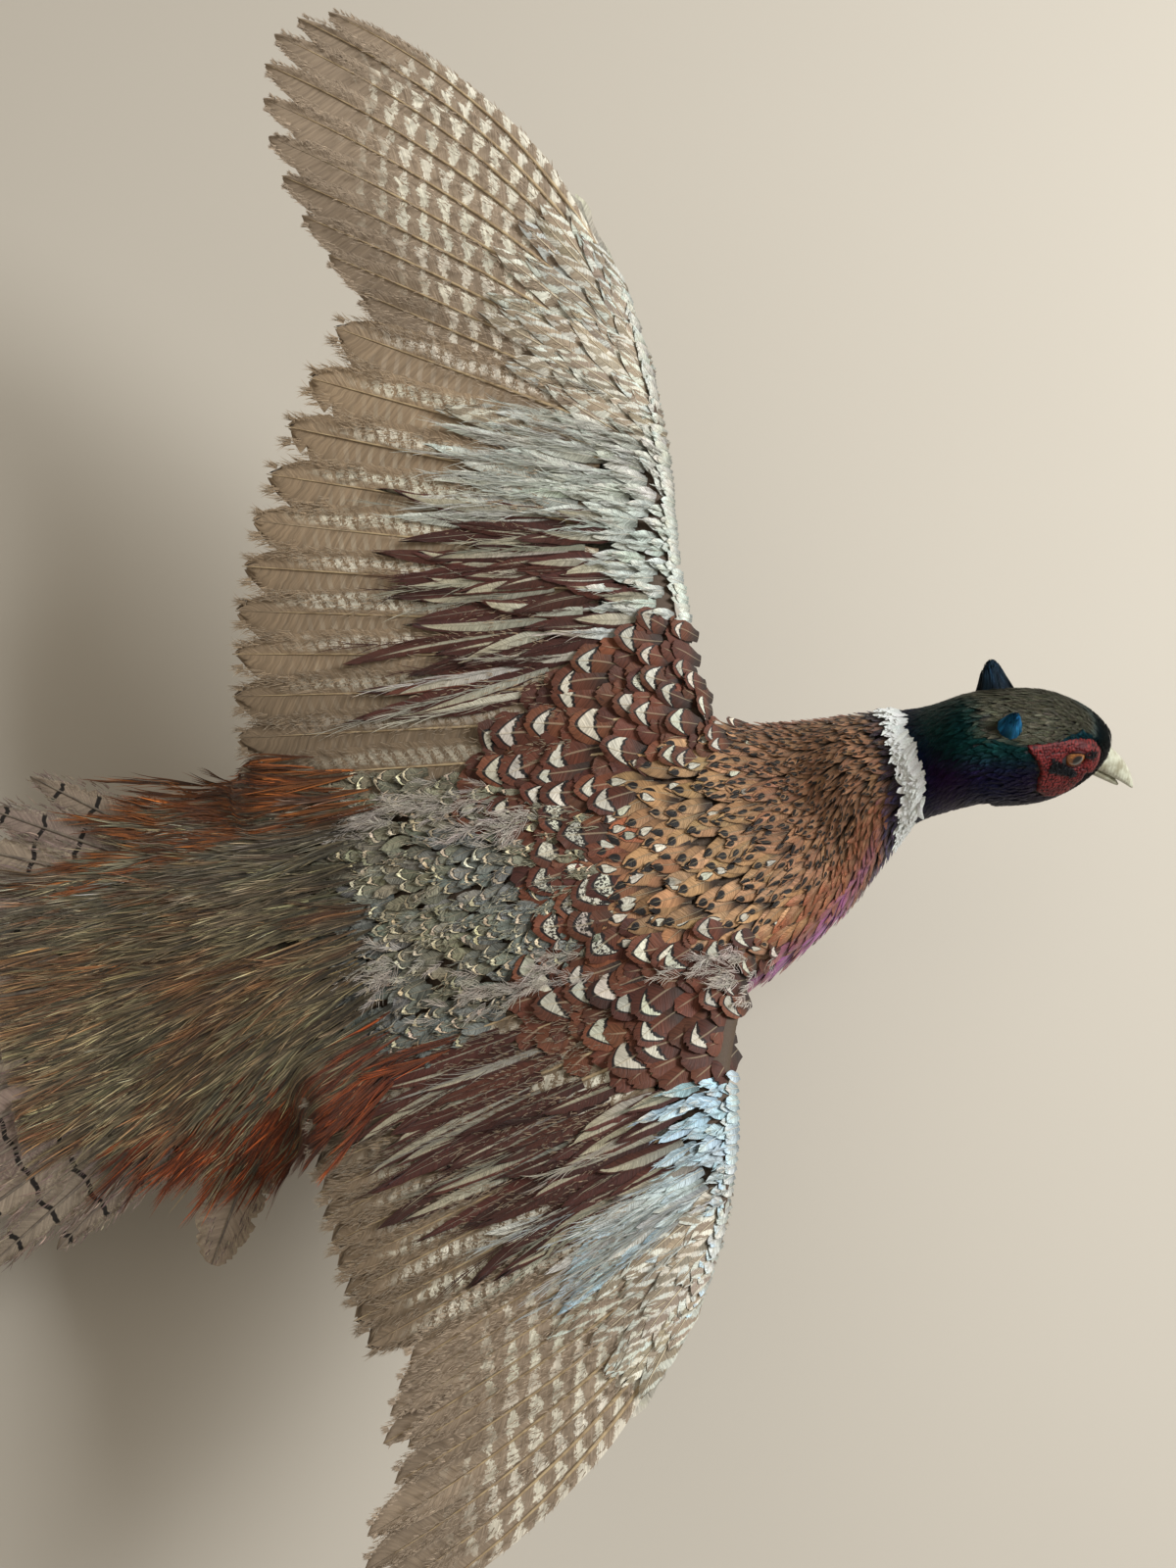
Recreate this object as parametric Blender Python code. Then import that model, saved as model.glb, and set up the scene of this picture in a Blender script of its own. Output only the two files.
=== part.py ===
"""Male ring-necked pheasant, mounted in level flight on a plain display stand.

Metres, +Z up.  +X is the bird's forward, +Y its left.  The origin is the centre
of the underside of the stand's base.  The trunk, neck and head are slices of one
loft along a bent spine; each wing is a fan of feathers laid out from a wrist and
an elbow; the tail is a graduated fan.
"""
import math
from dataclasses import dataclass

import bmesh
import bpy
import numpy as np

GAP = 0.0003                 # clearance between neighbouring pieces

# ---- stand -------------------------------------------------------------------
BASE_LENGTH = 0.210
BASE_WIDTH = 0.124
BASE_HEIGHT = 0.018
BASE_CORNER = 0.012
BASE_BEVEL = 0.003
ROD_RADIUS = 0.0045
ROD_STATIONS = (-0.030, 0.055)
ROD_TOP = 0.090

# ---- wings -------------------------------------------------------------------
WING_ROOT_Y = 0.060          # where the wing plane leaves the trunk
WING_ROOT_Z = 0.166
WING_DIHEDRAL = 16.0         # degrees
WING_INNER = -0.020          # innermost span station, buried before the cut
PRIMARIES = 10
SECONDARIES = 11
VANE_THICKNESS = 0.0016      # at the feather tips
CHORD_ROWS = (0.0, 0.025, 0.10, 0.24, 0.45, 0.72, 1.0)
WING_ARCH = 0.012            # rise of the vanes' middle over the wing plane
WING_DROOP = 0.016           # fall of the trailing edge at the body
WING_CURL = 0.05             # rise of the outer wing, per square metre of span
EDGE_SAG = 0.007             # how far the skin between shoulder and wrist is set back
ARM_THICKNESS = (0.026, 0.015)
HAND_THICKNESS = (0.015, 0.005)
SECONDARY_NOTCH = 0.007

# ---- tail --------------------------------------------------------------------
TAIL_ROOT = (-0.112, -0.004, 0.137)
TAIL_TURN = -2.0             # degrees the fan's axis turns to the bird's right
TAIL_ANGLES = (1.6, 4.8, 8.3, 12.0, 16.5, 21.5, 27.0, 33.0, 40.0)
TAIL_LENGTHS = (0.478, 0.455, 0.395, 0.330, 0.282, 0.245, 0.210, 0.182, 0.158)
TAIL_ROOT_HALF = 0.030       # half width of the row of feather roots
TAIL_ROOF = 0.16             # how much the fan's sides fall below its middle
TAIL_ROWS = (0.10, 0.45, 0.80, 1.0)
TAIL_DROOP = 0.10            # metres per square metre along the tail
TAIL_SPLIT = 8               # line of the fan where its sides part from its middle
COVERTS_FRONT = -0.0800      # the plumage that spreads over the tail's root
COVERTS_END = -0.200
RIGHT_OUTER_ANGLE = 55.0     # the one outer feather that stands out
RIGHT_OUTER_LENGTH = 0.128
RIGHT_INNER_CHANGE = (-1.5, -0.012)     # its neighbour: degrees, metres

# ---- head --------------------------------------------------------------------
HEAD_CENTRE = (0.2440, 0.0115, 0.2060)
HEAD_YAW = -11.0
HEAD_PITCH = -15.0
HEAD_ROLL = 41.0             # right side of the face turned upwards
EYE_RADIUS = 0.0060
EYE_FORWARD = 0.0150
EYE_UP = 0.0045
EYE_SIDE = 0.0142
WATTLE_RADIUS = 0.0165
WATTLE_SCALE = (1.0, 0.46, 0.88)        # along, across and up the head
TUFT_RADIUS = 0.0068
BILL_FROM = 0.0335

# ---- legs --------------------------------------------------------------------
HIP = (-0.028, 0.036, 0.098)
HEEL = (-0.098, 0.026, 0.083)
TARSUS_END = (-0.166, 0.024, 0.089)
THIGH_RADII = (0.018, 0.024, 0.021, 0.014, 0.008, 0.0050)
TARSUS_RADII = (0.0052, 0.0050, 0.0042, 0.0046, 0.0040)
ANKLE_RADIUS = 0.0050
TOES = (("hind", 0.030, -30.0), ("inner", 0.042, 12.0), ("middle", 0.054, 0.0), ("outer", 0.044, -12.0))
TOE_RADII = (0.0030, 0.0030, 0.0028, 0.0026, 0.0020)
CLAW_LENGTH = 0.011
CLAW_RADII = (0.0019, 0.0016, 0.0010, 0.0003)

AROUND = 20                  # vertices round the body's sections
SHARP_EDGE = 38.0            # degrees past which an edge is shaded sharp


@dataclass(frozen=True)
class Station:
    """One section of the body: centre, half width, height above and below."""
    x: float
    y: float
    z: float
    wide: float
    up: float
    down: float
    roll: float = 0.0
    square: float = 2.1


def rotation(axis, degrees):
    """Rotation matrix about a unit axis."""
    a = math.radians(degrees)
    k = np.array([[0, -axis[2], axis[1]], [axis[2], 0, -axis[0]], [-axis[1], axis[0], 0]])
    return np.eye(3) + math.sin(a) * k + (1 - math.cos(a)) * (k @ k)


def head_frame():
    """Forward, left and up of the head as three unit vectors."""
    turn = rotation((0, 0, 1), HEAD_YAW)
    forward = turn @ rotation((0, 1, 0), -HEAD_PITCH) @ np.array([1.0, 0, 0])
    left = turn @ np.array([0, 1.0, 0])
    roll = rotation(forward, -HEAD_ROLL)
    left = roll @ left
    return forward, left, np.cross(forward, left)


FORWARD, LEFT, UP = head_frame()


def on_head(forward, left, up):
    """World point for a point given along the head's own axes."""
    return np.array(HEAD_CENTRE) + forward * FORWARD + left * LEFT + up * UP


def head_station(along, lift, wide, up, down):
    """Section of the head at a distance along its own axis."""
    x, y, z = on_head(along, 0, lift)
    return Station(x, y, z, wide, up, down, HEAD_ROLL, 2.0)


TAIL_BASE = Station(-0.112, -0.003, 0.139, 0.050, 0.014, 0.020)
RUMP = Station(-0.080, -0.002, 0.137, 0.063, 0.030, 0.038)
LOIN = Station(-0.020, 0.0, 0.134, 0.071, 0.047, 0.058)
BACK = Station(0.045, 0.0, 0.133, 0.073, 0.054, 0.066)
SHOULDERS = Station(0.095, 0.000, 0.138, 0.068, 0.049, 0.060)
NECK_BASE = Station(0.135, 0.0065, 0.147, 0.054, 0.039, 0.048)
NECK_LOW = Station(0.160, 0.0120, 0.160, 0.0410, 0.032, 0.037)
COLLAR = Station(0.181, 0.0160, 0.178, 0.0295, 0.0295, 0.0270, 8.0)
NECK_HIGH = Station(0.2000, 0.0155, 0.1958, 0.0246, 0.0190, 0.0300, 22.0)
NAPE = head_station(-0.026, -0.0020, 0.0230, 0.0217, 0.0308)
CROWN = head_station(-0.011, -0.0020, 0.0234, 0.0260, 0.0306)
CHEEK = head_station(0.004, -0.0020, 0.0220, 0.0270, 0.0296)
EYES = head_station(0.016, -0.0020, 0.0188, 0.0242, 0.0270)
LORES = head_station(0.026, -0.0020, 0.0155, 0.0195, 0.0220)
FACE = head_station(0.0340, -0.0030, 0.0110, 0.0140, 0.0150)
FACE_END = head_station(0.0385, -0.0040, 0.0080, 0.0085, 0.0092)

SPINE = (TAIL_BASE, RUMP, LOIN, BACK, SHOULDERS, NECK_BASE, NECK_LOW, COLLAR, NECK_HIGH,
         NAPE, CROWN, CHEEK, EYES, LORES, FACE, FACE_END)
TRUNK_SLICE = (0.0, 4.992, 15)         # spine positions of a slice's ends, and sections
NECK_SLICE = (5.008, 8.738, 9)
HEAD_SLICE = (8.762, 15.0, 14)


@dataclass(frozen=True)
class Finish:
    """Colour and surface values of one material."""
    color: tuple
    roughness: float
    metallic: float = 0.0


FINISHES = {
    "plumage_mantle": Finish((0.36, 0.18, 0.07), 0.62),
    "plumage_neck": Finish((0.03, 0.05, 0.07), 0.45),
    "plumage_wing": Finish((0.45, 0.38, 0.29), 0.68),
    "plumage_tail": Finish((0.34, 0.29, 0.19), 0.66),
    "plumage_rump": Finish((0.30, 0.31, 0.22), 0.72),
    "face_red": Finish((0.45, 0.03, 0.03), 0.50),
    "eye_glass": Finish((0.45, 0.22, 0.04), 0.08),
    "bill_horn": Finish((0.66, 0.64, 0.50), 0.38),
    "leg_scale": Finish((0.38, 0.34, 0.28), 0.55),
    "claw_horn": Finish((0.16, 0.13, 0.10), 0.40),
    "stand_wood": Finish((0.20, 0.10, 0.05), 0.42),
    "stand_metal": Finish((0.70, 0.60, 0.40), 0.28, 1.0),
}


def material(name):
    """Principled material of the given name, made once."""
    found = bpy.data.materials.get(name)
    if found is None:
        finish = FINISHES[name]
        found = bpy.data.materials.new(name)
        found.use_nodes = True
        shader = found.node_tree.nodes["Principled BSDF"]
        shader.inputs["Base Color"].default_value = (*finish.color, 1.0)
        shader.inputs["Roughness"].default_value = finish.roughness
        shader.inputs["Metallic"].default_value = finish.metallic
        found.diffuse_color = (*finish.color, 1.0)
    return found


def make(name, verts, faces, slot):
    """One named object from points and faces, with its faces turned outwards."""
    mesh = bpy.data.meshes.new(name)
    mesh.from_pydata([tuple(float(c) for c in v) for v in verts], [], faces)
    work = bmesh.new()
    work.from_mesh(mesh)
    bmesh.ops.remove_doubles(work, verts=work.verts, dist=0.00002)
    bmesh.ops.recalc_face_normals(work, faces=work.faces)
    work.to_mesh(mesh)
    work.free()
    mesh.materials.append(material(slot))
    item = bpy.data.objects.new(name, mesh)
    bpy.context.scene.collection.objects.link(item)
    return item


def strip_cap(count, nosed):
    """Faces that close a thin section: its upper and lower lines, joined in pairs."""
    if nosed:
        faces = [(0, 1, count - 1)]
        return faces + [(i, i + 1, count - i - 1, count - i) for i in range(1, count // 2)]
    return [(i, i + 1, count - 2 - i, count - 1 - i) for i in range(count // 2 - 1)]


def loft(name, rings, slot, thin=False):
    """Closed body through rings of equal length, with a fan or a strip at each end."""
    count = len(rings[0])
    verts = [p for ring in rings for p in ring]
    faces = []
    for i in range(len(rings) - 1):
        for j in range(count):
            k = (j + 1) % count
            a, b = i * count + j, i * count + k
            faces += [(a, b, b + count), (a, b + count, a + count)]
    for i in (0, len(rings) - 1):
        if thin:
            faces += [tuple(i * count + j for j in face) for face in strip_cap(count, count % 2 == 1)]
            continue
        centre = len(verts)
        verts.append(np.mean(rings[i], axis=0))
        faces += [(i * count + j, i * count + (j + 1) % count, centre) for j in range(count)]
    return make(name, verts, faces, slot)


def subtract(item, cutters):
    """Cut a body by others, which are grown copies and are removed afterwards."""
    for cutter in cutters:
        step = item.modifiers.new("cut", "BOOLEAN")
        step.operation = "DIFFERENCE"
        step.solver = "EXACT"
        step.object = cutter
    apply_modifiers(item)
    work = bmesh.new()
    work.from_mesh(item.data)
    keep_largest(work)
    bmesh.ops.remove_doubles(work, verts=work.verts, dist=0.000001)
    bmesh.ops.triangulate(work, faces=[f for f in work.faces if len(f.verts) > 4])
    bmesh.ops.recalc_face_normals(work, faces=work.faces)
    work.to_mesh(item.data)
    work.free()


def apply_modifiers(item):
    """Replace an object's mesh by what its modifiers make of it."""
    bpy.context.view_layer.update()
    graph = bpy.context.evaluated_depsgraph_get()
    mesh = bpy.data.meshes.new_from_object(item.evaluated_get(graph))
    item.modifiers.clear()
    item.data = mesh


def keep_largest(work):
    """Drop every shell of a bmesh except the one with the most faces."""
    left = set(work.faces)
    shells = []
    while left:
        seed = left.pop()
        shell, edge = {seed}, [seed]
        while edge:
            face = edge.pop()
            for side in face.edges:
                for other in side.link_faces:
                    if other in left:
                        left.discard(other)
                        shell.add(other)
                        edge.append(other)
        shells.append(shell)
    shells.sort(key=len, reverse=True)
    extra = [f for shell in shells[1:] for f in shell]
    if extra:
        bmesh.ops.delete(work, geom=extra, context="FACES")
    loose = [v for v in work.verts if not v.link_faces]
    bmesh.ops.delete(work, geom=loose, context="VERTS")


# ---- body --------------------------------------------------------------------
def blended(values, t):
    """Smooth curve through equally spaced values, by cubic pieces."""
    values = np.asarray(values, dtype=float)
    i = int(min(max(math.floor(t), 0), len(values) - 2))
    f = t - i
    a, b = values[i], values[i + 1]
    before = values[i - 1] if i > 0 else a - (b - a)
    after = values[i + 2] if i + 2 < len(values) else b + (b - a)
    m0, m1 = (b - before) / 2, (after - a) / 2
    return ((2 * f**3 - 3 * f**2 + 1) * a + (f**3 - 2 * f**2 + f) * m0
            + (3 * f**2 - 2 * f**3) * b + (f**3 - f**2) * m1)


def spine_point(t):
    """Centre of the body at a spine position."""
    return np.array([blended([getattr(s, c) for s in SPINE], t) for c in "xyz"])


def body_ring(t, grow=0.0, count=AROUND):
    """Section of the body across the spine, with an optional outward growth."""
    wide, up, down, roll, square = (
        blended([getattr(s, c) for s in SPINE], t) for c in ("wide", "up", "down", "roll", "square"))
    centre = spine_point(t)
    last = len(SPINE) - 1
    reach = min(1.2, max(t, 0.05), max(last - t, 0.05))
    along = spine_point(min(t + reach, last)) - spine_point(max(t - reach, 0))
    along /= np.linalg.norm(along)
    left = np.cross((0, 0, 1), along)
    left /= np.linalg.norm(left)
    left = rotation(along, -roll) @ left
    top = np.cross(along, left)
    ring = []
    for j in range(count):
        a = 2 * math.pi * j / count
        c, s = math.cos(a), math.sin(a)
        across = math.copysign(abs(c) ** (2 / square), c) * (wide + grow)
        high = math.copysign(abs(s) ** (2 / square), s) * ((up if s > 0 else down) + grow)
        ring.append(centre + across * left + high * top)
    return ring


def body_slice(name, start, end, steps, slot, grow=0.0):
    """Part of the body between two spine positions; a grown one is longer too."""
    rings = [body_ring(t, grow) for t in np.linspace(start, end, steps)]
    for ring, inner in ((rings[0], rings[1]), (rings[-1], rings[-2])):
        out = np.mean(ring, axis=0) - np.mean(inner, axis=0)
        ring[:] = [p + out / np.linalg.norm(out) * grow for p in ring]
    return loft(name, rings, slot)


def coverts_ring(x, grow=0.0, count=AROUND):
    """Section of the plumage that spreads over the root of the tail."""
    t = min(max((COVERTS_FRONT - x) / (COVERTS_FRONT - COVERTS_END), 0.0), 1.0)
    swell = max(math.sin(math.pi * t ** 0.90), 0.0)
    wide = 0.060 + 0.039 * swell ** 0.8 - 0.024 * t**2
    over = 0.0270 * (1 - t) ** 1.2 + 0.0042
    below = 0.0200 * (1 - t) ** 1.2 + 0.0042
    ring = []
    for j in range(count):
        a = 2 * math.pi * j / count
        across = (wide + grow) * math.cos(a)
        high = ((over if math.sin(a) > 0 else below) + grow) * math.sin(a)
        y = -0.002 - 0.008 * t + across
        lower = TAIL_ROOF * (math.hypot(y - TAIL_ROOT[1], 0.010) - 0.010)
        reach = max(TAIL_ROOT[0] - x, 0.0)
        ring.append(np.array([x, y, TAIL_ROOT[2] - lower - TAIL_DROOP * reach ** 2 + high]))
    return ring


def build_body():
    """Trunk, neck and head, as three slices of one loft."""
    body_slice("trunk", *TRUNK_SLICE, "plumage_mantle")
    body_slice("neck", *NECK_SLICE, "plumage_neck")
    body_slice("head", *HEAD_SLICE, "plumage_neck")


# ---- wings -------------------------------------------------------------------
@dataclass(frozen=True)
class WingPlan:
    """Layout of one wing in its own plane: (x forward, s outward) in metres."""
    name: str
    side: int
    shoulder: tuple
    wrist: tuple
    digit: tuple
    hand_bow: float              # outward bow of the outermost primary
    sweep: tuple                 # degrees from straight back: innermost, per feather
    longest: float               # length of the longest primary, from the wrist
    shortening: tuple            # loss at the innermost, peak feather, exponent
    trailing: tuple              # tip x at the body, gain, span, exponent
    tip_spans: tuple             # span of the first secondary's tip, spacing
    worn: tuple                  # (primary number, metres lost)
    notch: tuple                 # depth between inner and outer primaries


LEFT_WING = WingPlan("left", 1, (0.125, 0.000), (0.117, 0.135), (0.111, 0.203), 0.165,
                     (37.5, 2.85), 0.262, (0.102, 8.3, 1.6), (-0.119, 0.093, 0.220, 2.2),
                     (0.220, 0.0200), (), (0.008, 0.021))
RIGHT_WING = WingPlan("right", -1, (0.125, 0.000), (0.0755, 0.089), (0.046, 0.141), 0.150,
                      (18.5, 2.35), 0.240, (0.075, 9.5, 0.9), (-0.1145, 0.020, 0.140, 3.0),
                      (0.130, 0.0120), ((5, 0.016), (6, 0.012)), (0.007, 0.022))


def in_space(plan, x, s, height):
    """World point for a place on the wing plane and a height over it."""
    a = math.radians(WING_DIHEDRAL)
    y = WING_ROOT_Y + s * math.cos(a) - height * math.sin(a)
    z = WING_ROOT_Z + s * math.sin(a) + height * math.cos(a)
    return np.array([x, plan.side * y, z])


def primary_tip(plan, number):
    """Tip of a primary, counted from 1 at the wrist to 10 outermost."""
    loss, peak, power = plan.shortening
    length = plan.longest - loss * (abs(peak - number) / (peak - 1)) ** power
    length -= dict(plan.worn).get(number, 0.0)
    a = math.radians(plan.sweep[0] + plan.sweep[1] * (number - 1))
    return (plan.wrist[0] - length * math.cos(a), plan.wrist[1] + length * math.sin(a))


def secondary_tip(plan, number):
    """Tip of a secondary, counted from 1 at the wrist inwards."""
    s = plan.tip_spans[0] - plan.tip_spans[1] * (number - 1)
    base, gain, span, power = plan.trailing
    return (base + gain * max(s / span, 0.0) ** power, s)


def mixed(a, b, f):
    """Point between two points of the wing plane."""
    return (a[0] + (b[0] - a[0]) * f, a[1] + (b[1] - a[1]) * f)


def drawn_back(tip, root, depth):
    """A tip moved toward its root by a depth."""
    reach = math.hypot(tip[0] - root[0], tip[1] - root[1])
    return mixed(tip, root, depth / reach)


def wing_column(plan, front, tip, depth, thick, bow, shift=0.0):
    """Closed aerofoil loop from the leading edge back to a feather's tip or a notch."""
    end = drawn_back(tip, front, depth)
    dx, ds = end[0] - front[0], end[1] - front[1]
    reach = math.hypot(dx, ds)
    out = (ds / reach, -dx / reach)
    part = reach / (reach + depth)
    top, under = [], []
    for v in CHORD_ROWS:
        push = bow * reach * 4 * v * (1 - v) * 0.5 + shift
        x = front[0] + dx * v + out[0] * push
        s = front[1] + ds * v + out[1] * push
        swell = thick * 2.6 * (math.sqrt(v) - v) * (1 - v) ** 2.6 + VANE_THICKNESS * min(v * 8, 1) / 2
        droop = WING_DROOP * v * part * max(1 - s / 0.24, 0.0)
        arch = WING_ARCH * math.sin(math.pi * (v * part) ** 0.8)
        middle = arch - droop + WING_CURL * max(s - 0.12, 0) ** 2
        if v == 0:
            top.append(in_space(plan, x, s, middle))
            continue
        top.append(in_space(plan, x, s, middle + swell * 1.1))
        under.append(in_space(plan, x, s, middle - swell * 0.9))
    return top + under[::-1]


def arm_columns(plan):
    """Loops of the inner wing, from the trunk out to the wrist."""
    columns = []
    inner = (plan.shoulder[0] - 0.004, WING_INNER)
    last = secondary_tip(plan, SECONDARIES)
    ends = [((last[0] + 0.002, min(WING_INNER, last[1] - 0.01)), 0.0)]
    for number in range(SECONDARIES, 0, -1):
        tip = secondary_tip(plan, number)
        inward = primary_tip(plan, 1) if number == 1 else secondary_tip(plan, number - 1)
        ends += [(tip, 0.0), (mixed(tip, inward, 0.5), SECONDARY_NOTCH)]
    ends = [e for e in ends if e[0][1] > WING_INNER - 1e-9 or e is ends[0]]
    total = len(ends) - 1
    for i, (end, depth) in enumerate(ends):
        f = i / total
        reach = f ** 0.95
        front = mixed(inner, plan.wrist, reach)
        sag = EDGE_SAG * math.sin(math.pi * min(reach * 1.1, 1.0))
        front = (front[0] - sag, front[1])
        thick = ARM_THICKNESS[0] + (ARM_THICKNESS[1] - ARM_THICKNESS[0]) * f
        shift = -GAP / 2 if i == total else 0.0
        columns.append(wing_column(plan, front, end, depth, thick, 0.0, shift))
    return columns


def hand_columns(plan):
    """Loops of the outer wing, from the wrist out to the last primary."""
    first = mixed(secondary_tip(plan, 1), primary_tip(plan, 1), 0.5)
    ends = [(first, SECONDARY_NOTCH)]
    for number in range(1, PRIMARIES + 1):
        tip = primary_tip(plan, number)
        depth = plan.notch[0] + (plan.notch[1] - plan.notch[0]) * (number / PRIMARIES) ** 1.5
        before = ends[-1][0]
        ends.append((mixed(before, tip, 0.55), depth * 0.25))
        ends.append((tip, 0.0))
        if number < PRIMARIES:
            after = mixed(tip, primary_tip(plan, number + 1), 0.5)
            ends.append((after, depth))
    total = len(ends) - 1
    columns = []
    for i, (end, depth) in enumerate(ends):
        f = i / total
        front = mixed(plan.wrist, plan.digit, f)
        front = (front[0] + 0.003 * math.sin(math.pi * f), front[1])
        bow = plan.hand_bow * f ** 1.3
        thick = HAND_THICKNESS[0] + (HAND_THICKNESS[1] - HAND_THICKNESS[0]) * f
        shift = GAP / 2 if i == 0 else 0.0
        columns.append(wing_column(plan, front, end, depth, thick, bow, shift))
    return columns


def build_wing(plan, cutters):
    """Arm and hand of one wing, the arm cut to the shape of the trunk."""
    arm = loft(f"wing_{plan.name}_arm", arm_columns(plan), "plumage_wing", True)
    loft(f"wing_{plan.name}_hand", hand_columns(plan), "plumage_wing", True)
    subtract(arm, cutters)


# ---- tail --------------------------------------------------------------------
def tail_point(angle, reach, side, height):
    """World point of the tail at an angle, a distance and a height over the fan."""
    turn = math.radians(angle * side + TAIL_TURN)
    offset = side * TAIL_ROOT_HALF * min(angle / 45.0, 1.0)
    x = TAIL_ROOT[0] - reach * math.cos(turn)
    y = TAIL_ROOT[1] + offset + reach * math.sin(turn)
    lower = TAIL_ROOF * abs(y - TAIL_ROOT[1] + 0.05 * (TAIL_ROOT[0] - x))
    return np.array([x, y, TAIL_ROOT[2] - lower - TAIL_DROOP * reach ** 2 + height])


def tail_column(angle, length, side, shift=0.0):
    """Closed loop along one line of the fan, out to its end."""
    top, under = [], []
    for v in TAIL_ROWS:
        half = VANE_THICKNESS / 2 + 0.0016 * (1 - v)
        point = tail_point(angle, length * v, side, 0.0) + np.array([0, shift, 0])
        top.append(point + np.array([0, 0, half]))
        under.append(point - np.array([0, 0, half]))
    return top + under[::-1]


def tail_lines(side):
    """Angles and lengths across one side of the fan: edges and tips in turn."""
    angles = list(TAIL_ANGLES)
    lengths = list(TAIL_LENGTHS)
    if side < 0:
        angles[-2] += RIGHT_INNER_CHANGE[0]
        lengths[-2] += RIGHT_INNER_CHANGE[1]
        angles[-1], lengths[-1] = RIGHT_OUTER_ANGLE, RIGHT_OUTER_LENGTH
    lines = [(0.0, lengths[0] - 0.030)]
    for i, (angle, length) in enumerate(zip(angles, lengths)):
        after = angles[i + 1] if i + 1 < len(angles) else angle + (angle - angles[i - 1]) * 0.6
        edge = (angle + after) / 2
        shorter = lengths[i + 1] if i + 1 < len(lengths) else length * 0.85
        narrow = 0.014 + 0.02 * length
        lines.append((angle - min(edge - angle, angle - lines[-1][0]) * 0.4, length - 0.2 * narrow))
        lines.append((angle, length))
        lines.append((angle + min(edge - angle, 4.0) / 2, length - 0.35 * narrow))
        lines.append((edge, min(shorter, length) - narrow))
    return lines


def build_tail(cutters):
    """The fan in three bodies: the long middle feathers and the two sides."""
    right, left = tail_lines(-1), tail_lines(1)
    middle = [tail_column(a, n, -1) for a, n in right[TAIL_SPLIT:0:-1]]
    middle += [tail_column(a, n, 1) for a, n in left[:TAIL_SPLIT + 1]]
    parts = [loft("tail_middle", middle, "plumage_tail", True)]
    for side, lines, name in ((1, left, "tail_left"), (-1, right, "tail_right")):
        columns = [tail_column(*lines[TAIL_SPLIT], side, side * GAP)]
        columns += [tail_column(a, n, side) for a, n in lines[TAIL_SPLIT + 1:]]
        parts.append(loft(name, columns, "plumage_tail", True))
    for part in parts:
        subtract(part, cutters)


# ---- head parts --------------------------------------------------------------
def head_ring(forward, rise, wide, up, down, count=10):
    """Section across the head's own axis."""
    ring = []
    for j in range(count):
        a = 2 * math.pi * j / count
        high = (up if math.sin(a) > 0 else down) * math.sin(a)
        ring.append(on_head(forward, wide * math.cos(a), rise + high))
    return ring


@dataclass(frozen=True)
class BillHalf:
    """Sizes of one half of the bill, in metres."""
    length: float
    drop: float                  # fall of its middle line over its length
    wide: float                  # half width at its root
    up: float                    # height over and under its middle line
    down: float
    rise: float                  # height of its root on the head
    hook: float                  # extra fall at the tip

    def rings(self, grow=0.0):
        """Sections that taper and bend down toward the tip."""
        found = []
        for t in (0.0, 0.2, 0.42, 0.64, 0.84, 0.96):
            taper = (1 - t) ** 0.62
            centre = self.rise - self.drop * t - self.hook * t**3
            sizes = ((size + grow) * taper + 0.0004 for size in (self.wide, self.up, self.down))
            found.append(head_ring(BILL_FROM + (self.length + grow) * t, centre, *sizes))
        return found


UPPER_BILL = BillHalf(0.0290, 0.0120, 0.0068, 0.0085, 0.0034, -0.0060, 0.0060)
LOWER_BILL = BillHalf(0.0225, 0.0085, 0.0060, 0.0012, 0.0052, -0.0120, 0.0010)


def ball(name, centre, radius, slot, scale=(1, 1, 1), rows=8, count=12):
    """Closed ball, or an ellipsoid along the head's axes."""
    rings = []
    for i in range(1, rows):
        lat = math.pi * i / rows
        rings.append([centre + radius * (scale[0] * math.sin(lat) * math.cos(a) * FORWARD
                                         + scale[2] * math.sin(lat) * math.sin(a) * UP
                                         + scale[1] * math.cos(lat) * LEFT)
                      for a in np.linspace(0, 2 * math.pi, count, endpoint=False)])
    return loft(name, rings, slot)


def build_bill(head_grown):
    """Upper and lower halves of the bill, with a gap between them."""
    upper = loft("bill_upper", UPPER_BILL.rings(), "bill_horn")
    lower = loft("bill_lower", LOWER_BILL.rings(), "bill_horn")
    grown = loft("bill_grown", UPPER_BILL.rings(GAP), "bill_horn")
    subtract(upper, [head_grown])
    subtract(lower, [head_grown, grown])
    bpy.data.objects.remove(grown)


def build_face(side, word, head_grown):
    """Eye and the bare patch round it, both set into the head."""
    centre = on_head(EYE_FORWARD, side * EYE_SIDE, EYE_UP)
    eye = ball(f"eye_{word}", centre, EYE_RADIUS, "eye_glass")
    eye_grown = ball("eye_grown", centre, EYE_RADIUS + GAP, "eye_glass")
    patch = on_head(EYE_FORWARD - 0.0010, side * 0.0125, EYE_UP - 0.0045)
    wattle = ball(f"wattle_{word}", patch, WATTLE_RADIUS, "face_red", WATTLE_SCALE, 7, 16)
    subtract(wattle, [head_grown, eye_grown])
    subtract(eye, [head_grown])
    bpy.data.objects.remove(eye_grown)


def build_ear_tuft(side, word, head_grown):
    """Pointed tuft of feathers behind the crown, leaning out and back."""
    rings = []
    for t in (0.0, 0.3, 0.6, 0.85, 1.0):
        size = TUFT_RADIUS * (1 - t) ** 0.8 + 0.0005
        middle = on_head(-0.0145 - 0.0025 * t, side * (0.0130 + 0.0085 * t), 0.0150 + 0.0140 * t)
        rings.append([middle + size * (math.cos(a) * FORWARD + 0.55 * math.sin(a) * LEFT)
                      for a in np.linspace(0, 2 * math.pi, 8, endpoint=False)])
    subtract(loft(f"ear_tuft_{word}", rings, "plumage_neck"), [head_grown])


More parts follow.
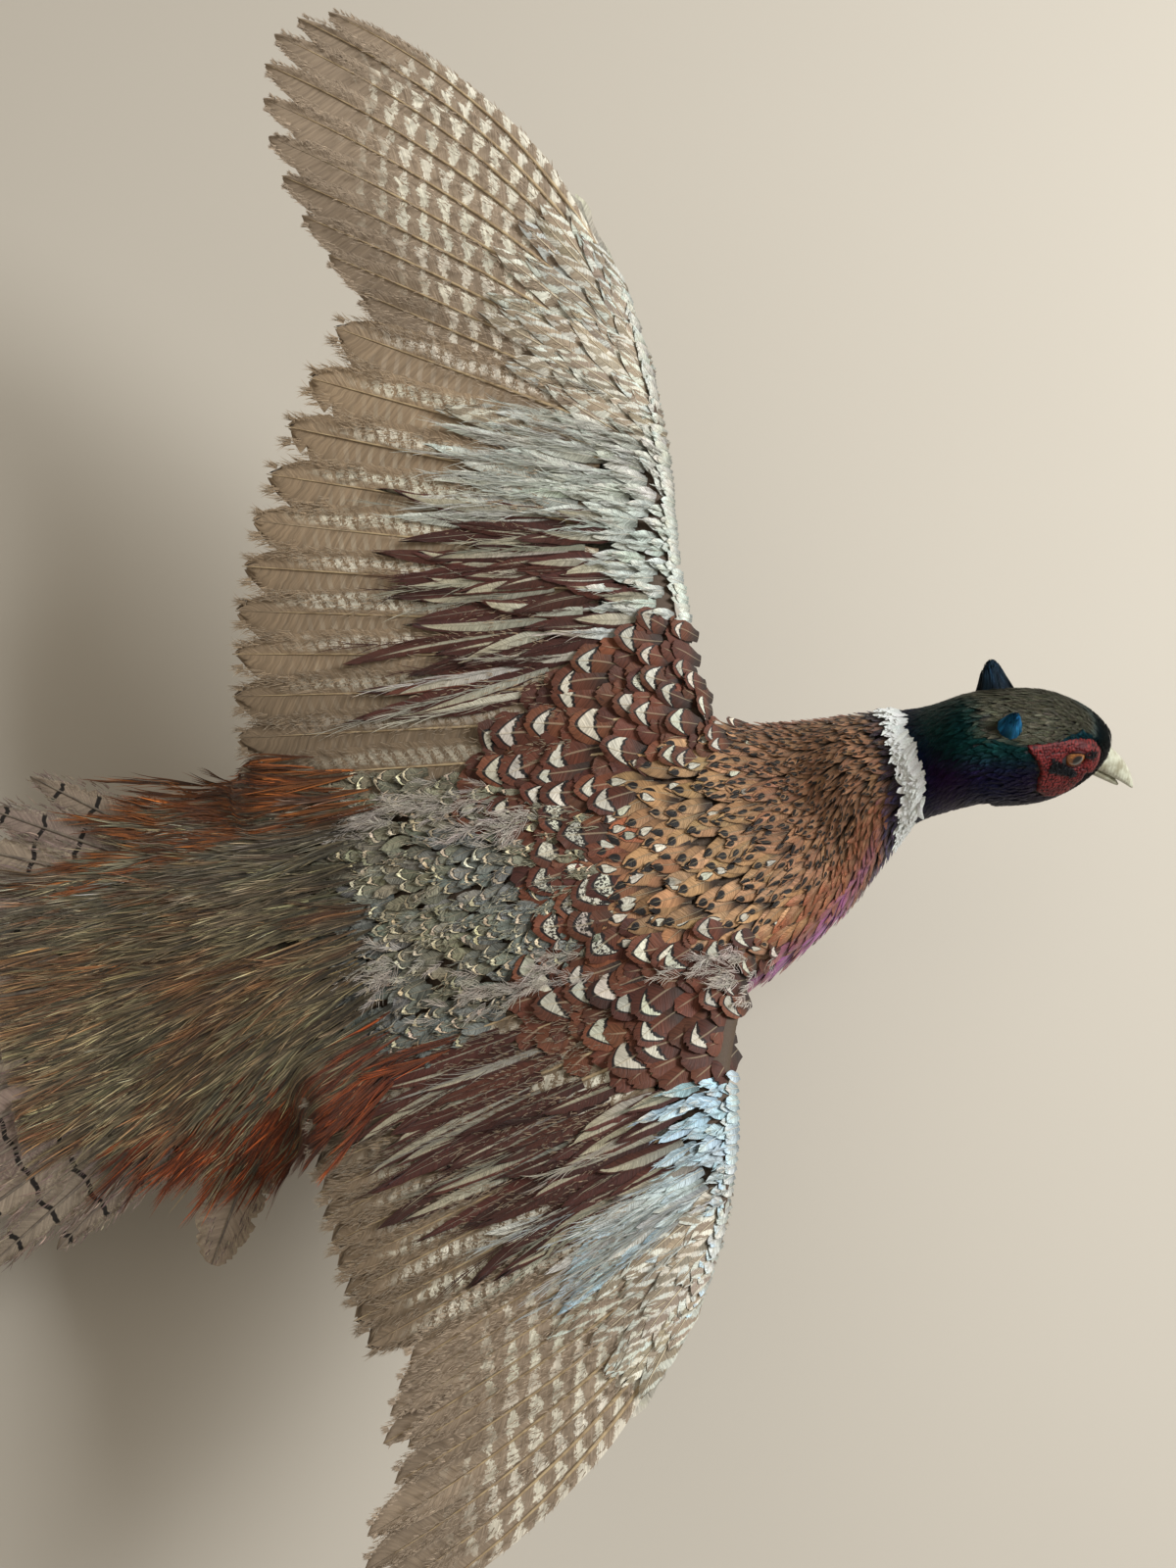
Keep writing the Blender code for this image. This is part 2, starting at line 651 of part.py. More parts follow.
# ---- legs --------------------------------------------------------------------
def tube(name, points, radii, slot, count=8):
    """Closed tube along a line of points."""
    rings = []
    points = [np.array(p, dtype=float) for p in points]
    for i, point in enumerate(points):
        along = points[min(i + 1, len(points) - 1)] - points[max(i - 1, 0)]
        along /= np.linalg.norm(along)
        side = np.cross(along, (0, 0, 1.0))
        side /= np.linalg.norm(side)
        top = np.cross(side, along)
        rings.append([point + radii[i] * (math.cos(a) * side + math.sin(a) * top)
                      for a in np.linspace(0, 2 * math.pi, count, endpoint=False)])
    return loft(name, rings, slot)


def between(a, b, f):
    """Point between two points of space."""
    return np.array(a) + (np.array(b) - np.array(a)) * f


def build_leg(side, word, cutters):
    """Feathered thigh, bare shank, toes drawn together, and their claws."""
    hip, heel, end = (np.array(p) * np.array([1, side, 1]) for p in (HIP, HEEL, TARSUS_END))
    steps = (0.0, 0.2, 0.45, 0.7, 0.88, 0.965)
    thigh = tube(f"thigh_{word}", [between(hip, heel, t) for t in steps], THIGH_RADII,
                 "plumage_rump", 12)
    subtract(thigh, cutters)
    steps = (0.0, 0.08, 0.5, 0.92, 1.0)
    tube(f"shank_{word}", [between(heel, end, t) for t in steps], TARSUS_RADII, "leg_scale")
    along = (end - heel) / np.linalg.norm(end - heel)
    ankle = end + along * (ANKLE_RADIUS + 0.0002 + GAP)
    pieces = [ankle_ball(f"foot_{word}", ankle)]
    for number, (kind, length, spread) in enumerate(TOES, start=1):
        hind = kind == "hind"
        aim = rotation((0, 0, 1), 0.0 if hind else -side * spread) @ along
        tip = ankle + length * aim - np.array([0, 0, 0.30 * length if hind else 0.0])
        arch = -0.10 * length if hind else 0.10 * length
        middle = between(ankle, tip, 0.55) + np.array([0, 0, arch])
        line = [ankle, between(ankle, middle, 0.6), middle, between(middle, tip, 0.6), tip]
        pieces.append(tube("toe", line, TOE_RADII, "leg_scale", 6))
        aim = (tip - middle) / np.linalg.norm(tip - middle)
        root = tip + aim * GAP
        bend = np.array([0, 0, -0.45])
        points = [root + CLAW_LENGTH * (t * aim + t * t * bend) for t in (0, 0.35, 0.7, 1.0)]
        tube(f"claw_{word}_{number}", points, CLAW_RADII, "claw_horn", 6)
    join(pieces)


def ankle_ball(name, centre):
    """Small closed ball in world axes, from which the toes grow."""
    rings = []
    for i in range(1, 6):
        lat = math.pi * i / 6
        rings.append([centre + ANKLE_RADIUS * np.array([math.cos(lat), math.sin(lat) * math.cos(a),
                                                        math.sin(lat) * math.sin(a)])
                      for a in np.linspace(0, 2 * math.pi, 10, endpoint=False)])
    return loft(name, rings, "leg_scale")


def join(pieces):
    """Union of closed bodies, kept in the first; they cross in a fan at the ankle."""
    whole = pieces[0]
    for piece in pieces[1:]:
        step = whole.modifiers.new("join", "BOOLEAN")
        step.operation = "UNION"
        step.solver = "MANIFOLD"
        step.object = piece
        apply_modifiers(whole)
        bpy.data.objects.remove(piece)


# ---- stand -------------------------------------------------------------------
def build_stand(trunk_grown):
    """Rounded board and the rods up to the belly."""
    outline = []
    for quarter in range(4):
        cx = (BASE_LENGTH / 2 - BASE_CORNER) * (1 if quarter in (0, 3) else -1)
        cy = (BASE_WIDTH / 2 - BASE_CORNER) * (1 if quarter in (0, 1) else -1)
        for step in range(5):
            a = math.pi / 2 * (quarter + step / 4)
            outline.append((cx, cy, math.cos(a), math.sin(a)))
    rings = []
    for z, inset in ((0.0, 0.0), (BASE_HEIGHT - BASE_BEVEL, 0.0), (BASE_HEIGHT, BASE_BEVEL)):
        size = BASE_CORNER - inset
        rings.append([np.array([cx + size * c, cy + size * s, z]) for cx, cy, c, s in outline])
    loft("stand_base", rings, "stand_wood")
    for x, word in zip(ROD_STATIONS, ("rear", "front")):
        rings = [[np.array([x + ROD_RADIUS * math.cos(a), ROD_RADIUS * math.sin(a), z])
                  for a in np.linspace(0, 2 * math.pi, 16, endpoint=False)]
                 for z in (BASE_HEIGHT + GAP, ROD_TOP)]
        rod = loft(f"stand_rod_{word}", rings, "stand_metal")
        subtract(rod, [trunk_grown])


def shade(items):
    """Smooth shading with crisp edges at the vanes' and the board's rims."""
    for item in items:
        item.data.shade_smooth()
        item.data.set_sharp_from_angle(angle=math.radians(SHARP_EDGE))


def main():
    """Build every piece of the model."""
    for item in list(bpy.data.objects):
        bpy.data.objects.remove(item, do_unlink=True)
    build_body()
    stations = np.linspace(COVERTS_FRONT, COVERTS_END, 9)
    coverts = loft("tail_coverts", [coverts_ring(x) for x in stations], "plumage_rump")
    trunk_grown = body_slice("trunk_grown", *TRUNK_SLICE, "plumage_mantle", GAP)
    head_grown = body_slice("head_grown", *HEAD_SLICE, "plumage_neck", GAP)
    rings = [coverts_ring(x, GAP) for x in stations]
    rings.append([p - np.array([GAP, 0, 0]) for p in rings[-1]])
    coverts_grown = loft("coverts_grown", rings, "plumage_rump")
    subtract(coverts, [trunk_grown])
    for plan in (LEFT_WING, RIGHT_WING):
        build_wing(plan, [trunk_grown, coverts_grown])
    build_tail([coverts_grown, trunk_grown])
    build_bill(head_grown)
    for side, word in ((1, "left"), (-1, "right")):
        build_face(side, word, head_grown)
        build_ear_tuft(side, word, head_grown)
        build_leg(side, word, [trunk_grown])
    build_stand(trunk_grown)
    for item in (trunk_grown, head_grown, coverts_grown):
        bpy.data.objects.remove(item)
    shade(bpy.data.objects)


main()
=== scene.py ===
"""Dressed model of a cock pheasant, mounted as in flight on a plain stand.

Metres, +Z up; +X is the bird's forward and +Y its left.  One skin stands for the
flesh; over it lie feathers, each a vane on a grid of rows and columns that is laid
on a surface: the body's own loft, or a field of heights over the back, a wing or
the tail.  Vanes carry a UV map "Vane" (across, along) that the markings follow, and
a UV map "OFBake" with one small patch for each feather at its root's place.
"""
from __future__ import annotations

import logging
import math
from dataclasses import dataclass, field
from enum import Enum
from functools import reduce
from typing import Callable

import bmesh
import bpy
import numpy as np
from mathutils import Matrix, Vector


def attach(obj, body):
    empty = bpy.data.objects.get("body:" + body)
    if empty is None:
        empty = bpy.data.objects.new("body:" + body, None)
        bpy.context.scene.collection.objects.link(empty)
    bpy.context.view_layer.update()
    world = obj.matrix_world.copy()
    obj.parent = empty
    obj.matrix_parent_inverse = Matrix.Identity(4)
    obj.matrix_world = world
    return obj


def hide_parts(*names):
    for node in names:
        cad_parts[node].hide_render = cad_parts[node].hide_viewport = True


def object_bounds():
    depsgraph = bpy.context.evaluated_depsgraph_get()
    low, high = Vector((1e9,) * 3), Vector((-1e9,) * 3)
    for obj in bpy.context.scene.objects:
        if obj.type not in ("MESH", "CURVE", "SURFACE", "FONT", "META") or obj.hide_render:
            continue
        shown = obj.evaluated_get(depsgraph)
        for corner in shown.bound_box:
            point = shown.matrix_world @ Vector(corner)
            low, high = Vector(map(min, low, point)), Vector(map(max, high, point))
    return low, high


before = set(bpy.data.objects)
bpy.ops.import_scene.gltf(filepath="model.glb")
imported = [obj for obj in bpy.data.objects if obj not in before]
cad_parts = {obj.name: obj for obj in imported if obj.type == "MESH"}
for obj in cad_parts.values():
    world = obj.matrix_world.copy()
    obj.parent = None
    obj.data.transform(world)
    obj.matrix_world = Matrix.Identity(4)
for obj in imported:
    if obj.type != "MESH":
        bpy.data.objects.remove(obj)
CAD_BOX = [[float(c) for c in corner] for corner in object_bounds()]

Array = np.ndarray
LOG = logging.getLogger("pheasant")
TAU = 2 * math.pi
BODY = "root"
SIDES = ((1, "left"), (-1, "right"))


# ---- small tools ---------------------------------------------------------------
def ease(x: Array, low: float, high: float) -> Array:
    """Smooth step from 0 at low to 1 at high: t squared times (3 - 2 t)."""
    t = np.clip((np.asarray(x, dtype=float) - low) / (high - low), 0.0, 1.0)
    return t * t * (3 - 2 * t)


def unit(v: Array) -> Array:
    """Vectors scaled to length one along the last axis."""
    return v / np.maximum(np.linalg.norm(v, axis=-1, keepdims=True), 1e-12)


def blend(a: Array, b: Array, f: Array) -> Array:
    """Mix of two colours or points, by a share for each row."""
    f = np.asarray(f, dtype=float)[..., None]
    return np.asarray(a) * (1 - f) + np.asarray(b) * f


def rotation(axis: Array, degrees: float) -> Array:
    """Rotation matrix about a unit axis, by Rodrigues' formula."""
    a = math.radians(degrees)
    k = np.array([[0, -axis[2], axis[1]], [axis[2], 0, -axis[0]], [-axis[1], axis[0], 0]])
    return np.eye(3) + math.sin(a) * k + (1 - math.cos(a)) * (k @ k)


# ---- meshes ----------------------------------------------------------------------
@dataclass
class Sheet:
    """Points, faces of equal size and what is stored on them, before a mesh is made.

    Args:
        points: (n, 3) places.
        faces: (m, 3) or (m, 4) point numbers.
        maps: UV maps by name, each (n, 2).
        marks: float or colour attributes by name, each (n,) or (n, 3).
    """

    points: Array
    faces: Array
    maps: dict[str, Array] = field(default_factory=dict)
    marks: dict[str, Array] = field(default_factory=dict)

    def joined(self, other: "Sheet") -> "Sheet":
        """Both sheets as one; they hold the same maps and marks."""
        return Sheet(
            np.concatenate([self.points, other.points]),
            np.concatenate([self.faces, other.faces + len(self.points)]),
            {k: np.concatenate([v, other.maps[k]]) for k, v in self.maps.items()},
            {k: np.concatenate([v, other.marks[k]]) for k, v in self.marks.items()},
        )

    def trimmed(self) -> "Sheet":
        """Without the points that no face uses."""
        used, faces = np.unique(self.faces, return_inverse=True)
        return Sheet(self.points[used], faces.reshape(self.faces.shape),
                     {k: v[used] for k, v in self.maps.items()}, {k: v[used] for k, v in self.marks.items()})

    def piece(self, name: str, finish: bpy.types.Material) -> bpy.types.Object:
        """Object of this sheet, with its place in its mesh.

        Args:
            name: the piece's name.
            finish: its material.

        Returns:
            The linked object.
        """
        mesh = bpy.data.meshes.new(name)
        sides = self.faces.shape[1]
        mesh.vertices.add(len(self.points))
        mesh.vertices.foreach_set("co", self.points.astype(np.float32).ravel())
        mesh.loops.add(self.faces.size)
        mesh.loops.foreach_set("vertex_index", self.faces.astype(np.int32).ravel())
        mesh.polygons.add(len(self.faces))
        mesh.polygons.foreach_set("loop_start", np.arange(0, self.faces.size, sides, dtype=np.int32))
        mesh.polygons.foreach_set("use_smooth", np.ones(len(self.faces), dtype=bool))
        mesh.update(calc_edges=True)
        for key, values in self.maps.items():
            layer = mesh.uv_layers.new(name=key)
            layer.data.foreach_set("uv", values[self.faces.ravel()].astype(np.float32).ravel())
        for key, values in self.marks.items():
            if values.ndim == 1:
                layer = mesh.attributes.new(key, "FLOAT", "POINT")
                layer.data.foreach_set("value", values.astype(np.float32))
            else:
                layer = mesh.attributes.new(key, "FLOAT_COLOR", "POINT")
                rgba = np.concatenate([values, np.ones((len(values), 1))], axis=1)
                layer.data.foreach_set("color", rgba.astype(np.float32).ravel())
        mesh.materials.append(finish)
        item = bpy.data.objects.new(name, mesh)
        bpy.context.scene.collection.objects.link(item)
        return item


def grid_faces(rows: int, cols: int, wraps: bool = False) -> Array:
    """Quads of a grid of points, rows by cols; wraps joins the last column to the first."""
    i = np.arange(rows - 1)[:, None] * cols
    j = np.arange(cols if wraps else cols - 1)[None, :]
    k = (j + 1) % cols
    return np.stack([i + j, i + cols + j, i + cols + k, i + k], axis=-1).reshape(-1, 4)


def closed_grid(points: Array, flip: bool = False) -> Sheet:
    """Closed skin through a grid of rings, with a fan of thin quads at each end.

    Args:
        points: (rows, cols, 3), each row a ring.
        flip: turn the faces round.

    Returns:
        A sheet with its poles closed.
    """
    rows, cols, _ = points.shape
    faces = grid_faces(rows, cols, True)
    places = points.reshape(-1, 3)
    half = cols // 2
    j = np.arange(half - 1)
    cap = np.stack([j, j + 1, cols - 2 - j, cols - 1 - j], axis=-1)
    faces = np.concatenate([faces, cap, cap[:, ::-1] + (rows - 1) * cols])
    if flip:
        faces = faces[:, ::-1]
    return Sheet(places, faces)


def ride(item: bpy.types.Object, slot: str, *nodes: str) -> None:
    """Tie a piece to the body and hide the solids that it stands for."""
    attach(item, BODY)
    if nodes:
        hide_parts(*nodes)
    LOG.info("%s: %d faces", item.name, len(item.data.polygons))


# ---- surfaces that feathers lie on ---------------------------------------------------
@dataclass
class Surface:
    """Grid of points over two parameters, sampled between its points by straight lines.

    Args:
        points: (m, n, 3) places.
        low: lowest value of each parameter.
        high: highest value of each parameter.
        facing: 1 where first cross second parameter points outwards, else -1.
        wraps: the second parameter closes on itself.
        known: (m, n) share of each place that lies over solids, where it was painted.
    """

    points: Array
    low: tuple[float, float]
    high: tuple[float, float]
    facing: int = 1
    wraps: bool = False
    known: Array | None = None

    def __post_init__(self) -> None:
        """Work out unit normals and metres for each unit of both parameters."""
        steps = [(self.high[k] - self.low[k]) / (self.points.shape[k] - 1) for k in (0, 1)]
        first = np.gradient(self.points, axis=0) / steps[0]
        second = np.gradient(self.points, axis=1) / steps[1]
        self.normals = unit(np.cross(first, second)) * self.facing
        self.scales = np.stack([np.linalg.norm(first, axis=-1), np.linalg.norm(second, axis=-1)], -1)

    def sample(self, grid: Array, at: Array) -> Array:
        """Values of a grid at parameter pairs, weighted from the four points round each.

        Args:
            grid: (m, n, k) values.
            at: (..., 2) parameter pairs.

        Returns:
            (..., k) values.
        """
        m, n = grid.shape[:2]
        x = (at[..., 0] - self.low[0]) / (self.high[0] - self.low[0]) * (m - 1)
        y = (at[..., 1] - self.low[1]) / (self.high[1] - self.low[1])
        y = (y % 1.0 if self.wraps else y) * (n - 1)
        x = np.clip(x, 0, m - 1.001)
        y = np.clip(y, 0, n - 1.001)
        i, j = x.astype(int), y.astype(int)
        f, g = (x - i)[..., None], (y - j)[..., None]
        near = grid[i, j] * (1 - g) + grid[i, j + 1] * g
        far = grid[i + 1, j] * (1 - g) + grid[i + 1, j + 1] * g
        return near * (1 - f) + far * f

    def lay(self, root: Array, heading: Array, local: Array, height: Array) -> Array:
        """Places of points given along and across a heading from a root.

        The local metres are turned by the heading, divided by the metres for each
        parameter unit at the root, added to the root, and raised along the normal.

        Args:
            root: (n, 2) parameters.
            heading: (n,) radians from the first parameter's direction.
            local: (n, ..., 2) metres along and across.
            height: (n, ...) metres over the surface.

        Returns:
            (n, ..., 3) places.
        """
        scale = self.sample(self.scales, root)
        wide = (slice(None),) + (None,) * (local.ndim - 2)
        c, s = np.cos(heading)[wide], np.sin(heading)[wide]
        at = np.stack([
            root[:, 0][wide] + (local[..., 0] * c - local[..., 1] * s) / scale[:, 0][wide],
            root[:, 1][wide] + (local[..., 0] * s + local[..., 1] * c) / scale[:, 1][wide],
        ], axis=-1)
        return self.raised(at, height)

    def raised(self, at: Array, height: Array) -> Array:
        """Places at parameter pairs, raised along the normals by metres."""
        return self.sample(self.points, at) + self.sample(self.normals, at) * height[..., None]

    def covered(self, root: Array) -> Array:
        """Whether roots lie over the solids that the heights were painted from."""
        return self.sample(self.known[..., None], root)[..., 0] > 0.6

    def unwrapped(self, root: Array) -> Array:
        """Place of each root on the flat unwrap of this surface, from 0 to 1."""
        low, high = np.array(self.low), np.array(self.high)
        flat = (root - low) / (high - low)
        if self.wraps:
            flat[:, 1] %= 1.0
        return np.clip(flat, 0.004, 0.996)


def cad_triangles(nodes: tuple[str, ...]) -> Array:
    """(n, 3, 3) corners of the triangles of some solids."""
    found = []
    for name in nodes:
        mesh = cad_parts[name].data
        mesh.calc_loop_triangles()
        places = np.empty(len(mesh.vertices) * 3, dtype=np.float32)
        mesh.vertices.foreach_get("co", places)
        corners = np.empty(len(mesh.loop_triangles) * 3, dtype=np.int32)
        mesh.loop_triangles.foreach_get("vertices", corners)
        found.append(places.reshape(-1, 3)[corners.reshape(-1, 3)])
    return np.concatenate(found).astype(float)


def height_field(
    nodes: tuple[str, ...], origin: Array, across: Array, up: Array,
    low: tuple[float, float], high: tuple[float, float],
    under: bool = False, spacing: float = 0.0025, soften: int = 2, along: Array = np.array([1.0, 0, 0]),
) -> Surface:
    """Surface of greatest heights of some solids over a plane.

    Each triangle is painted on a grid by its barycentric weights, keeping the
    greatest height; empty cells are filled by spreading their neighbours' mean, and
    the whole is averaged with its neighbours a few times.

    Args:
        nodes: the solids' names.
        origin: a point of the plane.
        across: the second axis of the plane.
        up: its normal, the side that is looked at unless under is set.
        low: lowest corner of the grid, in metres along both axes.
        high: highest corner.
        under: take the far side instead.
        spacing: of the grid.
        soften: rounds of averaging.
        along: the first axis of the plane.

    Returns:
        The surface, whose parameters are metres along both axes.
    """
    sign = -1.0 if under else 1.0
    corners = cad_triangles(nodes) - origin
    flat = np.stack([corners @ along, corners @ across, corners @ up * sign], axis=-1)
    m, n = (int(round((high[k] - low[k]) / spacing)) + 1 for k in (0, 1))
    p, q = np.linspace(low[0], high[0], m), np.linspace(low[1], high[1], n)
    heights = np.full((m, n), -np.inf)
    for a, b, c in flat:
        box_low, box_high = np.minimum(np.minimum(a, b), c), np.maximum(np.maximum(a, b), c)
        i0, i1 = np.searchsorted(p, (box_low[0], box_high[0]))
        j0, j1 = np.searchsorted(q, (box_low[1], box_high[1]))
        area = (b[0] - a[0]) * (c[1] - a[1]) - (b[1] - a[1]) * (c[0] - a[0])
        if i1 <= i0 or j1 <= j0 or abs(area) < 1e-12:
            continue
        x, y = p[i0:i1, None], q[None, j0:j1]
        wb = ((x - a[0]) * (c[1] - a[1]) - (y - a[1]) * (c[0] - a[0])) / area
        wc = ((b[0] - a[0]) * (y - a[1]) - (b[1] - a[1]) * (x - a[0])) / area
        height = a[2] + wb * (b[2] - a[2]) + wc * (c[2] - a[2])
        inside = (wb >= -1e-6) & (wc >= -1e-6) & (wb + wc <= 1 + 1e-6)
        view = heights[i0:i1, j0:j1]
        view[inside] = np.maximum(view[inside], height[inside])
    known = np.isfinite(heights)
    heights[~known] = heights[known].min()
    filled = known.copy()
    while not filled.all():
        total, count = np.zeros_like(heights), np.zeros_like(heights)
        for shift, axis in ((1, 0), (-1, 0), (1, 1), (-1, 1)):
            mask = np.roll(filled, shift, axis)
            total += np.where(mask, np.roll(heights, shift, axis), 0)
            count += mask
        fresh = ~filled & (count > 0)
        heights[fresh] = total[fresh] / count[fresh]
        filled |= fresh
    for _ in range(soften):
        padded = np.pad(heights, 1, mode="edge")
        heights = sum(padded[1 + i:m + 1 + i, 1 + j:n + 1 + j] * (2 - abs(i)) * (2 - abs(j))
                      for i in (-1, 0, 1) for j in (-1, 0, 1)) / 16
    places = origin + p[:, None, None] * along + q[None, :, None] * across
    places = places + (heights * sign)[..., None] * up
    upright = np.dot(np.cross(along, across), up) > 0
    return Surface(places, low, high, 1 if upright != under else -1, known=known.astype(float))


LEVEL = dict(origin=np.zeros(3), across=np.array([0, 1.0, 0]), up=np.array([0, 0, 1.0]))


def wrapped(rings: Array, middle: Array) -> Surface:
    """Surface over closed rings round a middle line, with its normals turned outwards."""
    probe = Surface(rings, (0.0, 0.0), (1.0, TAU), 1, True)
    inward = np.einsum("ijk,ijk->ij", probe.normals, rings - middle[:, None]).mean() < 0
    return Surface(rings, (0.0, 0.0), (1.0, TAU), -1 if inward else 1, True)


# ---- the body's own shape --------------------------------------------------------------
HEAD_CENTRE = np.array([0.2440, 0.0115, 0.2060])
HEAD_YAW, HEAD_PITCH, HEAD_ROLL = -11.0, -15.0, 41.0
EYE_FORWARD, EYE_SIDE, EYE_UP, EYE_RADIUS = 0.0150, 0.0142, 0.0045, 0.0060
BILL_FROM = 0.0335


def head_axes() -> tuple[Array, Array, Array]:
    """Forward, left and up of the head, turned by its yaw, pitch and roll."""
    turn = rotation(np.array([0, 0, 1.0]), HEAD_YAW)
    forward = turn @ rotation(np.array([0, 1.0, 0]), -HEAD_PITCH) @ np.array([1.0, 0, 0])
    left = rotation(forward, -HEAD_ROLL) @ turn @ np.array([0, 1.0, 0])
    return forward, left, np.cross(forward, left)


FORWARD, LEFT, UP = head_axes()


def on_head(forward: Array, left: Array, up: Array) -> Array:
    """World places for distances along the head's own axes."""
    spread = [np.asarray(d, dtype=float)[..., None] for d in np.broadcast_arrays(forward, left, up)]
    return HEAD_CENTRE + spread[0] * FORWARD + spread[1] * LEFT + spread[2] * UP


def head_station(along: float, lift: float, wide: float, up: float, down: float) -> tuple[float, ...]:
    """Section of the head at a distance along its own axis."""
    return (*on_head(along, 0.0, lift), wide, up, down, HEAD_ROLL, 2.0)


# x, y, z, half width, height above, depth below, roll, squareness
SPINE = np.array([
    (-0.112, -0.003, 0.139, 0.050, 0.014, 0.020, 0, 2.1),
    (-0.080, -0.002, 0.137, 0.063, 0.030, 0.038, 0, 2.1),
    (-0.020, 0.000, 0.134, 0.071, 0.047, 0.058, 0, 2.1),
    (0.045, 0.000, 0.133, 0.073, 0.054, 0.066, 0, 2.1),
    (0.095, 0.000, 0.138, 0.068, 0.049, 0.060, 0, 2.1),
    (0.135, 0.0065, 0.147, 0.054, 0.039, 0.048, 0, 2.1),
    (0.160, 0.0120, 0.160, 0.0410, 0.032, 0.037, 0, 2.1),
    (0.181, 0.0160, 0.178, 0.0295, 0.0295, 0.0270, 8, 2.1),
    (0.200, 0.0155, 0.1958, 0.0246, 0.0190, 0.0300, 22, 2.1),
    head_station(-0.026, -0.0020, 0.0230, 0.0217, 0.0308),
    head_station(-0.011, -0.0020, 0.0234, 0.0260, 0.0306),
    head_station(0.004, -0.0020, 0.0220, 0.0270, 0.0296),
    head_station(0.016, -0.0020, 0.0188, 0.0242, 0.0270),
    head_station(0.026, -0.0020, 0.0155, 0.0195, 0.0220),
    head_station(0.0340, -0.0030, 0.0110, 0.0140, 0.0150),
    head_station(0.0385, -0.0040, 0.0080, 0.0085, 0.0092),
])
LAST = len(SPINE) - 1.0


def along_spine(t: Array) -> Array:
    """Station values at spine positions, by cubic pieces through the stations."""
    padded = np.concatenate([2 * SPINE[:1] - SPINE[1:2], SPINE, 2 * SPINE[-1:] - SPINE[-2:-1]])
    i = np.clip(np.floor(t), 0, LAST - 1).astype(int)
    f = (t - i)[:, None]
    before, a, b, after = (padded[i + k] for k in range(4))
    m0, m1 = (b - before) / 2, (after - a) / 2
    return ((2 * f**3 - 3 * f**2 + 1) * a + (f**3 - 2 * f**2 + f) * m0
            + (3 * f**2 - 2 * f**3) * b + (f**3 - f**2) * m1)


def body_grid(t: Array, turns: Array, inset: Array | float = 0.0) -> Array:
    """Rings of the body: superellipses across the spine.

    The ring's plane is square to the spine's chord over 1.2 stations each way; its
    sides are turned by the station's roll.

    Args:
        t: (m,) spine positions.
        turns: (n,) radians round the ring, 0 at the left and a quarter turn at the top.
        inset: metres that the ring is drawn in.

    Returns:
        (m, n, 3) places.
    """
    here = along_spine(t)
    reach = np.minimum(1.2, np.minimum(np.maximum(t, 0.05), np.maximum(LAST - t, 0.05)))
    ahead = along_spine(np.minimum(t + reach, LAST))[:, :3]
    tangent = unit(ahead - along_spine(np.maximum(t - reach, 0))[:, :3])
    level = unit(np.cross(np.array([0, 0, 1.0]), tangent))
    roll = np.radians(-here[:, 6])[:, None]
    left = level * np.cos(roll) + np.cross(tangent, level) * np.sin(roll)
    top = np.cross(tangent, left)
    inset = np.broadcast_to(inset, t.shape)[:, None]
    c, s = np.cos(turns)[None, :], np.sin(turns)[None, :]
    power = 2 / here[:, 7:8]
    across = np.sign(c) * np.abs(c) ** power * (here[:, 3:4] - inset)
    high = np.where(s > 0, here[:, 4:5], here[:, 5:6]) - inset
    high = np.sign(s) * np.abs(s) ** power * high
    return here[:, None, :3] + across[..., None] * left[:, None] + high[..., None] * top[:, None]


def body_surface() -> Surface:
    """The whole body as one surface over spine position and turn."""
    t, turns = np.linspace(0, LAST, 421), np.linspace(0, TAU, 145)
    return Surface(body_grid(t, turns), (0.0, 0.0), (LAST, TAU), -1, True)


# ---- finishes ------------------------------------------------------------------------
@dataclass(frozen=True)
class Value:
    """Output of a material's node, which sums, differences and products extend by nodes."""

    graph: "Graph"
    socket: bpy.types.NodeSocket

    def __add__(self, other: object) -> "Value":
        """Sum."""
        return self.graph.math("ADD", self, other)

    def __sub__(self, other: object) -> "Value":
        """Difference."""
        return self.graph.math("SUBTRACT", self, other)

    def __rsub__(self, other: object) -> "Value":
        """A number less this value."""
        return self.graph.math("SUBTRACT", other, self)

    def __mul__(self, other: object) -> "Value":
        """Product."""
        return self.graph.math("MULTIPLY", self, other)

    def __abs__(self) -> "Value":
        """Value without its sign."""
        return self.graph.math("ABSOLUTE", self)


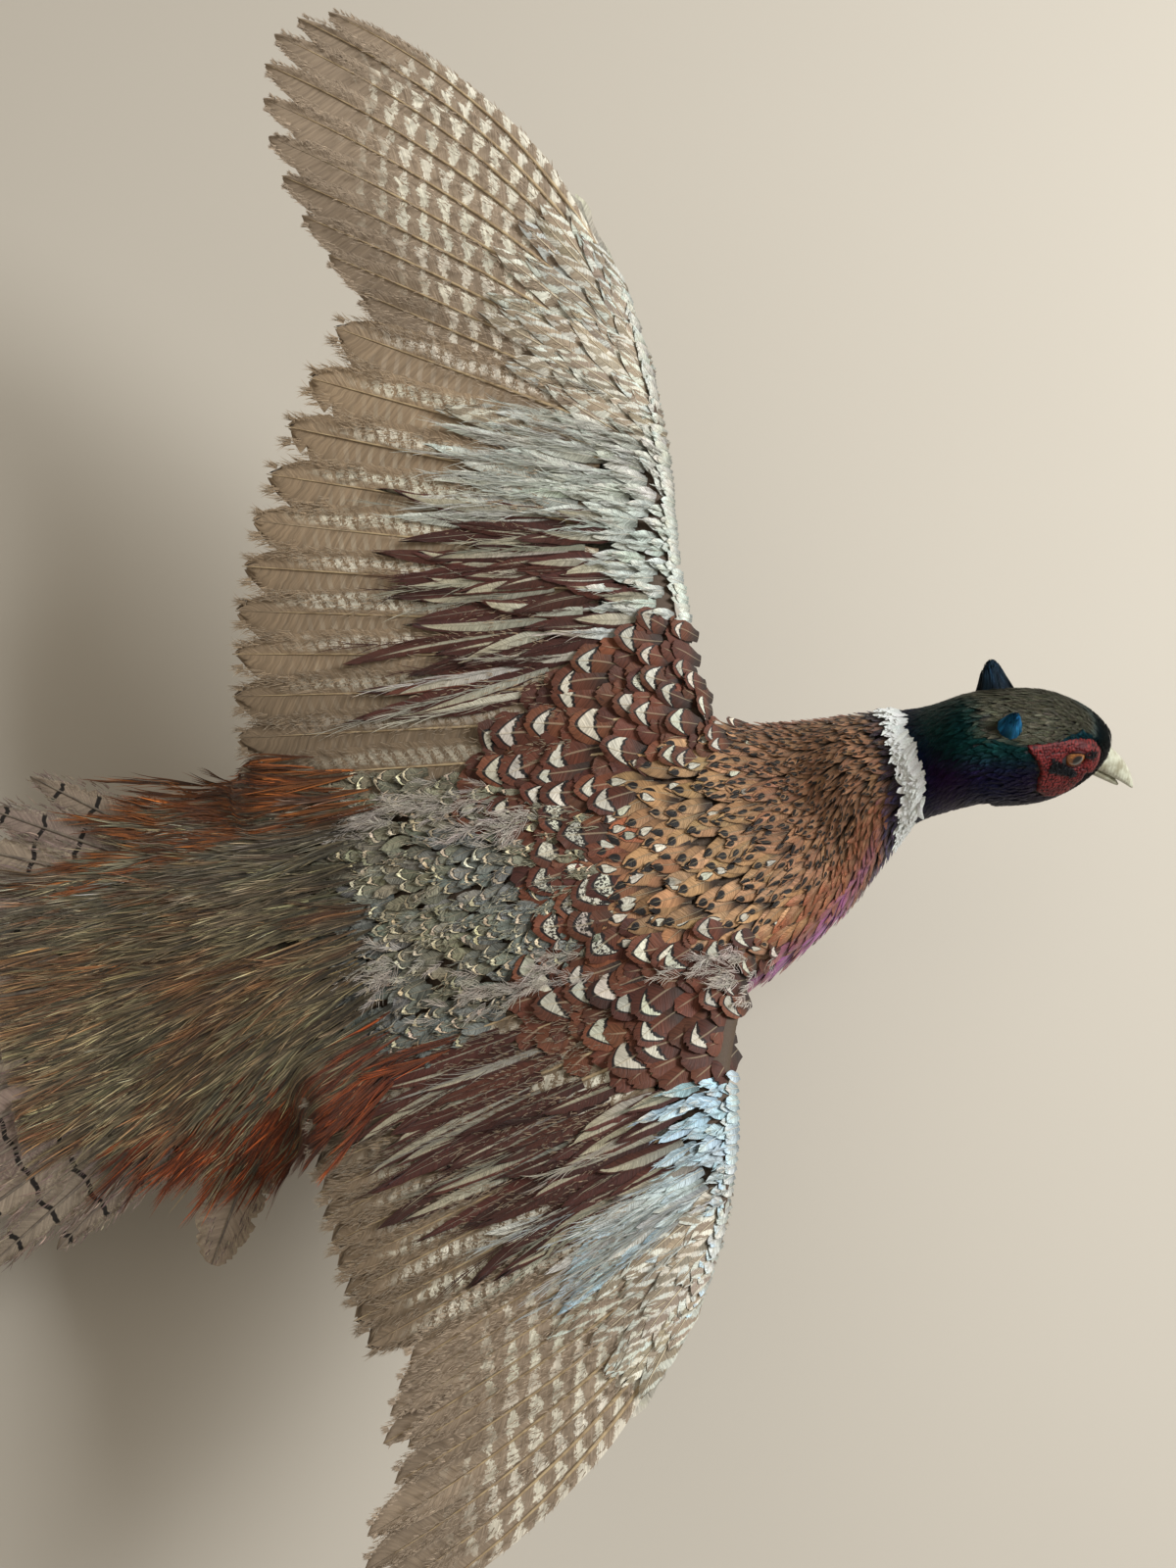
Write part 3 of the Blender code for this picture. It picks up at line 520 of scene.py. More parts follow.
class Graph:
    """Short way to write a material's nodes; most methods return a node's output."""

    def __init__(self, name: str) -> None:
        """Start a material with its Principled shader."""
        self.material = bpy.data.materials.new(name)
        self.material.use_nodes = True
        self.tree = self.material.node_tree
        self.shader = self.tree.nodes["Principled BSDF"]

    def put(self, socket: bpy.types.NodeSocket, value: object) -> None:
        """Link a socket, or set a constant on it."""
        if isinstance(value, Value):
            self.tree.links.new(value.socket, socket)
        elif isinstance(value, tuple) and socket.type == "RGBA":
            socket.default_value = (*value[:3], 1.0)
        else:
            socket.default_value = value

    def node(self, kind: str, inputs: dict, out: int | str = 0, **settings: object) -> Value:
        """One output of a new node with these settings and inputs."""
        made = self.tree.nodes.new(kind)
        for key, value in settings.items():
            setattr(made, key, value)
        for key, value in inputs.items():
            self.put(made.inputs[key], value)
        return Value(self, made.outputs[out])

    def math(self, operation: str, a: object, b: object = 0.0, c: object = 0.0) -> Value:
        """One arithmetic step."""
        return self.node("ShaderNodeMath", {0: a, 1: b, 2: c}, operation=operation)

    def sine(self, a: object) -> Value:
        """Sine of radians."""
        return self.math("SINE", a)

    def scaled(self, a: object, gain: object, offset: object) -> Value:
        """Value times a gain, plus an offset, in one step."""
        return self.math("MULTIPLY_ADD", a, gain, offset)

    def span(self, value: object, start: float, stop: float, low: float, high: float) -> Value:
        """Straight ramp from low at start to high at stop, level outside."""
        inputs = {"Value": value, "From Min": start, "From Max": stop, "To Min": low, "To Max": high}
        return self.node("ShaderNodeMapRange", inputs)

    def step(self, value: object, low: float, high: float) -> Value:
        """Smooth step from 0 at low to 1 at high."""
        inputs = {"Value": value, "From Min": low, "From Max": high}
        return self.node("ShaderNodeMapRange", inputs, interpolation_type="SMOOTHSTEP")

    def within(self, value: Value, middle: float, half: float, soft: float) -> Value:
        """1 where a value is within half of the middle, fading over soft."""
        return 1.0 - self.step(abs(value - middle), half - soft, half + soft)

    def mix(self, share: object, a: object, b: object, how: str = "MIX") -> Value:
        """Colour a and colour b by a share."""
        return self.node("ShaderNodeMix", {0: share, 6: a, 7: b}, 2, data_type="RGBA", blend_type=how)

    def vector(self, x: object, y: object, z: object = 0.0) -> Value:
        """Vector of three numbers."""
        return self.node("ShaderNodeCombineXYZ", {0: x, 1: y, 2: z})

    def stretched(self, at: object, scale: tuple[float, float, float]) -> Value:
        """A vector times a scale for each axis."""
        return self.node("ShaderNodeMapping", {"Vector": at, "Scale": scale})

    def noise(self, at: object, scale: float, detail: float = 2.0, rough: float = 0.5) -> Value:
        """Noise from 0 to 1 at a vector."""
        inputs = {"Vector": at, "Scale": scale, "Detail": detail, "Roughness": rough}
        return self.node("ShaderNodeTexNoise", inputs)

    def value(self, name: str) -> Value:
        """A float attribute."""
        return self.node("ShaderNodeAttribute", {}, "Fac", attribute_name=name)

    def colour(self, name: str) -> Value:
        """A colour attribute."""
        return self.node("ShaderNodeAttribute", {}, "Color", attribute_name=name)

    def place(self) -> Value:
        """Object coordinates."""
        return self.node("ShaderNodeTexCoord", {}, "Object")

    def bump(self, height: object, depth: float, strength: float = 1.0) -> None:
        """Bump of a height, as deep as given in metres."""
        inputs = {"Height": height, "Strength": strength, "Distance": depth}
        self.put(self.shader.inputs["Normal"], self.node("ShaderNodeBump", inputs))

    def surface(self, colour: object, roughness: object, **constants: object) -> bpy.types.Material:
        """Finish the shader and return the material."""
        self.put(self.shader.inputs["Base Color"], colour)
        self.put(self.shader.inputs["Roughness"], roughness)
        for key, value in constants.items():
            self.put(self.shader.inputs[key.replace("_", " ")], value)
        return self.material


class Marking(Enum):
    """How a feather is marked."""

    PLAIN = "plain, its far end in the second colour"
    SPOTTED = "black spot with a cream notch before the tip"
    SHIELD = "cream shield edged with black"
    SCALLOP = "cream and black chevrons"
    STRIPE = "pale centre between dark margins"
    BARRED = "mottled cream bars at a regular distance"
    STREAKED = "mottled pale streak along the leading vane"
    TAIL = "narrow black bars and speckled margins"


@dataclass(frozen=True)
class FeatherFinish:
    """Finish of one kind of feather.

    The barbs are noise stretched along lines that leave the shaft at a slant; they
    darken the colour and give the bump.  The marking is drawn in the vane's own
    coordinates: u across from -1 to 1, v along from 0 at the root to 1 at the tip.
    """

    name: str
    marking: Marking = Marking.PLAIN
    roughness: float = 0.62
    streak: float = 0.40
    fineness: float = 9.0
    shaft: tuple[float, float, float] = (0.50, 0.42, 0.28)
    shaft_width: float = 0.05
    shaft_strength: float = 0.35
    root_shade: float = 0.45
    metallic: float = 0.0
    sheen: float = 0.10
    gloss: float = 0.30
    period: float = 0.0112
    plain_from: float = 0.74

    def material(self) -> bpy.types.Material:
        """Build the material."""
        g = Graph(self.name)
        vane = g.node("ShaderNodeUVMap", {}, uv_map="Vane")
        u = g.scaled(g.node("ShaderNodeSeparateXYZ", {0: vane}, 0), 2.0, -1.0)
        v = g.node("ShaderNodeSeparateXYZ", {0: vane}, 1)
        width = abs(u)
        seed, aspect = g.value("seed"), g.value("aspect")
        along = v * aspect - width * 0.55
        side = seed * 61.0 + g.math("SIGN", u) * 3.0
        barbs = g.noise(g.vector(along * self.fineness, width * 0.7, side), 1.0, 3.0, 0.62)
        colour = self.marked(g, u, v, width, seed, along)
        light = g.span(barbs, 0.28, 0.72, 1 - self.streak, 1 + self.streak * 0.8)
        shade = g.span(v, 0.0, 0.5, 1 - self.root_shade, 1.0)
        gain = light * shade
        colour = g.mix(1.0, colour, g.node("ShaderNodeCombineColor", {0: gain, 1: gain, 2: gain}),
                       "MULTIPLY")
        rachis = g.within(u, 0.0, self.shaft_width, self.shaft_width * 0.5)
        rachis = rachis * self.shaft_strength
        colour = g.mix(rachis * (1.0 - g.step(v, 0.75, 1.0)), colour, self.shaft)
        g.bump(barbs + rachis * 1.5, 0.0004)
        return g.surface(colour, self.roughness, Metallic=self.metallic, Sheen_Weight=self.sheen,
                         Specular_IOR_Level=self.gloss)

    def marked(self, g: Graph, u: Value, v: Value, width: Value, seed: Value, along: Value) -> Value:
        """Colour of the vane before its barbs, by the kind of marking.

        Args:
            g: the material's nodes.
            u: across, -1 to 1.
            v: along, 0 to 1.
            width: distance from the shaft, 0 to 1.
            seed: a number from 0 to 1 for each feather.
            along: distance along the barbs in half widths.
        """
        tint, edge, amount = g.colour("tint"), g.colour("edge"), g.value("amount")
        ragged = (g.noise(g.vector(u * 5.0, along * 4.0, seed * 90.0), 1.0, 2.0) - 0.5) * 0.12
        if self.marking is Marking.PLAIN:
            return g.mix(g.step(v + ragged, 0.45, 0.92), tint, edge)
        if self.marking is Marking.SPOTTED:
            return self.spotted(g, u, v, tint, edge, amount, seed, ragged)
        if self.marking is Marking.SHIELD:
            return self.shield(g, u, v, tint, edge, amount, seed, ragged)
        if self.marking is Marking.SCALLOP:
            return self.scallop(g, v, width, tint, edge, amount, ragged)
        if self.marking is Marking.STRIPE:
            return self.stripe(g, u, v, tint, edge, amount, seed, ragged)
        return self.flight(g, u, v, width, tint, edge, amount, seed)

    @staticmethod
    def oval(u: Value, v: Value, centre: tuple[object, object], size: tuple[float, float]) -> Value:
        """Squared distance from a centre, in half sizes across and along."""
        across = (u - centre[0]) * (1 / size[0])
        along = (v - centre[1]) * (1 / size[1])
        return across * across + along * along

    def spotted(self, g: Graph, u: Value, v: Value, tint: Value, edge: Value, amount: Value,
                seed: Value, ragged: Value) -> Value:
        """Golden vane with a dark notch at its tip; more amount sets a cream tooth before it."""
        lean = (seed - 0.5) * 0.9
        black = 1.0 - g.step(self.oval(u, v, (lean, 0.86), (0.66, 0.165)) + ragged, 0.65, 1.1)
        rim_line = g.step(abs(u), 0.78, 1.0) * 0.5
        streak = g.within(u + ragged * 0.6, 0.0, 0.07, 0.07) * g.within(v, 0.4, 0.45, 0.15)
        widen = g.scaled(g.step(v, 0.50, 0.84), 0.55, 0.03)
        tooth = widen - abs(u + lean * -0.6)
        tooth = g.step(tooth + ragged * 0.8, 0.0, 0.06) * g.within(v, 0.71, 0.15, 0.02)
        rim = widen + 0.13 - abs(u + lean * -0.6)
        rim = g.step(rim + ragged, 0.0, 0.06) * g.within(v, 0.74, 0.17, 0.03)
        open_up = g.step(amount, 0.55, 0.62)
        # warm: painted shade, darker toward the root, where the feathers over it shade it
        warm = g.mix(g.step(v, 0.12, 0.54), (0.045, 0.028, 0.018), tint)
        colour = g.mix(g.math("MAXIMUM", streak * 0.35, rim_line), warm, (0.03, 0.018, 0.01))
        colour = g.mix(g.math("MAXIMUM", black, rim * open_up), colour, (0.008, 0.007, 0.007))
        return g.mix(tooth * open_up, colour, edge)

    def shield(self, g: Graph, u: Value, v: Value, tint: Value, edge: Value, amount: Value,
               seed: Value, ragged: Value) -> Value:
        """Chestnut vane with a pale crescent in a black line; amount speckles it.

        The crescent lies between two arcs that bend back toward the root: the one at the
        tip bends three times as much, so they meet beside the shaft.
        """
        away = u + (seed - 0.5) * 0.42
        bend = away * away
        size = g.scaled(seed, 0.12, 0.15)
        outer = g.scaled(bend, -0.38, 0.865) - v
        inner = v - (0.865 - size) + bend * 0.14
        inner = inner + ragged * 1.1
        near = g.math("MINIMUM", outer, inner)
        patch = g.step(near, 0.0, 0.022)
        line = g.step(near, -0.055, -0.035)
        specks = g.noise(g.vector(u * 9.0, v * 20.0, seed * 90.0), 1.0, 2.0, 0.6)
        specks = g.step(specks, 0.5, 0.54) * g.step(amount, 0.45, 0.85)
        pale = g.mix(specks, edge, (0.035, 0.03, 0.026))
        # warm: painted shade, darker toward the root, where the feathers over it shade it
        warm = g.mix(g.step(v, 0.10, 0.5), (0.04, 0.024, 0.018), tint)
        shown = g.step(amount, 0.02, 0.06)
        return g.mix(patch * shown, g.mix(line * shown, warm, (0.01, 0.008, 0.008)), pale)

    def scallop(self, g: Graph, v: Value, width: Value, tint: Value, edge: Value, amount: Value,
                ragged: Value) -> Value:
        """Grey-green vane with a cream chevron between black ones before the tip."""
        lobes = g.sine(width * math.pi) * -0.11
        bent = g.scaled(width, 0.18, v) + lobes + ragged * 0.6
        black = g.within(bent, 0.705, 0.028, 0.02) + g.within(bent, 0.885, 0.034, 0.02)
        cream = g.within(bent, 0.795, 0.062, 0.02) * g.step(amount, 0.2, 0.7)
        colour = g.mix(g.math("MINIMUM", black, 1.0) * g.step(amount, 0.0, 0.5), tint,
                       (0.018, 0.017, 0.014))
        return g.mix(cream, colour, edge)

    def stripe(self, g: Graph, u: Value, v: Value, tint: Value, edge: Value, amount: Value,
               seed: Value, ragged: Value) -> Value:
        """Dark chestnut vane with a pale lance along it, wider with amount, off the shaft."""
        lean = (seed - 0.5) * 0.7
        half = g.scaled(amount, 0.75, 0.08)
        off = abs(u - lean)
        inside = half + ragged - (off + g.step(v, 0.55, 1.1) * 0.25)
        pale = g.mix(g.step(v, 0.2, 0.9), edge, (0.40, 0.37, 0.26))
        return g.mix(g.step(inside, -0.06, 0.06), tint, pale)

    def flight(self, g: Graph, u: Value, v: Value, width: Value, tint: Value, edge: Value,
               amount: Value, seed: Value) -> Value:
        """Markings of the long feathers, with distances along them in metres.

        Bars follow a sine of the distance, slanted across the vane and broken by fine
        noise; each kind fades them where the real feather is plain.
        """
        far = v * g.value("reach")
        grain = g.noise(g.vector(u * 9.0, far * 900.0, seed * 80.0), 1.0, 3.0, 0.7)
        wander = g.noise(g.vector(u * 2.2, far * 60.0, seed * 50.0), 1.0, 1.0)
        if self.marking is Marking.BARRED:
            lean = u * -3.6 + width * 1.2
            wave = (far + wander * (self.period * 0.5)) * (TAU / self.period) + lean
            wave = g.sine(wave + seed * 2.0)
            wave = wave + width * 0.75
            narrow = (1.0 - abs(u)) * -0.75
            pale = g.step(wave + narrow + (grain - 0.5) * 3.4, 0.05, 0.3)
            fade = 1.0 - g.step(v + wander * 0.24, self.plain_from, self.plain_from + 0.16)
            return g.mix(pale * fade * amount, tint, edge)
        if self.marking is Marking.STREAKED:
            warp = wander * 2.4 + (u * -4.2 + grain * 1.5)
            wave = g.sine(far * (TAU / 0.0062) + warp)
            streak = g.within(u + (wander - 0.5) * 0.9, 0.42, 0.26, 0.14)
            pale = g.step(wave * 0.4 + (grain - 0.5) * 4.2, -0.25, 0.05)
            bars = g.step(u, 0.1, -0.4) * (g.step(wave, 0.1, 0.6) * 0.16)
            fade = 1.0 - g.step(v + wander * 0.2, 0.8, 1.02)
            share = (pale * streak + bars) * (fade * amount)
            return g.mix(g.math("MINIMUM", share, 1.0), tint, edge)
        speckle = g.step(grain, 0.50, 0.60)
        wave = g.sine((far + wander * 0.004) * (TAU / 0.0225) + width * -0.9)
        bar = g.step(wave, 0.9, 0.965) * (1.0 - g.step(width, 0.7, 0.92))
        margin = g.step(width, 0.4, 0.75) * 0.55
        body = g.mix(speckle * (margin + 0.18), tint, edge)
        return g.mix(bar * amount, body, (0.01, 0.008, 0.007))


# ---- feathers --------------------------------------------------------------------------
@dataclass
class Spots:
    """Where feathers grow and how each one is, as arrays of equal length.

    Args:
        root: (n, 2) parameters on a surface.
        heading: (n,) radians from the surface's first direction.
        length: (n,) metres.
        width: (n,) metres, edge to edge.
        tint: (n, 3) main colour.
        edge: (n, 3) second colour.
        amount: (n,) strength of the marking.
        sweep: (n,) sideways bend.
        rise: (n,) metres higher.
    """

    root: Array
    heading: Array
    length: Array
    width: Array
    tint: Array
    edge: Array
    amount: Array
    sweep: Array | None = None
    rise: Array | None = None

    def __post_init__(self) -> None:
        """Straight and level unless told otherwise."""
        if self.sweep is None:
            self.sweep = np.zeros(len(self.length))
        if self.rise is None:
            self.rise = np.zeros(len(self.length))

    def kept(self, mask: Array) -> "Spots":
        """Only the chosen feathers."""
        return Spots(*(getattr(self, key)[mask] for key in self.__dataclass_fields__))

    def barbs(self, surface: "Surface", draw: np.random.Generator, count: int, angle: float, reach: float,
              width: float, lift: float = 0.0, start: float = 0.10) -> "Spots":
        """Loose barbs on both sides of each feather's shaft.

        Barb k leaves the shaft at an even share of its length, at an angle that closes
        toward the tip, and bends back along the feather.

        Args:
            surface: what the feathers lie on.
            draw: random numbers.
            count: barbs for each feather.
            angle: radians at the root.
            reach: length of the first barbs as a share of the feather's.
            width: metres.
            lift: metres that the feather has risen at its tip.
            start: share of the shaft that stays bare.
        """
        n = len(self.length)
        pick = np.repeat(np.arange(n), count)
        share = np.clip(np.tile(np.linspace(start, 0.97, count), n) + draw.normal(0, 0.02, n * count), 0, 1)
        side = np.tile(np.where(np.arange(count) % 2, 1.0, -1.0), n)
        along = share * self.length[pick]
        heading = self.heading[pick]
        bend = self.sweep[pick] * share**2 * self.length[pick]
        c, s = np.cos(heading), np.sin(heading)
        step = np.stack([along * c - bend * s, along * s + bend * c], -1)
        root = self.root[pick] + step / surface.sample(surface.scales, self.root[pick])
        tilt = angle * (1 - 0.65 * share) * draw.uniform(0.65, 1.35, n * count)
        length = self.length[pick] * reach * (1 - 0.40 * share) * draw.uniform(0.75, 1.2, n * count)
        tone = np.exp(draw.normal(0, 0.20, (n * count, 1)))
        return Spots(root, heading + 2 * self.sweep[pick] * share + side * tilt, length,
                     np.full(n * count, width) * draw.uniform(0.7, 1.3, n * count),
                     np.clip(self.tint[pick] * tone, 0, 1), np.clip(self.edge[pick] * tone, 0, 1),
                     self.amount[pick], -side * tilt * 0.42, self.rise[pick] + lift * share)


def vane_steps(rows: int, cols: int) -> tuple[Array, Array]:
    """Shares along, 0 to 1, and across, -1 to 1, on the grid of a vane."""
    return np.linspace(0, 1, rows + 1)[None, :, None], np.linspace(-1, 1, cols + 1)[None, None, :]


def vane_map(n: int, v: Array, u: Array) -> Array:
    """UV map of n vanes, each over the whole unit square."""
    square = np.stack(np.broadcast_arrays((u + 1) / 2, v), axis=-1)
    return np.broadcast_to(square, (n, *square.shape[1:]))


def strip_map(vane: Array, tall: float) -> Array:
    """UV map for the export that sets long vanes side by side, each in its own strip."""
    n = len(vane)
    across = (np.arange(n)[:, None, None] + 0.04 + 0.92 * vane[..., 0]) / n
    return np.stack([across, 0.02 + tall * vane[..., 1]], -1)


@dataclass(frozen=True)
class Vane:
    """Shape shared by one kind of feather.

    The half width rises from its base share and falls at the tip as
    (1 - v to the power point) to the power close.  Over the surface the vane starts
    sunk, rises evenly by lift, curls up at the tip and falls to both edges.

    Args:
        rows: steps along.
        cols: steps across, even.
        point: sharpness of the taper; low is pointed.
        close: roundness of the tip; low is blunt.
        base: share of the width at the root.
        sink: metres under the surface at the root.
        lift: metres risen at the tip.
        curl: extra metres at the tip.
        camber: share of the half width that the edges fall.
        jag: share by which the edge is notched at random.
        bend: radians of random sideways bend.
        stray: metres of random rise of whole feathers.
    """

    rows: int = 6
    cols: int = 4
    point: float = 3.5
    close: float = 0.55
    base: float = 0.55
    sink: float = 0.0012
    lift: float = 0.0022
    curl: float = 0.0
    camber: float = 0.16
    jag: float = 0.10
    bend: float = 0.10
    stray: float = 0.0003

    def profile(self, v: Array) -> Array:
        """Half width as a share of the greatest, along the vane."""
        rise = self.base + (1 - self.base) * ease(v, 0.0, 0.45)
        return rise * (1 - (0.985 * v) ** self.point) ** self.close

    def grown(self, surface: Surface, spots: Spots, seed: int) -> Sheet:
        """All feathers of this kind as one sheet.

        Args:
            surface: what they lie on.
            spots: where and how.
            seed: of the random draws.

        Returns:
            The sheet, with its maps and marks.
        """
        draw = np.random.default_rng(seed)
        n = len(spots.length)
        v, u = vane_steps(self.rows, self.cols)
        length, half = spots.length[:, None, None], spots.width[:, None, None] / 2
        notch = 1 - self.jag * draw.random((n, self.rows + 1, self.cols + 1)) * np.abs(u) ** 3
        across = u * half * self.profile(v) * notch
        turn = draw.normal(0, 1, (n, 1, 1)) * self.bend + spots.sweep[:, None, None]
        along = v * length * (1 - self.jag * 0.6 * draw.random((n, 1, self.cols + 1)) * v**4)
        local = np.stack([along - across * turn * v, across + turn * v**2 * length], axis=-1)
        height = (-self.sink + self.lift * v + self.curl * v**3 - self.camber * half * u**2 * self.profile(v)
                  + draw.random((n, 1, 1)) * self.stray + spots.rise[:, None, None])
        points = surface.lay(spots.root, spots.heading, local, height)
        patch = vane_map(n, v, u)
        bake = surface.unwrapped(spots.root)[:, None, None, :] + (patch - 0.5) * 0.003
        return feather_sheet(points, patch, bake, spots, draw.random(n), surface.facing)

    def coat(self, surface: Surface, spots: Spots, seed: int, name: str, finish: FeatherFinish,
             slot: str) -> None:
        """Grow feathers and tie them to the body as one piece.

        Args:
            surface: what they lie on.
            spots: where and how.
            seed: of the random draws.
            name: the piece's name.
            finish: its finish.
            slot: not used.
        """
        ride(self.grown(surface, spots, seed).piece(name, finish.material()), slot)


def barb(sink: float, lift: float, bend: float, stray: float, rows: int = 4, point: float = 1.6) -> Vane:
    """Vane of a single loose barb: one narrow strip without camber or notches."""
    return Vane(rows, 1, point, 0.8, 0.8, sink=sink, lift=lift, camber=0.0, jag=0.0, bend=bend, stray=stray)


def barb_finish(name: str, roughness: float, streak: float, shade: float,
                sheen: float = 0.10) -> FeatherFinish:
    """Finish of loose barbs, which have no shaft of their own."""
    return FeatherFinish(name, Marking.PLAIN, roughness, streak, 3.0, root_shade=shade, shaft_strength=0.0,
                         sheen=sheen)


def feather_sheet(points: Array, vane: Array, bake: Array, spots: Spots, seed: Array, facing: int) -> Sheet:
    """Sheet of many grids of equal size, one for each feather.

    Args:
        points: (n, rows, cols, 3) places.
        vane: (n, rows, cols, 2) across and along, from 0 to 1.
        bake: (n, rows, cols, 2) map for the export.
        spots: the feathers' colours and sizes.
        seed: (n,) random numbers.
        facing: which way the surface's parameters turn.

    Returns:
        The sheet.
    """
    n, rows, cols, _ = points.shape
    faces = grid_faces(rows, cols)
    if facing < 0:
        faces = faces[:, ::-1]
    faces = (faces[None] + (np.arange(n) * rows * cols)[:, None, None]).reshape(-1, 4)

    def spread(values: Array) -> Array:
        """One value for each point of a feather."""
        return np.repeat(values, rows * cols, axis=0)

    return Sheet(
        points.reshape(-1, 3), faces,
        {"Vane": vane.reshape(-1, 2), "OFBake": bake.reshape(-1, 2)},
        {"tint": spread(spots.tint), "edge": spread(spots.edge), "amount": spread(spots.amount),
         "seed": spread(seed), "aspect": spread(2 * spots.length / spots.width),
         "reach": spread(spots.length)},
    )


def varied(colour: Array, n: int, draw: np.random.Generator, spread: float = 0.18) -> Array:
    """n copies of a colour, each lighter or darker and a little warmer or cooler."""
    colour = np.broadcast_to(np.asarray(colour, dtype=float), (n, 3))
    light = np.exp(draw.normal(0, spread, (n, 1)))
    return np.clip(colour * light * np.exp(draw.normal(0, spread * 0.18, (n, 3))), 0.0, 1.0)


def rings_of_roots(surface: Surface, start: float, stop: float, row_step: Callable[[float], float],
                   spacing: Callable[[float], float], draw: np.random.Generator) -> Array:
    """Staggered roots in rings round the body from one spine position to another.

    Each ring lies a row step behind the last; every second one is turned by half a
    spacing.  The steps are metres, changed to parameters by the surface's scales.

    Args:
        surface: the body.
        start: first spine position, the greater one.
        stop: last.
        row_step: metres between rings, by spine position.
        spacing: metres between neighbours, by spine position.
        draw: random numbers.

    Returns:
        (n, 2) roots.
    """
    found, t, odd = [], start, 0.0
    while t > stop:
        row = int(round(t / LAST * (surface.points.shape[0] - 1)))
        along, around = surface.scales[row, :, 0].mean(), surface.scales[row, :, 1].mean() * TAU
        count = max(int(around / spacing(t)), 8)
        turns = (np.arange(count) + odd + draw.normal(0, 0.16, count)) / count * TAU
        jitter = draw.normal(0, 0.18, count) * row_step(t) / along
        found.append(np.stack([np.full(count, t) + jitter, turns % TAU], axis=-1))
        t -= row_step(t) / along
        odd = 0.5 - odd
    roots = np.concatenate(found)
    return roots[(roots[:, 0] > stop) & (roots[:, 0] < LAST)]


def grid_of_roots(low: tuple[float, float], high: tuple[float, float], step: tuple[float, float],
                  draw: np.random.Generator, jitter: float = 0.22) -> Array:
    """Staggered roots over a rectangle of a height field, from its front backwards."""
    rows = np.arange(high[0], low[0], -step[0])
    cols = np.arange(low[1], high[1], step[1])
    p, q = np.meshgrid(rows, cols, indexing="ij")
    q = q + (np.arange(len(rows)) % 2)[:, None] * step[1] / 2
    p = p + draw.normal(0, jitter, p.shape) * step[0]
    q = q + draw.normal(0, jitter, q.shape) * step[1]
    return np.stack([p.ravel(), q.ravel()], axis=-1)


# ---- colours of the plumage --------------------------------------------------------------
def rgb(red: float, green: float, blue: float) -> Array:
    """A colour, in linear light."""
    return np.array((red, green, blue))


GOLD = rgb(0.37, 0.225, 0.110)
COPPER = rgb(0.29, 0.150, 0.080)
CHESTNUT = rgb(0.135, 0.046, 0.022)
MAROON = rgb(0.062, 0.019, 0.013)
BREAST_PURPLE = rgb(0.30, 0.10, 0.28)
CREAM = rgb(0.82, 0.80, 0.67)
SAGE = rgb(0.185, 0.180, 0.125)
BLUE_GREY = rgb(0.150, 0.168, 0.155)
DOWN_GREY = rgb(0.47, 0.43, 0.375)
OLIVE = rgb(0.200, 0.165, 0.092)
RUST = rgb(0.215, 0.066, 0.012)
BELLY = rgb(0.035, 0.024, 0.018)
WHITE = rgb(0.86, 0.92, 0.92)
NECK_GREEN = rgb(0.004, 0.024, 0.024)
NECK_NAVY = rgb(0.004, 0.008, 0.030)
NECK_PURPLE = rgb(0.016, 0.005, 0.028)
CROWN_OLIVE = rgb(0.070, 0.070, 0.050)
CROWN_TEAL = rgb(0.11, 0.19, 0.20)
SILVER = rgb(0.61, 0.69, 0.64)
SILVER_BLUE = rgb(0.47, 0.68, 0.80)
BUFF = rgb(0.67, 0.66, 0.57)
QUILL_BROWN = rgb(0.288, 0.228, 0.165)
VANE_BROWN = rgb(0.292, 0.218, 0.140)
TAIL_OLIVE = rgb(0.262, 0.216, 0.162)
TAIL_MAUVE = rgb(0.200, 0.135, 0.125)


# ---- skin -------------------------------------------------------------------------------
@dataclass(frozen=True)
class SkinFinish:
    """Finish of the skin under the coat: dark at the head, dusky brown elsewhere."""

    name: str = "skin"

    def material(self) -> bpy.types.Material:
        """Fine noise over a slow change along the bird."""
        g = Graph(self.name)
        place = g.place()
        x = g.node("ShaderNodeSeparateXYZ", {0: place})
        fine = g.noise(place, 900.0, 3.0, 0.6)
        dusk = g.mix(g.step(x, 0.150, 0.190), (0.085, 0.055, 0.032), (0.004, 0.007, 0.012))
        colour = g.mix(fine * 0.5, dusk, (0.02, 0.015, 0.012))
        g.bump(fine, 0.0004)
        return g.surface(colour, 0.7)


# ends of the left thigh
HIP, HEEL = np.array([-0.028, 0.036, 0.100]), np.array([-0.096, 0.026, 0.084])
# x, height, half width and half height of the flesh from which the tail springs
TAIL_FLESH = ((-0.064, 0.1390, 0.040, 0.0200), (-0.084, 0.1385, 0.060, 0.0200),
              (-0.100, 0.1370, 0.074, 0.0170), (-0.120, 0.1360, 0.078, 0.0135),
              (-0.150, 0.1355, 0.074, 0.0080), (-0.172, 0.1355, 0.050, 0.0040))


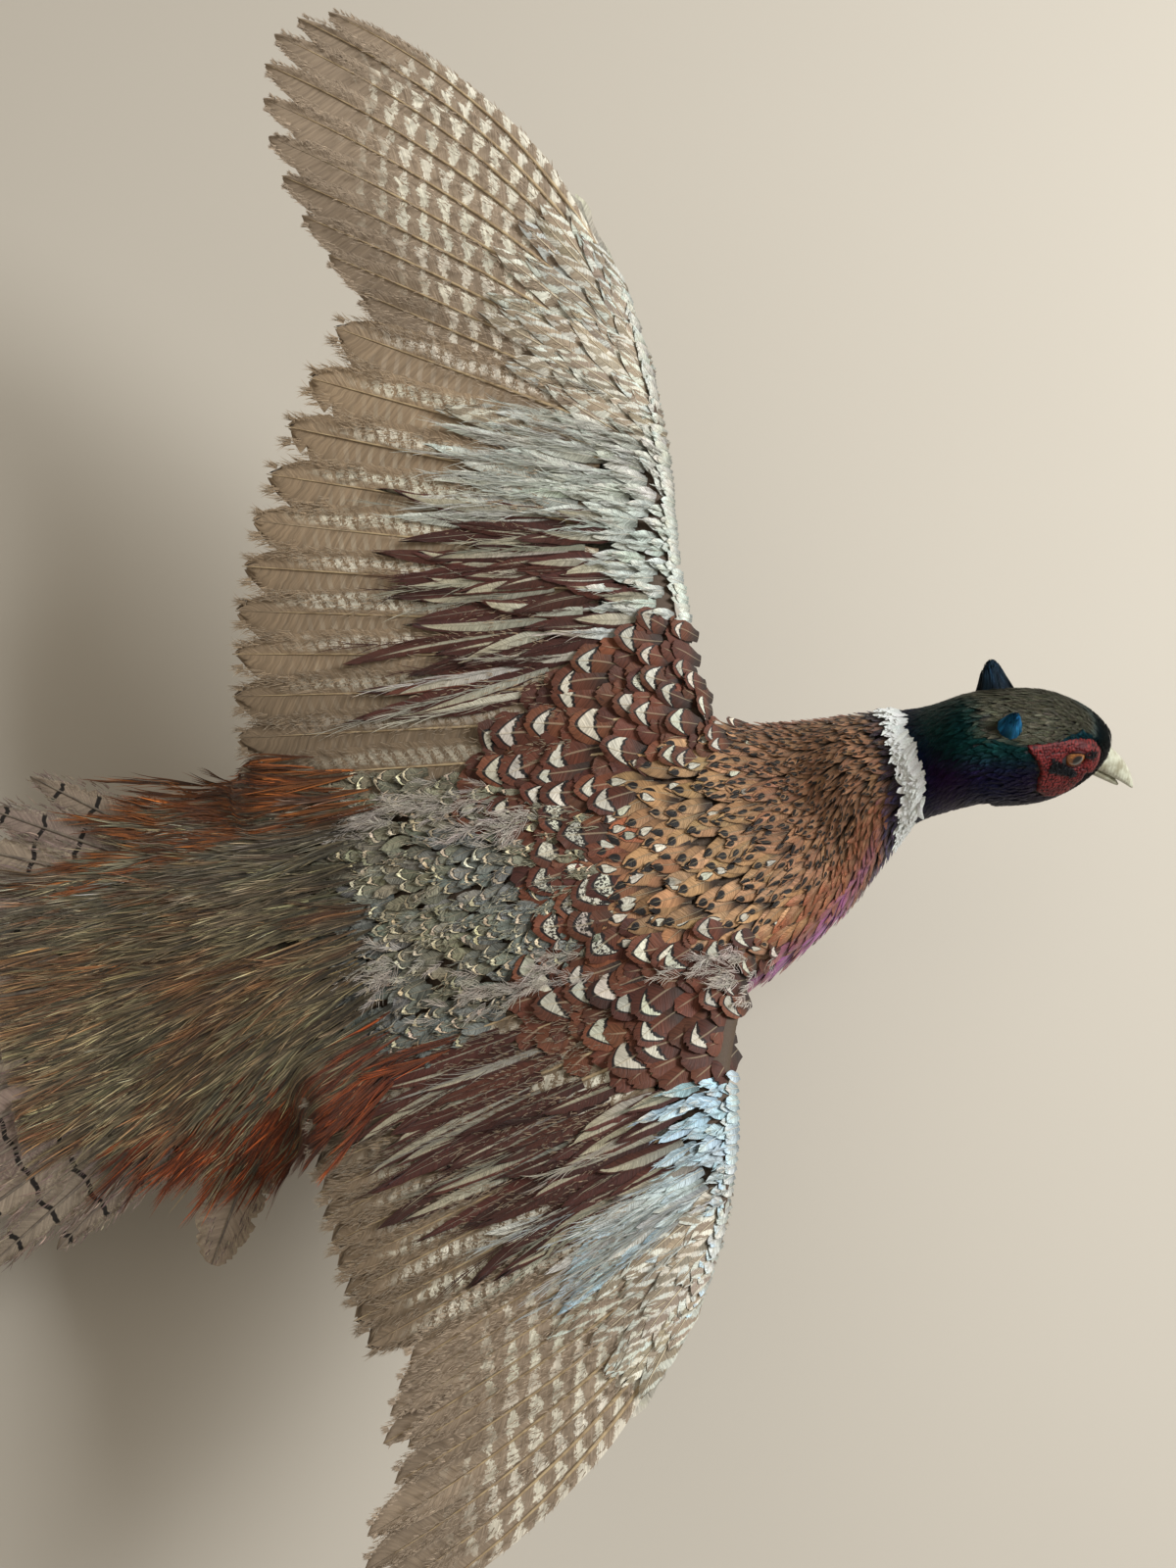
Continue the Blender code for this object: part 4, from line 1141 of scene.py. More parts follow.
@dataclass
class Skin:
    """One closed skin for trunk, neck, head, wings' flesh and thighs.

    The body's loft is drawn in by the coat's depth; tapered tubes follow each wing's
    bones and each thigh; a voxel remesh joins them without a seam.
    """

    coat: float = 0.0045
    face_coat: float = 0.0012
    voxel: float = 0.0022

    def body(self) -> Sheet:
        """Body loft, drawn in by the coat, which thins toward the face."""
        t = np.linspace(0.12, LAST - 0.05, 190)
        depth = self.coat + (self.face_coat - self.coat) * ease(t, 7.0, 9.5)
        return closed_grid(body_grid(t, np.linspace(0, TAU, 73)[:-1], depth), True)

    def tube(self, path: Array, wide: Array, high: Array, level: Array) -> Sheet:
        """Closed tube of ellipses along a path, flat across a level direction.

        Args:
            path: (m, 3) places.
            wide: (m,) half widths along the level direction.
            high: (m,) half heights.
            level: (3,) direction of the width.
        """
        along = unit(np.gradient(path, axis=0))
        up = unit(np.cross(along, level))
        flat = np.cross(up, along)
        a = np.linspace(0, TAU, 33)[:-1]
        rings = (path[:, None] + wide[:, None, None] * np.cos(a)[None, :, None] * flat[:, None]
                 + high[:, None, None] * np.sin(a)[None, :, None] * up[:, None])
        return closed_grid(rings, True)

    def build(self, wings: list["Wing"]) -> None:
        """Join all the flesh into one piece.

        Args:
            wings: both wings, which give the flesh along their bones.
        """
        parts = [self.body()]
        for wing in wings:
            parts.append(self.tube(*wing.flesh(), np.array([1.0, 0, 0])))
        for side in (1, -1):
            hip, heel = HIP * (1, side, 1), HEEL * (1, side, 1)
            f = np.linspace(0, 1, 14)
            girth = 0.016 * (1 - f) ** 0.7 + 0.0042
            parts.append(self.tube(blend(hip, heel, f), girth, girth, np.array([0, 1.0, 0])))
        x, level, wide, high = np.array(TAIL_FLESH).T
        root = np.stack([x, np.full(len(x), -0.004), level], -1)
        parts.append(self.tube(root, wide, high, np.array([0, 1.0, 0])))
        item = reduce(Sheet.joined, parts).piece("skin", SkinFinish().material())
        step = item.modifiers.new("one skin", "REMESH")
        step.mode = "VOXEL"
        step.voxel_size = self.voxel
        step.use_smooth_shade = True
        graph = bpy.context.evaluated_depsgraph_get()
        mesh = bpy.data.meshes.new_from_object(item.evaluated_get(graph))
        item.modifiers.clear()
        item.data = mesh
        ride(item, "plumage_neck", "trunk", "neck", "head", "wing_left_arm", "wing_right_arm",
             "thigh_left", "thigh_right", "tail_coverts")


# ---- horn and shafts -----------------------------------------------------------------------
@dataclass(frozen=True)
class HornFinish:
    """Finish of shafts, bill and claws: two tones clouded by slow noise, finely scratched."""

    name: str
    tone: tuple[float, float, float]
    shade: tuple[float, float, float]
    roughness: float = 0.38
    coat: float = 0.25

    def material(self) -> bpy.types.Material:
        """Build the material."""
        g = Graph(self.name)
        place = g.place()
        cloud = g.noise(place, 160.0, 3.0, 0.6)
        fine = g.noise(g.stretched(place, (900.0, 2600.0, 2600.0)),
                       1.0, 2.0, 0.6)
        colour = g.mix(g.step(cloud, 0.35, 0.68), self.tone, self.shade)
        g.bump(cloud + fine * 0.25, 0.0002)
        return g.surface(colour, self.roughness, Coat_Weight=self.coat, Specular_IOR_Level=0.5)


def outward(item: bpy.types.Object) -> bpy.types.Object:
    """Turn the faces of closed shells outwards."""
    work = bmesh.new()
    work.from_mesh(item.data)
    bmesh.ops.recalc_face_normals(work, faces=work.faces)
    work.to_mesh(item.data)
    work.free()
    return item


def shafts(surface: Surface, centre: Array, out: Array, radius: tuple[float, float], base: Array | float,
           more: float, name: str, finish: HornFinish, slot: str) -> None:
    """Shafts of long feathers: closed tubes of six sides along each centre line.

    Args:
        surface: what the feathers lie on.
        centre: (n, rows, 2) centre lines.
        out: (n, rows, 2) directions across.
        radius: metres at the root and at the tip.
        base: height of the lines over the surface.
        more: metres added to it.
        name: the piece's name.
        finish: its finish.
        slot: not used.
    """
    radii = np.linspace(*radius, centre.shape[1])[:, None]
    turn = np.linspace(0, TAU, 7)[:-1]
    place = centre[:, :, None] + out[:, :, None] * (radii * np.cos(turn))[None, :, :, None]
    height = np.asarray(base)[..., None] + radii * np.sin(turn) + more
    whole = reduce(Sheet.joined, [closed_grid(tube) for tube in surface.raised(place, height)])
    ride(outward(whole.piece(name, finish.material())), slot)


# ---- wings --------------------------------------------------------------------------------
DIHEDRAL = math.radians(16.0)
PRIMARIES, SECONDARIES = 10, 11
WING_INNER = -0.020
# metres outward and up of the point where both wings' tilted planes begin
WING_ROOT = (0.060, 0.166)
EDGE_SAG = 0.007


COVERT_KINDS = {
    "silver": (
        Vane(10, 4, 1.9, 0.80, sink=0.0012, lift=0.0026, curl=0.0003, jag=0.18, bend=0.10, stray=0.0008),
        FeatherFinish("coverts_silver", Marking.PLAIN, 0.55, 0.60, 9.0, (0.80, 0.78, 0.64), 0.06, 0.7, 0.60),
    ),
    "striped": (
        Vane(14, 6, 2.2, 0.75, 0.6, sink=0.0008, lift=0.0030, curl=0.0004, jag=0.25, bend=0.05, stray=0.0012),
        FeatherFinish("coverts_striped", Marking.STRIPE, 0.60, 0.50, 9.0, (0.46, 0.42, 0.30), 0.035, 0.5,
                      0.35),
    ),
    "barred": (
        Vane(14, 6, 2.6, 0.62, 0.7, sink=0.0012, lift=0.0026, curl=0.0002, jag=0.14, bend=0.04, stray=0.0010),
        FeatherFinish("coverts_barred", Marking.BARRED, 0.60, 0.40, 9.0, (0.58, 0.50, 0.35), 0.06, 0.9, 0.50,
                      period=0.0125, plain_from=1.3),
    ),
}


@dataclass
class Wing:
    """One wing: long feathers from the solids' own layout, coverts in rows over them.

    Places on the wing are metres forward and outward in its tilted plane.

    Args:
        word: left or right.
        side: 1 left, -1 right.
        shoulder, wrist, digit: joints of the leading edge.
        hand_bow: outward bow of the outermost primary, as a share of its length.
        sweep: degrees from straight back of the innermost primary, and for each next.
        longest: length of the longest primary.
        shortening: loss at the innermost, peak feather, exponent.
        trailing: tip line of the secondaries: base, gain, span, exponent.
        tip_spans: span of the first secondary's tip, and spacing.
        worn: metres that single primaries are shorter.
        silver: colour of the lesser coverts.
        span: how far out the fields of heights go.
        silver_to: share of the leading edge from which the coverts are barred.
        cover: share of the chord under the coverts, beside the body and farther out.
        lean: radians by which the inner coverts turn toward the body.
        shade: painted shade, a factor on the brightness of the stripes and of the secondaries, low on the
            right wing, which lies in shade.
        striped: share of the edge up to which coverts are striped, row share from which
            they are, and share of pale ones among them.
    """

    word: str
    side: int
    shoulder: tuple[float, float]
    wrist: tuple[float, float]
    digit: tuple[float, float]
    hand_bow: float
    sweep: tuple[float, float]
    longest: float
    shortening: tuple[float, float, float]
    trailing: tuple[float, float, float, float]
    tip_spans: tuple[float, float]
    worn: tuple[tuple[int, float], ...]
    silver: Array
    span: float
    silver_to: float
    striped: tuple[float, float, float]
    cover: tuple[float, float]
    lean: float
    shade: float

    def __post_init__(self) -> None:
        """Lay out the columns, from the innermost secondary to the outermost primary."""
        origin = np.array([0, self.side * WING_ROOT[0], WING_ROOT[1]])
        across = np.array([0, self.side * math.cos(DIHEDRAL), math.sin(DIHEDRAL)])
        up = np.array([0, -self.side * math.sin(DIHEDRAL), math.cos(DIHEDRAL)])
        nodes = (f"wing_{self.word}_arm", f"wing_{self.word}_hand")
        low, high = (-0.180, -0.040), (0.150, self.span)
        self.top = height_field(nodes, origin, across, up, low, high)
        self.under = height_field(nodes, origin, across, up, low, high, under=True)
        fronts, tips, bows = [], [], []
        inner = np.array([self.shoulder[0] - 0.004, WING_INNER])
        wrist, digit = np.array(self.wrist), np.array(self.digit)
        base, gain, span, power = self.trailing
        for number in range(SECONDARIES, 0, -1):
            f = (1 + 2 * (SECONDARIES - number)) / (2 * SECONDARIES)
            reach = f ** 0.95
            front = inner + (wrist - inner) * reach
            front[0] -= EDGE_SAG * math.sin(math.pi * min(reach * 1.1, 1.0))
            s = self.tip_spans[0] - self.tip_spans[1] * (number - 1)
            fronts.append(front)
            tips.append((base + gain * max(s / span, 0.0) ** power, s))
            bows.append(0.0)
        loss, peak, power = self.shortening
        for number in range(1, PRIMARIES + 1):
            f = (3 * number - 1) / (3 * PRIMARIES - 1)
            front = wrist + (digit - wrist) * f
            front[0] += 0.003 * math.sin(math.pi * f)
            length = self.longest - loss * (abs(peak - number) / (peak - 1)) ** power
            length -= dict(self.worn).get(number, 0.0)
            a = math.radians(self.sweep[0] + self.sweep[1] * (number - 1))
            fronts.append(front)
            tips.append((wrist[0] - length * math.cos(a), wrist[1] + length * math.sin(a)))
            bows.append(self.hand_bow * f ** 1.3)
        self.fronts, self.tips, self.bows = np.array(fronts), np.array(tips), np.array(bows)
        near = self.column(np.arange(len(fronts), dtype=float), np.full(len(fronts), 0.10))[0]
        reach = np.concatenate([[0.0], np.cumsum(np.linalg.norm(np.diff(near, axis=0), axis=1))])
        self.reach = reach / reach[-1]
        self.edge_length = float(reach[-1])

    def column(self, index: Array, share: Array) -> tuple[Array, Array]:
        """Place and direction along a column between two long feathers.

        The column runs straight from the leading edge to the tip, pushed outwards by
        bow times its length times 2 v (1 - v).

        Args:
            index: feather numbers from the innermost, with fractions.
            share: 0 at the leading edge to 1 at the tip.

        Returns:
            (..., 2) places and (..., 2) unit directions toward the tip.
        """
        numbers = np.arange(len(self.fronts))
        front = np.stack([np.interp(index, numbers, self.fronts[:, k]) for k in (0, 1)], -1)
        tip = np.stack([np.interp(index, numbers, self.tips[:, k]) for k in (0, 1)], -1)
        bow = np.interp(index, numbers, self.bows)
        way = tip - front
        reach = np.linalg.norm(way, axis=-1)
        out = np.stack([way[..., 1], -way[..., 0]], -1) / reach[..., None]
        push = bow * reach * 2 * share * (1 - share)
        slope = bow * reach * 2 * (1 - 2 * share)
        place = front + way * share[..., None] + out * push[..., None]
        return place, unit(way + out * slope[..., None])

    def flesh(self) -> tuple[Array, Array, Array]:
        """Path, half widths and half heights of the flesh from the shoulder to the digit."""
        index = np.concatenate([np.linspace(0, SECONDARIES - 1, 24), np.linspace(SECONDARIES, 19.5, 16)])
        f = np.linspace(0, 1, len(index))
        depth = 0.125 - 0.075 * f
        at = self.column(index, depth)[0]
        top, low = self.top.sample(self.top.points, at), self.under.sample(self.under.points, at)
        high = np.maximum(np.linalg.norm(top - low, axis=-1) / 2 - 0.0028, 0.0016)
        return (top + low) / 2, 0.0195 - 0.0172 * f, high

    def long_feathers(self) -> None:
        """Primaries and secondaries, each bent along its column, with their shafts."""
        draw = np.random.default_rng(11 + self.side)
        n = len(self.fronts)
        number = np.arange(n, dtype=float)
        hand = ease(number, SECONDARIES - 1.5, SECONDARIES + 0.5)
        rows, cols = 64, 14
        v, u = vane_steps(rows, cols)
        start = (0.20 - 0.06 * hand)[:, None]
        share = start + (1 - start) * v[:, :, 0]
        centre, way = self.column(np.broadcast_to(number[:, None], share.shape), share)
        out = np.stack([way[..., 1], -way[..., 0]], -1)
        lead = blend([0.0125], [0.0092], hand)[:, 0]
        trail = blend([0.0215], [0.0200], hand)[:, 0]
        outermost = ease(number, n - 4.0, n - 0.5)
        lead = lead * (1 - 0.45 * outermost)
        trail = trail * (1 - 0.20 * outermost)
        half = np.where(u > 0, lead[:, None, None], trail[:, None, None])
        taper = blend([8.5], [3.6], hand)[:, 0][:, None, None]
        outline = (0.35 + 0.65 * ease(v, 0.0, 0.30)) * (1 - (0.998 * v) ** taper) ** 0.62
        comb = draw.random((n, rows + 1, 1)) ** 3 * (0.04 + 0.10 * (1 - hand[:, None, None]) * v)
        comb = comb * ease(np.abs(u), 0.35, 1.0)
        split = self.splits(draw, n, v, u) * (1 - 0.55 * hand[:, None, None])
        across = u * half * outline * (1 - comb) * (1 - split)
        fray = (1 - hand[:, None, None]) * draw.random((n, 1, cols + 1)) * 0.0030
        fray = fray + draw.random((n, 1, cols + 1)) * 0.0008
        back = -fray * v**6
        place = centre[:, :, None] + out[:, :, None] * across[..., None] + way[:, :, None] * back[..., None]
        tilt = 0.055 * u * half - 0.0005 * np.abs(u) ** 2
        stray = draw.normal(0, 0.0006, (n, 1, 1)) * v**2
        height = -0.0012 + tilt + stray + 0.0012 * v**4 * draw.random((n, 1, 1))
        points = self.top.raised(place, height)
        vane = vane_map(n, v, u)
        bake = strip_map(vane, 0.80)
        length = np.linalg.norm(self.tips - self.fronts, axis=1) * (1 - start[:, 0])
        # self.shade paints shade on the right wing's secondaries
        arm = blend(VANE_BROWN * 0.72, VANE_BROWN, ease(number, 1.5, 5.0)) * self.shade
        tint = blend(arm, QUILL_BROWN * 1.12, hand)
        spots = Spots(number[:, None], number, length, lead + trail,
                      tint * np.exp(draw.normal(0, 0.07, (n, 1))), varied(CREAM, n, draw, 0.05),
                      (0.80 + 0.20 * draw.random(n)) * (0.35 + 0.65 * ease(number, 1.0, 5.0)))
        sheet = feather_sheet(points, vane, bake, spots, draw.random(n), -self.top.facing)
        inner = np.repeat(number < SECONDARIES, rows * cols)
        secondaries = FeatherFinish("vane_streaked", Marking.STREAKED, 0.66, 0.32, 10.0,
                                    (0.50, 0.40, 0.26), 0.022, 0.7, 0.15)
        primaries = FeatherFinish("vane_barred", Marking.BARRED, 0.58, 0.26, 10.0,
                                  (0.48, 0.38, 0.23), 0.024, 0.7, 0.10)
        for name, mask, finish in (("secondaries", inner, secondaries), ("primaries", ~inner, primaries)):
            piece = Sheet(sheet.points, sheet.faces[mask], sheet.maps, sheet.marks).trimmed()
            item = piece.piece(f"{name}_{self.word}", finish.material())
            ride(item, "plumage_wing", *((f"wing_{self.word}_hand",) if name == "primaries" else ()))
        quill = HornFinish("quill", (0.46, 0.36, 0.21), (0.28, 0.20, 0.115))
        shafts(self.top, centre, out, (0.0010, 0.00020), -0.0009, 0.0, f"quills_{self.word}", quill,
               "plumage_wing")
        self.fringe(centre, way, out, (across[..., 0], across[..., -1]), hand, spots)

    def fringe(self, centre: Array, way: Array, out: Array, edges: tuple[Array, Array], hand: Array,
               spots: Spots) -> None:
        """Loose barbs along the edges and tips of the long feathers.

        Args:
            centre: (n, rows, 2) centre lines.
            way: (n, rows, 2) directions along them.
            out: (n, rows, 2) directions across.
            edges: distance of the trailing and leading edges from the centre lines.
            hand: (n,) 0 for secondaries, 1 for primaries.
            spots: the long feathers' colours.
        """
        draw = np.random.default_rng(111 + self.side)
        n, rows = centre.shape[:2]
        per = 420
        pick = np.repeat(np.arange(n), per)
        m = n * per
        along = np.clip(1 - draw.random(m) ** 1.5 * 0.85, 0.0, 0.965)
        row = np.minimum((along * rows).astype(int), rows - 1)
        lead = draw.random(m) < 0.38
        edge = np.where(lead, edges[1][pick, row], edges[0][pick, row])
        root = centre[pick, row] + out[pick, row] * (edge * draw.uniform(0.55, 0.97, m))[:, None]
        heading = np.arctan2(way[pick, row, 1], way[pick, row, 0])
        turn = np.arctan2(out[pick, row, 1], out[pick, row, 0]) - heading
        turn = np.sign(np.sin(turn)) * np.where(lead, 1.0, -1.0)
        tilt = draw.uniform(0.15, 0.45, m) * (1 - 0.30 * along)
        soft = 1 - hand[pick]
        length = 0.0022 + 0.0014 * draw.random(m) + soft * draw.uniform(0.001, 0.0055, m) * along**2
        loose = Spots(root, heading + turn * tilt, length, 0.00032 + 0.0002 * draw.random(m),
                      np.clip(spots.tint[pick] * np.exp(draw.normal(0.20, 0.18, (m, 1))), 0, 1),
                      np.clip(blend(spots.tint[pick] * 1.25, BUFF, soft * 0.45 * draw.random(m)), 0, 1),
                      draw.random(m), -turn * tilt * 0.4 * draw.random(m))
        loosened = barb(-0.0004, 0.0010, 0.22, 0.0012)
        finish = barb_finish("vane_fringe", 0.62, 0.15, 0.1)
        loosened.coat(self.top, loose, 113 + self.side, f"fringe_{self.word}", finish, "plumage_wing")

    @staticmethod
    def splits(draw: np.random.Generator, n: int, v: Array, u: Array) -> Array:
        """Gaps where barbs have come apart: narrow notches in the trailing vane.

        Each is a bell along the vane, from the edge in to a depth of its own.
        """
        total = 0.0
        for _ in range(5):
            at = draw.uniform(0.35, 0.97, (n, 1, 1))
            deep = draw.uniform(0.15, 0.75, (n, 1, 1))
            thin = draw.uniform(0.004, 0.012, (n, 1, 1))
            total = total + np.exp(-((v - at) / thin) ** 2) * ease(-u, 1.02 - deep, 1.0) * deep * 0.6
        return np.clip(total, 0, 0.8)

    def rows_of_roots(self, rows: int, gap: tuple[float, float], wander: float,
                      draw: np.random.Generator) -> tuple[Array, Array]:
        """Staggered roots in rows along the wing.

        Args:
            rows: how many.
            gap: metres between neighbours in the first row, and what the last one adds.
            wander: random shift of single roots, as a share of the rows' whole depth.
            draw: random numbers.

        Returns:
            Shares along the leading edge, and from the first row to the last.
        """
        where, row = [], []
        for k in range(rows):
            f = k / (rows - 1)
            count = int(self.edge_length / (gap[0] + gap[1] * f))
            where.append((np.arange(count) + 0.5 * (k % 2) + draw.normal(0, 0.2, count)) / count)
            row.append(np.full(count, f) + (draw.normal(0, wander, count) if wander else 0.0))
        return np.clip(np.concatenate(where), 0, 1), np.clip(np.concatenate(row), 0, 1)

    def covert_places(self, where: Array, row: Array, share: Array, stripe: Array, barred: Array,
                      draw: np.random.Generator) -> tuple[Array, Array, Array, Array]:
        """Roots and sizes of the upper coverts, whose tips stay over the covered part.

        Args:
            where: share along the leading edge.
            row: share from the first row to the last.
            share: the same, jittered.
            stripe: which are striped.
            barred: which are barred; the rest are silver.
            draw: random numbers.

        Returns:
            Places, headings, lengths and widths.
        """
        index = np.interp(where, self.reach, np.arange(len(self.reach)))
        depth = np.interp(where, (0.0, 0.35, 0.6, 0.8, 1.0), (*self.cover, 0.50, 0.36, 0.20))
        column = np.linalg.norm(self.tips - self.fronts, axis=1)
        chord = np.interp(index, np.arange(len(column)), column)
        barred_gain = 0.066 * (1 - 0.40 * ease(where, 0.75, 1.0))
        longest = np.where(stripe, 0.078, np.where(barred, barred_gain, 0.052))
        length = 0.0095 + longest * row ** np.where(barred, 0.8, 1.25)
        start = np.minimum(np.maximum(depth * share - length * 0.62 / chord, 0.001), depth)
        place, way = self.column(index, start)
        turned = np.where(stripe, self.lean, np.where(barred, 0.0, self.lean * 0.6))
        heading = np.arctan2(way[:, 1], way[:, 0]) + turned * ease(row, 0.15, 0.5)
        width = np.where(stripe, 0.0102, np.where(barred, 0.0078 + 0.0058 * row, 0.0070 + 0.0036 * row))
        return place, heading + draw.normal(0, 0.05, len(row)), length, width

    def covert_tints(self, where: Array, row: Array, stripe: Array, barred: Array,
                     draw: np.random.Generator) -> tuple[Array, Array, Array]:
        """Colours of the upper coverts: silver, brown with cream bars, or maroon with pale lances.

        Args:
            where: share along the leading edge.
            row: share from the first row to the last.
            stripe: which are striped.
            barred: which are barred.
            draw: random numbers.

        Returns:
            Main colours, second colours and strengths of the marking.
        """
        n = len(row)
        base = blend(self.silver, BUFF, 0.3 * ease(row, 0.16, 0.0) + 0.6 * ease(row, 0.3, 0.9))
        base = blend(base, BUFF * 0.80, ease(where, self.silver_to - 0.25, self.silver_to) * 0.8)
        tint = varied(base * 0.90, n, draw, 0.12)
        edge = varied(blend(BUFF * 0.95, self.silver, draw.random(n)), n, draw, 0.10)
        brown = blend(VANE_BROWN, QUILL_BROWN, draw.random(n)) * (1.0, 1.08, 1.16)
        tint[barred] = varied(brown, n, draw, 0.12)[barred]
        bars = blend(CREAM * 0.86, SILVER * 0.95, draw.random(n))
        edge[barred] = varied(bars, n, draw, 0.08)[barred]
        tint[stripe] = varied(MAROON, n, draw, 0.25)[stripe]
        lances = blend(rgb(0.30, 0.30, 0.215), BUFF * 0.80, draw.random(n))
        # self.shade paints shade on the right wing's pale lances
        edge[stripe] = varied(lances, n, draw, 0.14)[stripe] * self.shade
        pale = draw.random(n) < self.striped[2]
        lance = np.where(pale, draw.uniform(0.45, 0.80, n), draw.uniform(-0.15, 0.12, n))
        return tint, edge, np.where(stripe, lance, np.where(barred, draw.uniform(0.6, 1.0, n), 1.0))

    def coverts(self) -> None:
        """Rows of coverts over the upper side, sorted into silver, striped and barred.

        The rows reach back over the cover's share of the chord beside the body and a
        fifth of it at the tip; feathers grow longer and wider from row to row.
        """
        draw = np.random.default_rng(31 + self.side)
        where, row = self.rows_of_roots(17, (0.0046, 0.0030), 0.0, draw)
        n = len(row)
        share = np.clip(row + draw.normal(0, 0.015, n), 0, 1)
        flank = where + draw.normal(0, 0.030, n)
        stripe = (flank < self.striped[0]) & (row + draw.normal(0, 0.07, n) > self.striped[1])
        barred = ~stripe & (flank > self.silver_to - 0.06 * row) & (row > 0.12)
        sizes = self.covert_places(where, row, share, stripe, barred, draw)
        tints = self.covert_tints(where, row, stripe, barred, draw)
        spots = Spots(*sizes, *tints, draw.normal(0, 0.05, n))
        x, y = self.top.sample(self.top.points, spots.root)[:, :2].T
        zone = LEFT_SCAPULARS if self.side > 0 else RIGHT_SCAPULARS
        kept_share = np.where(stripe, 0.46, np.where(barred, 0.40, 0.85))
        clear = ~Back.inside(np.stack([x, y], -1), zone) & (draw.random(n) < kept_share)
        clear &= ((x < 0.118) | (where > 0.12)) & ((x < 0.066) | (np.abs(y) > 0.082))
        spots, stripe, barred, row = spots.kept(clear), stripe[clear], barred[clear], row[clear]
        silver = ~stripe & ~barred
        for word, mask in (("silver", silver), ("striped", stripe), ("barred", barred)):
            vane, finish = COVERT_KINDS[word]
            vane.coat(self.top, spots.kept(mask), 41 + self.side, f"coverts_{word}_{self.word}", finish,
                      "plumage_wing")
        softened = (silver & (row > 0.10)) | (stripe & (draw.random(len(row)) < 0.5))
        self.soft_coverts(spots.kept(softened), draw)

    def soft_coverts(self, soft: Spots, draw: np.random.Generator) -> None:
        """Loose barbs of some coverts; beside pale lances they are pale, beside dark ones dark.

        Args:
            soft: the silver coverts and some of the striped ones.
            draw: random numbers.
        """
        lances = soft.amount < 0.9
        pale = lances & (soft.amount > 0.3)
        soft.tint[pale], soft.edge[lances & ~pale] = soft.edge[pale], soft.tint[lances & ~pale]
        loose = soft.barbs(self.top, draw, 16, 0.22, 0.34, 0.00042, lift=0.0030, start=0.30)
        barb(-0.0002, 0.0012, 0.12, 0.0010).coat(
            self.top, loose, 43 + self.side, f"coverts_soft_{self.word}",
            barb_finish("coverts_soft", 0.58, 0.2, 0.25), "plumage_wing")

    def under_coverts(self) -> None:
        """Pale coverts over the wing's underside."""
        draw = np.random.default_rng(51 + self.side)
        where, row = self.rows_of_roots(13, (0.0055, 0.006), 0.02, draw)
        index = np.interp(where, self.reach, np.arange(len(self.reach)))
        depth = 0.42 - 0.24 * ease(where, 0.4, 1.0)
        place, way = self.column(index, 0.035 + depth * row * 0.85)
        inside = self.under.covered(place)
        place, way, row = place[inside], way[inside], row[inside]
        n = len(row)
        length = 0.011 + 0.024 * row
        heading = np.arctan2(way[:, 1], way[:, 0]) + draw.normal(0, 0.08, n)
        tint = varied(blend(BUFF, DOWN_GREY, 0.5 * row), n, draw, 0.12)
        spots = Spots(place, heading, length, length * 0.6, tint, varied(CREAM, n, draw, 0.1), draw.random(n))
        vane = Vane(6, 4, 3.2, 0.55, sink=0.0010, lift=0.0020, jag=0.2, stray=0.0006)
        finish = FeatherFinish("coverts_under", Marking.PLAIN, 0.7, 0.3, 7.0, root_shade=0.25)
        vane.coat(self.under, spots, 61 + self.side, f"coverts_under_{self.word}", finish, "plumage_wing")


WINGS = (
    dict(word="left", side=1, shoulder=(0.125, 0.0), wrist=(0.117, 0.135), digit=(0.111, 0.203),
         hand_bow=0.165, sweep=(37.5, 2.85), longest=0.262, shortening=(0.102, 8.3, 1.6),
         trailing=(-0.119, 0.093, 0.220, 2.2),
         tip_spans=(0.220, 0.0200), worn=(), silver=SILVER, span=0.400, silver_to=0.66,
         striped=(0.46, 0.36, 0.56), cover=(0.66, 0.62), lean=0.16, shade=1.0),
    # the right wing's shade of 0.72 is painted shade: it darkens its secondaries and pale lances
    dict(word="right", side=-1, shoulder=(0.125, 0.0), wrist=(0.0755, 0.089), digit=(0.046, 0.141),
         hand_bow=0.150, sweep=(18.5, 2.35), longest=0.240, shortening=(0.075, 9.5, 0.9),
         trailing=(-0.1145, 0.020, 0.140, 3.0), tip_spans=(0.130, 0.0120), worn=((5, 0.016), (6, 0.012)),
         silver=SILVER_BLUE, span=0.270, silver_to=0.72,
         striped=(0.60, 0.30, 0.46), cover=(0.82, 0.74), lean=-0.03, shade=0.72),
)


# ---- tail -----------------------------------------------------------------------------------
TAIL_ROOT = (-0.112, -0.004, 0.137)
TAIL_TURN = -2.0
TAIL_ROOT_HALF = 0.030


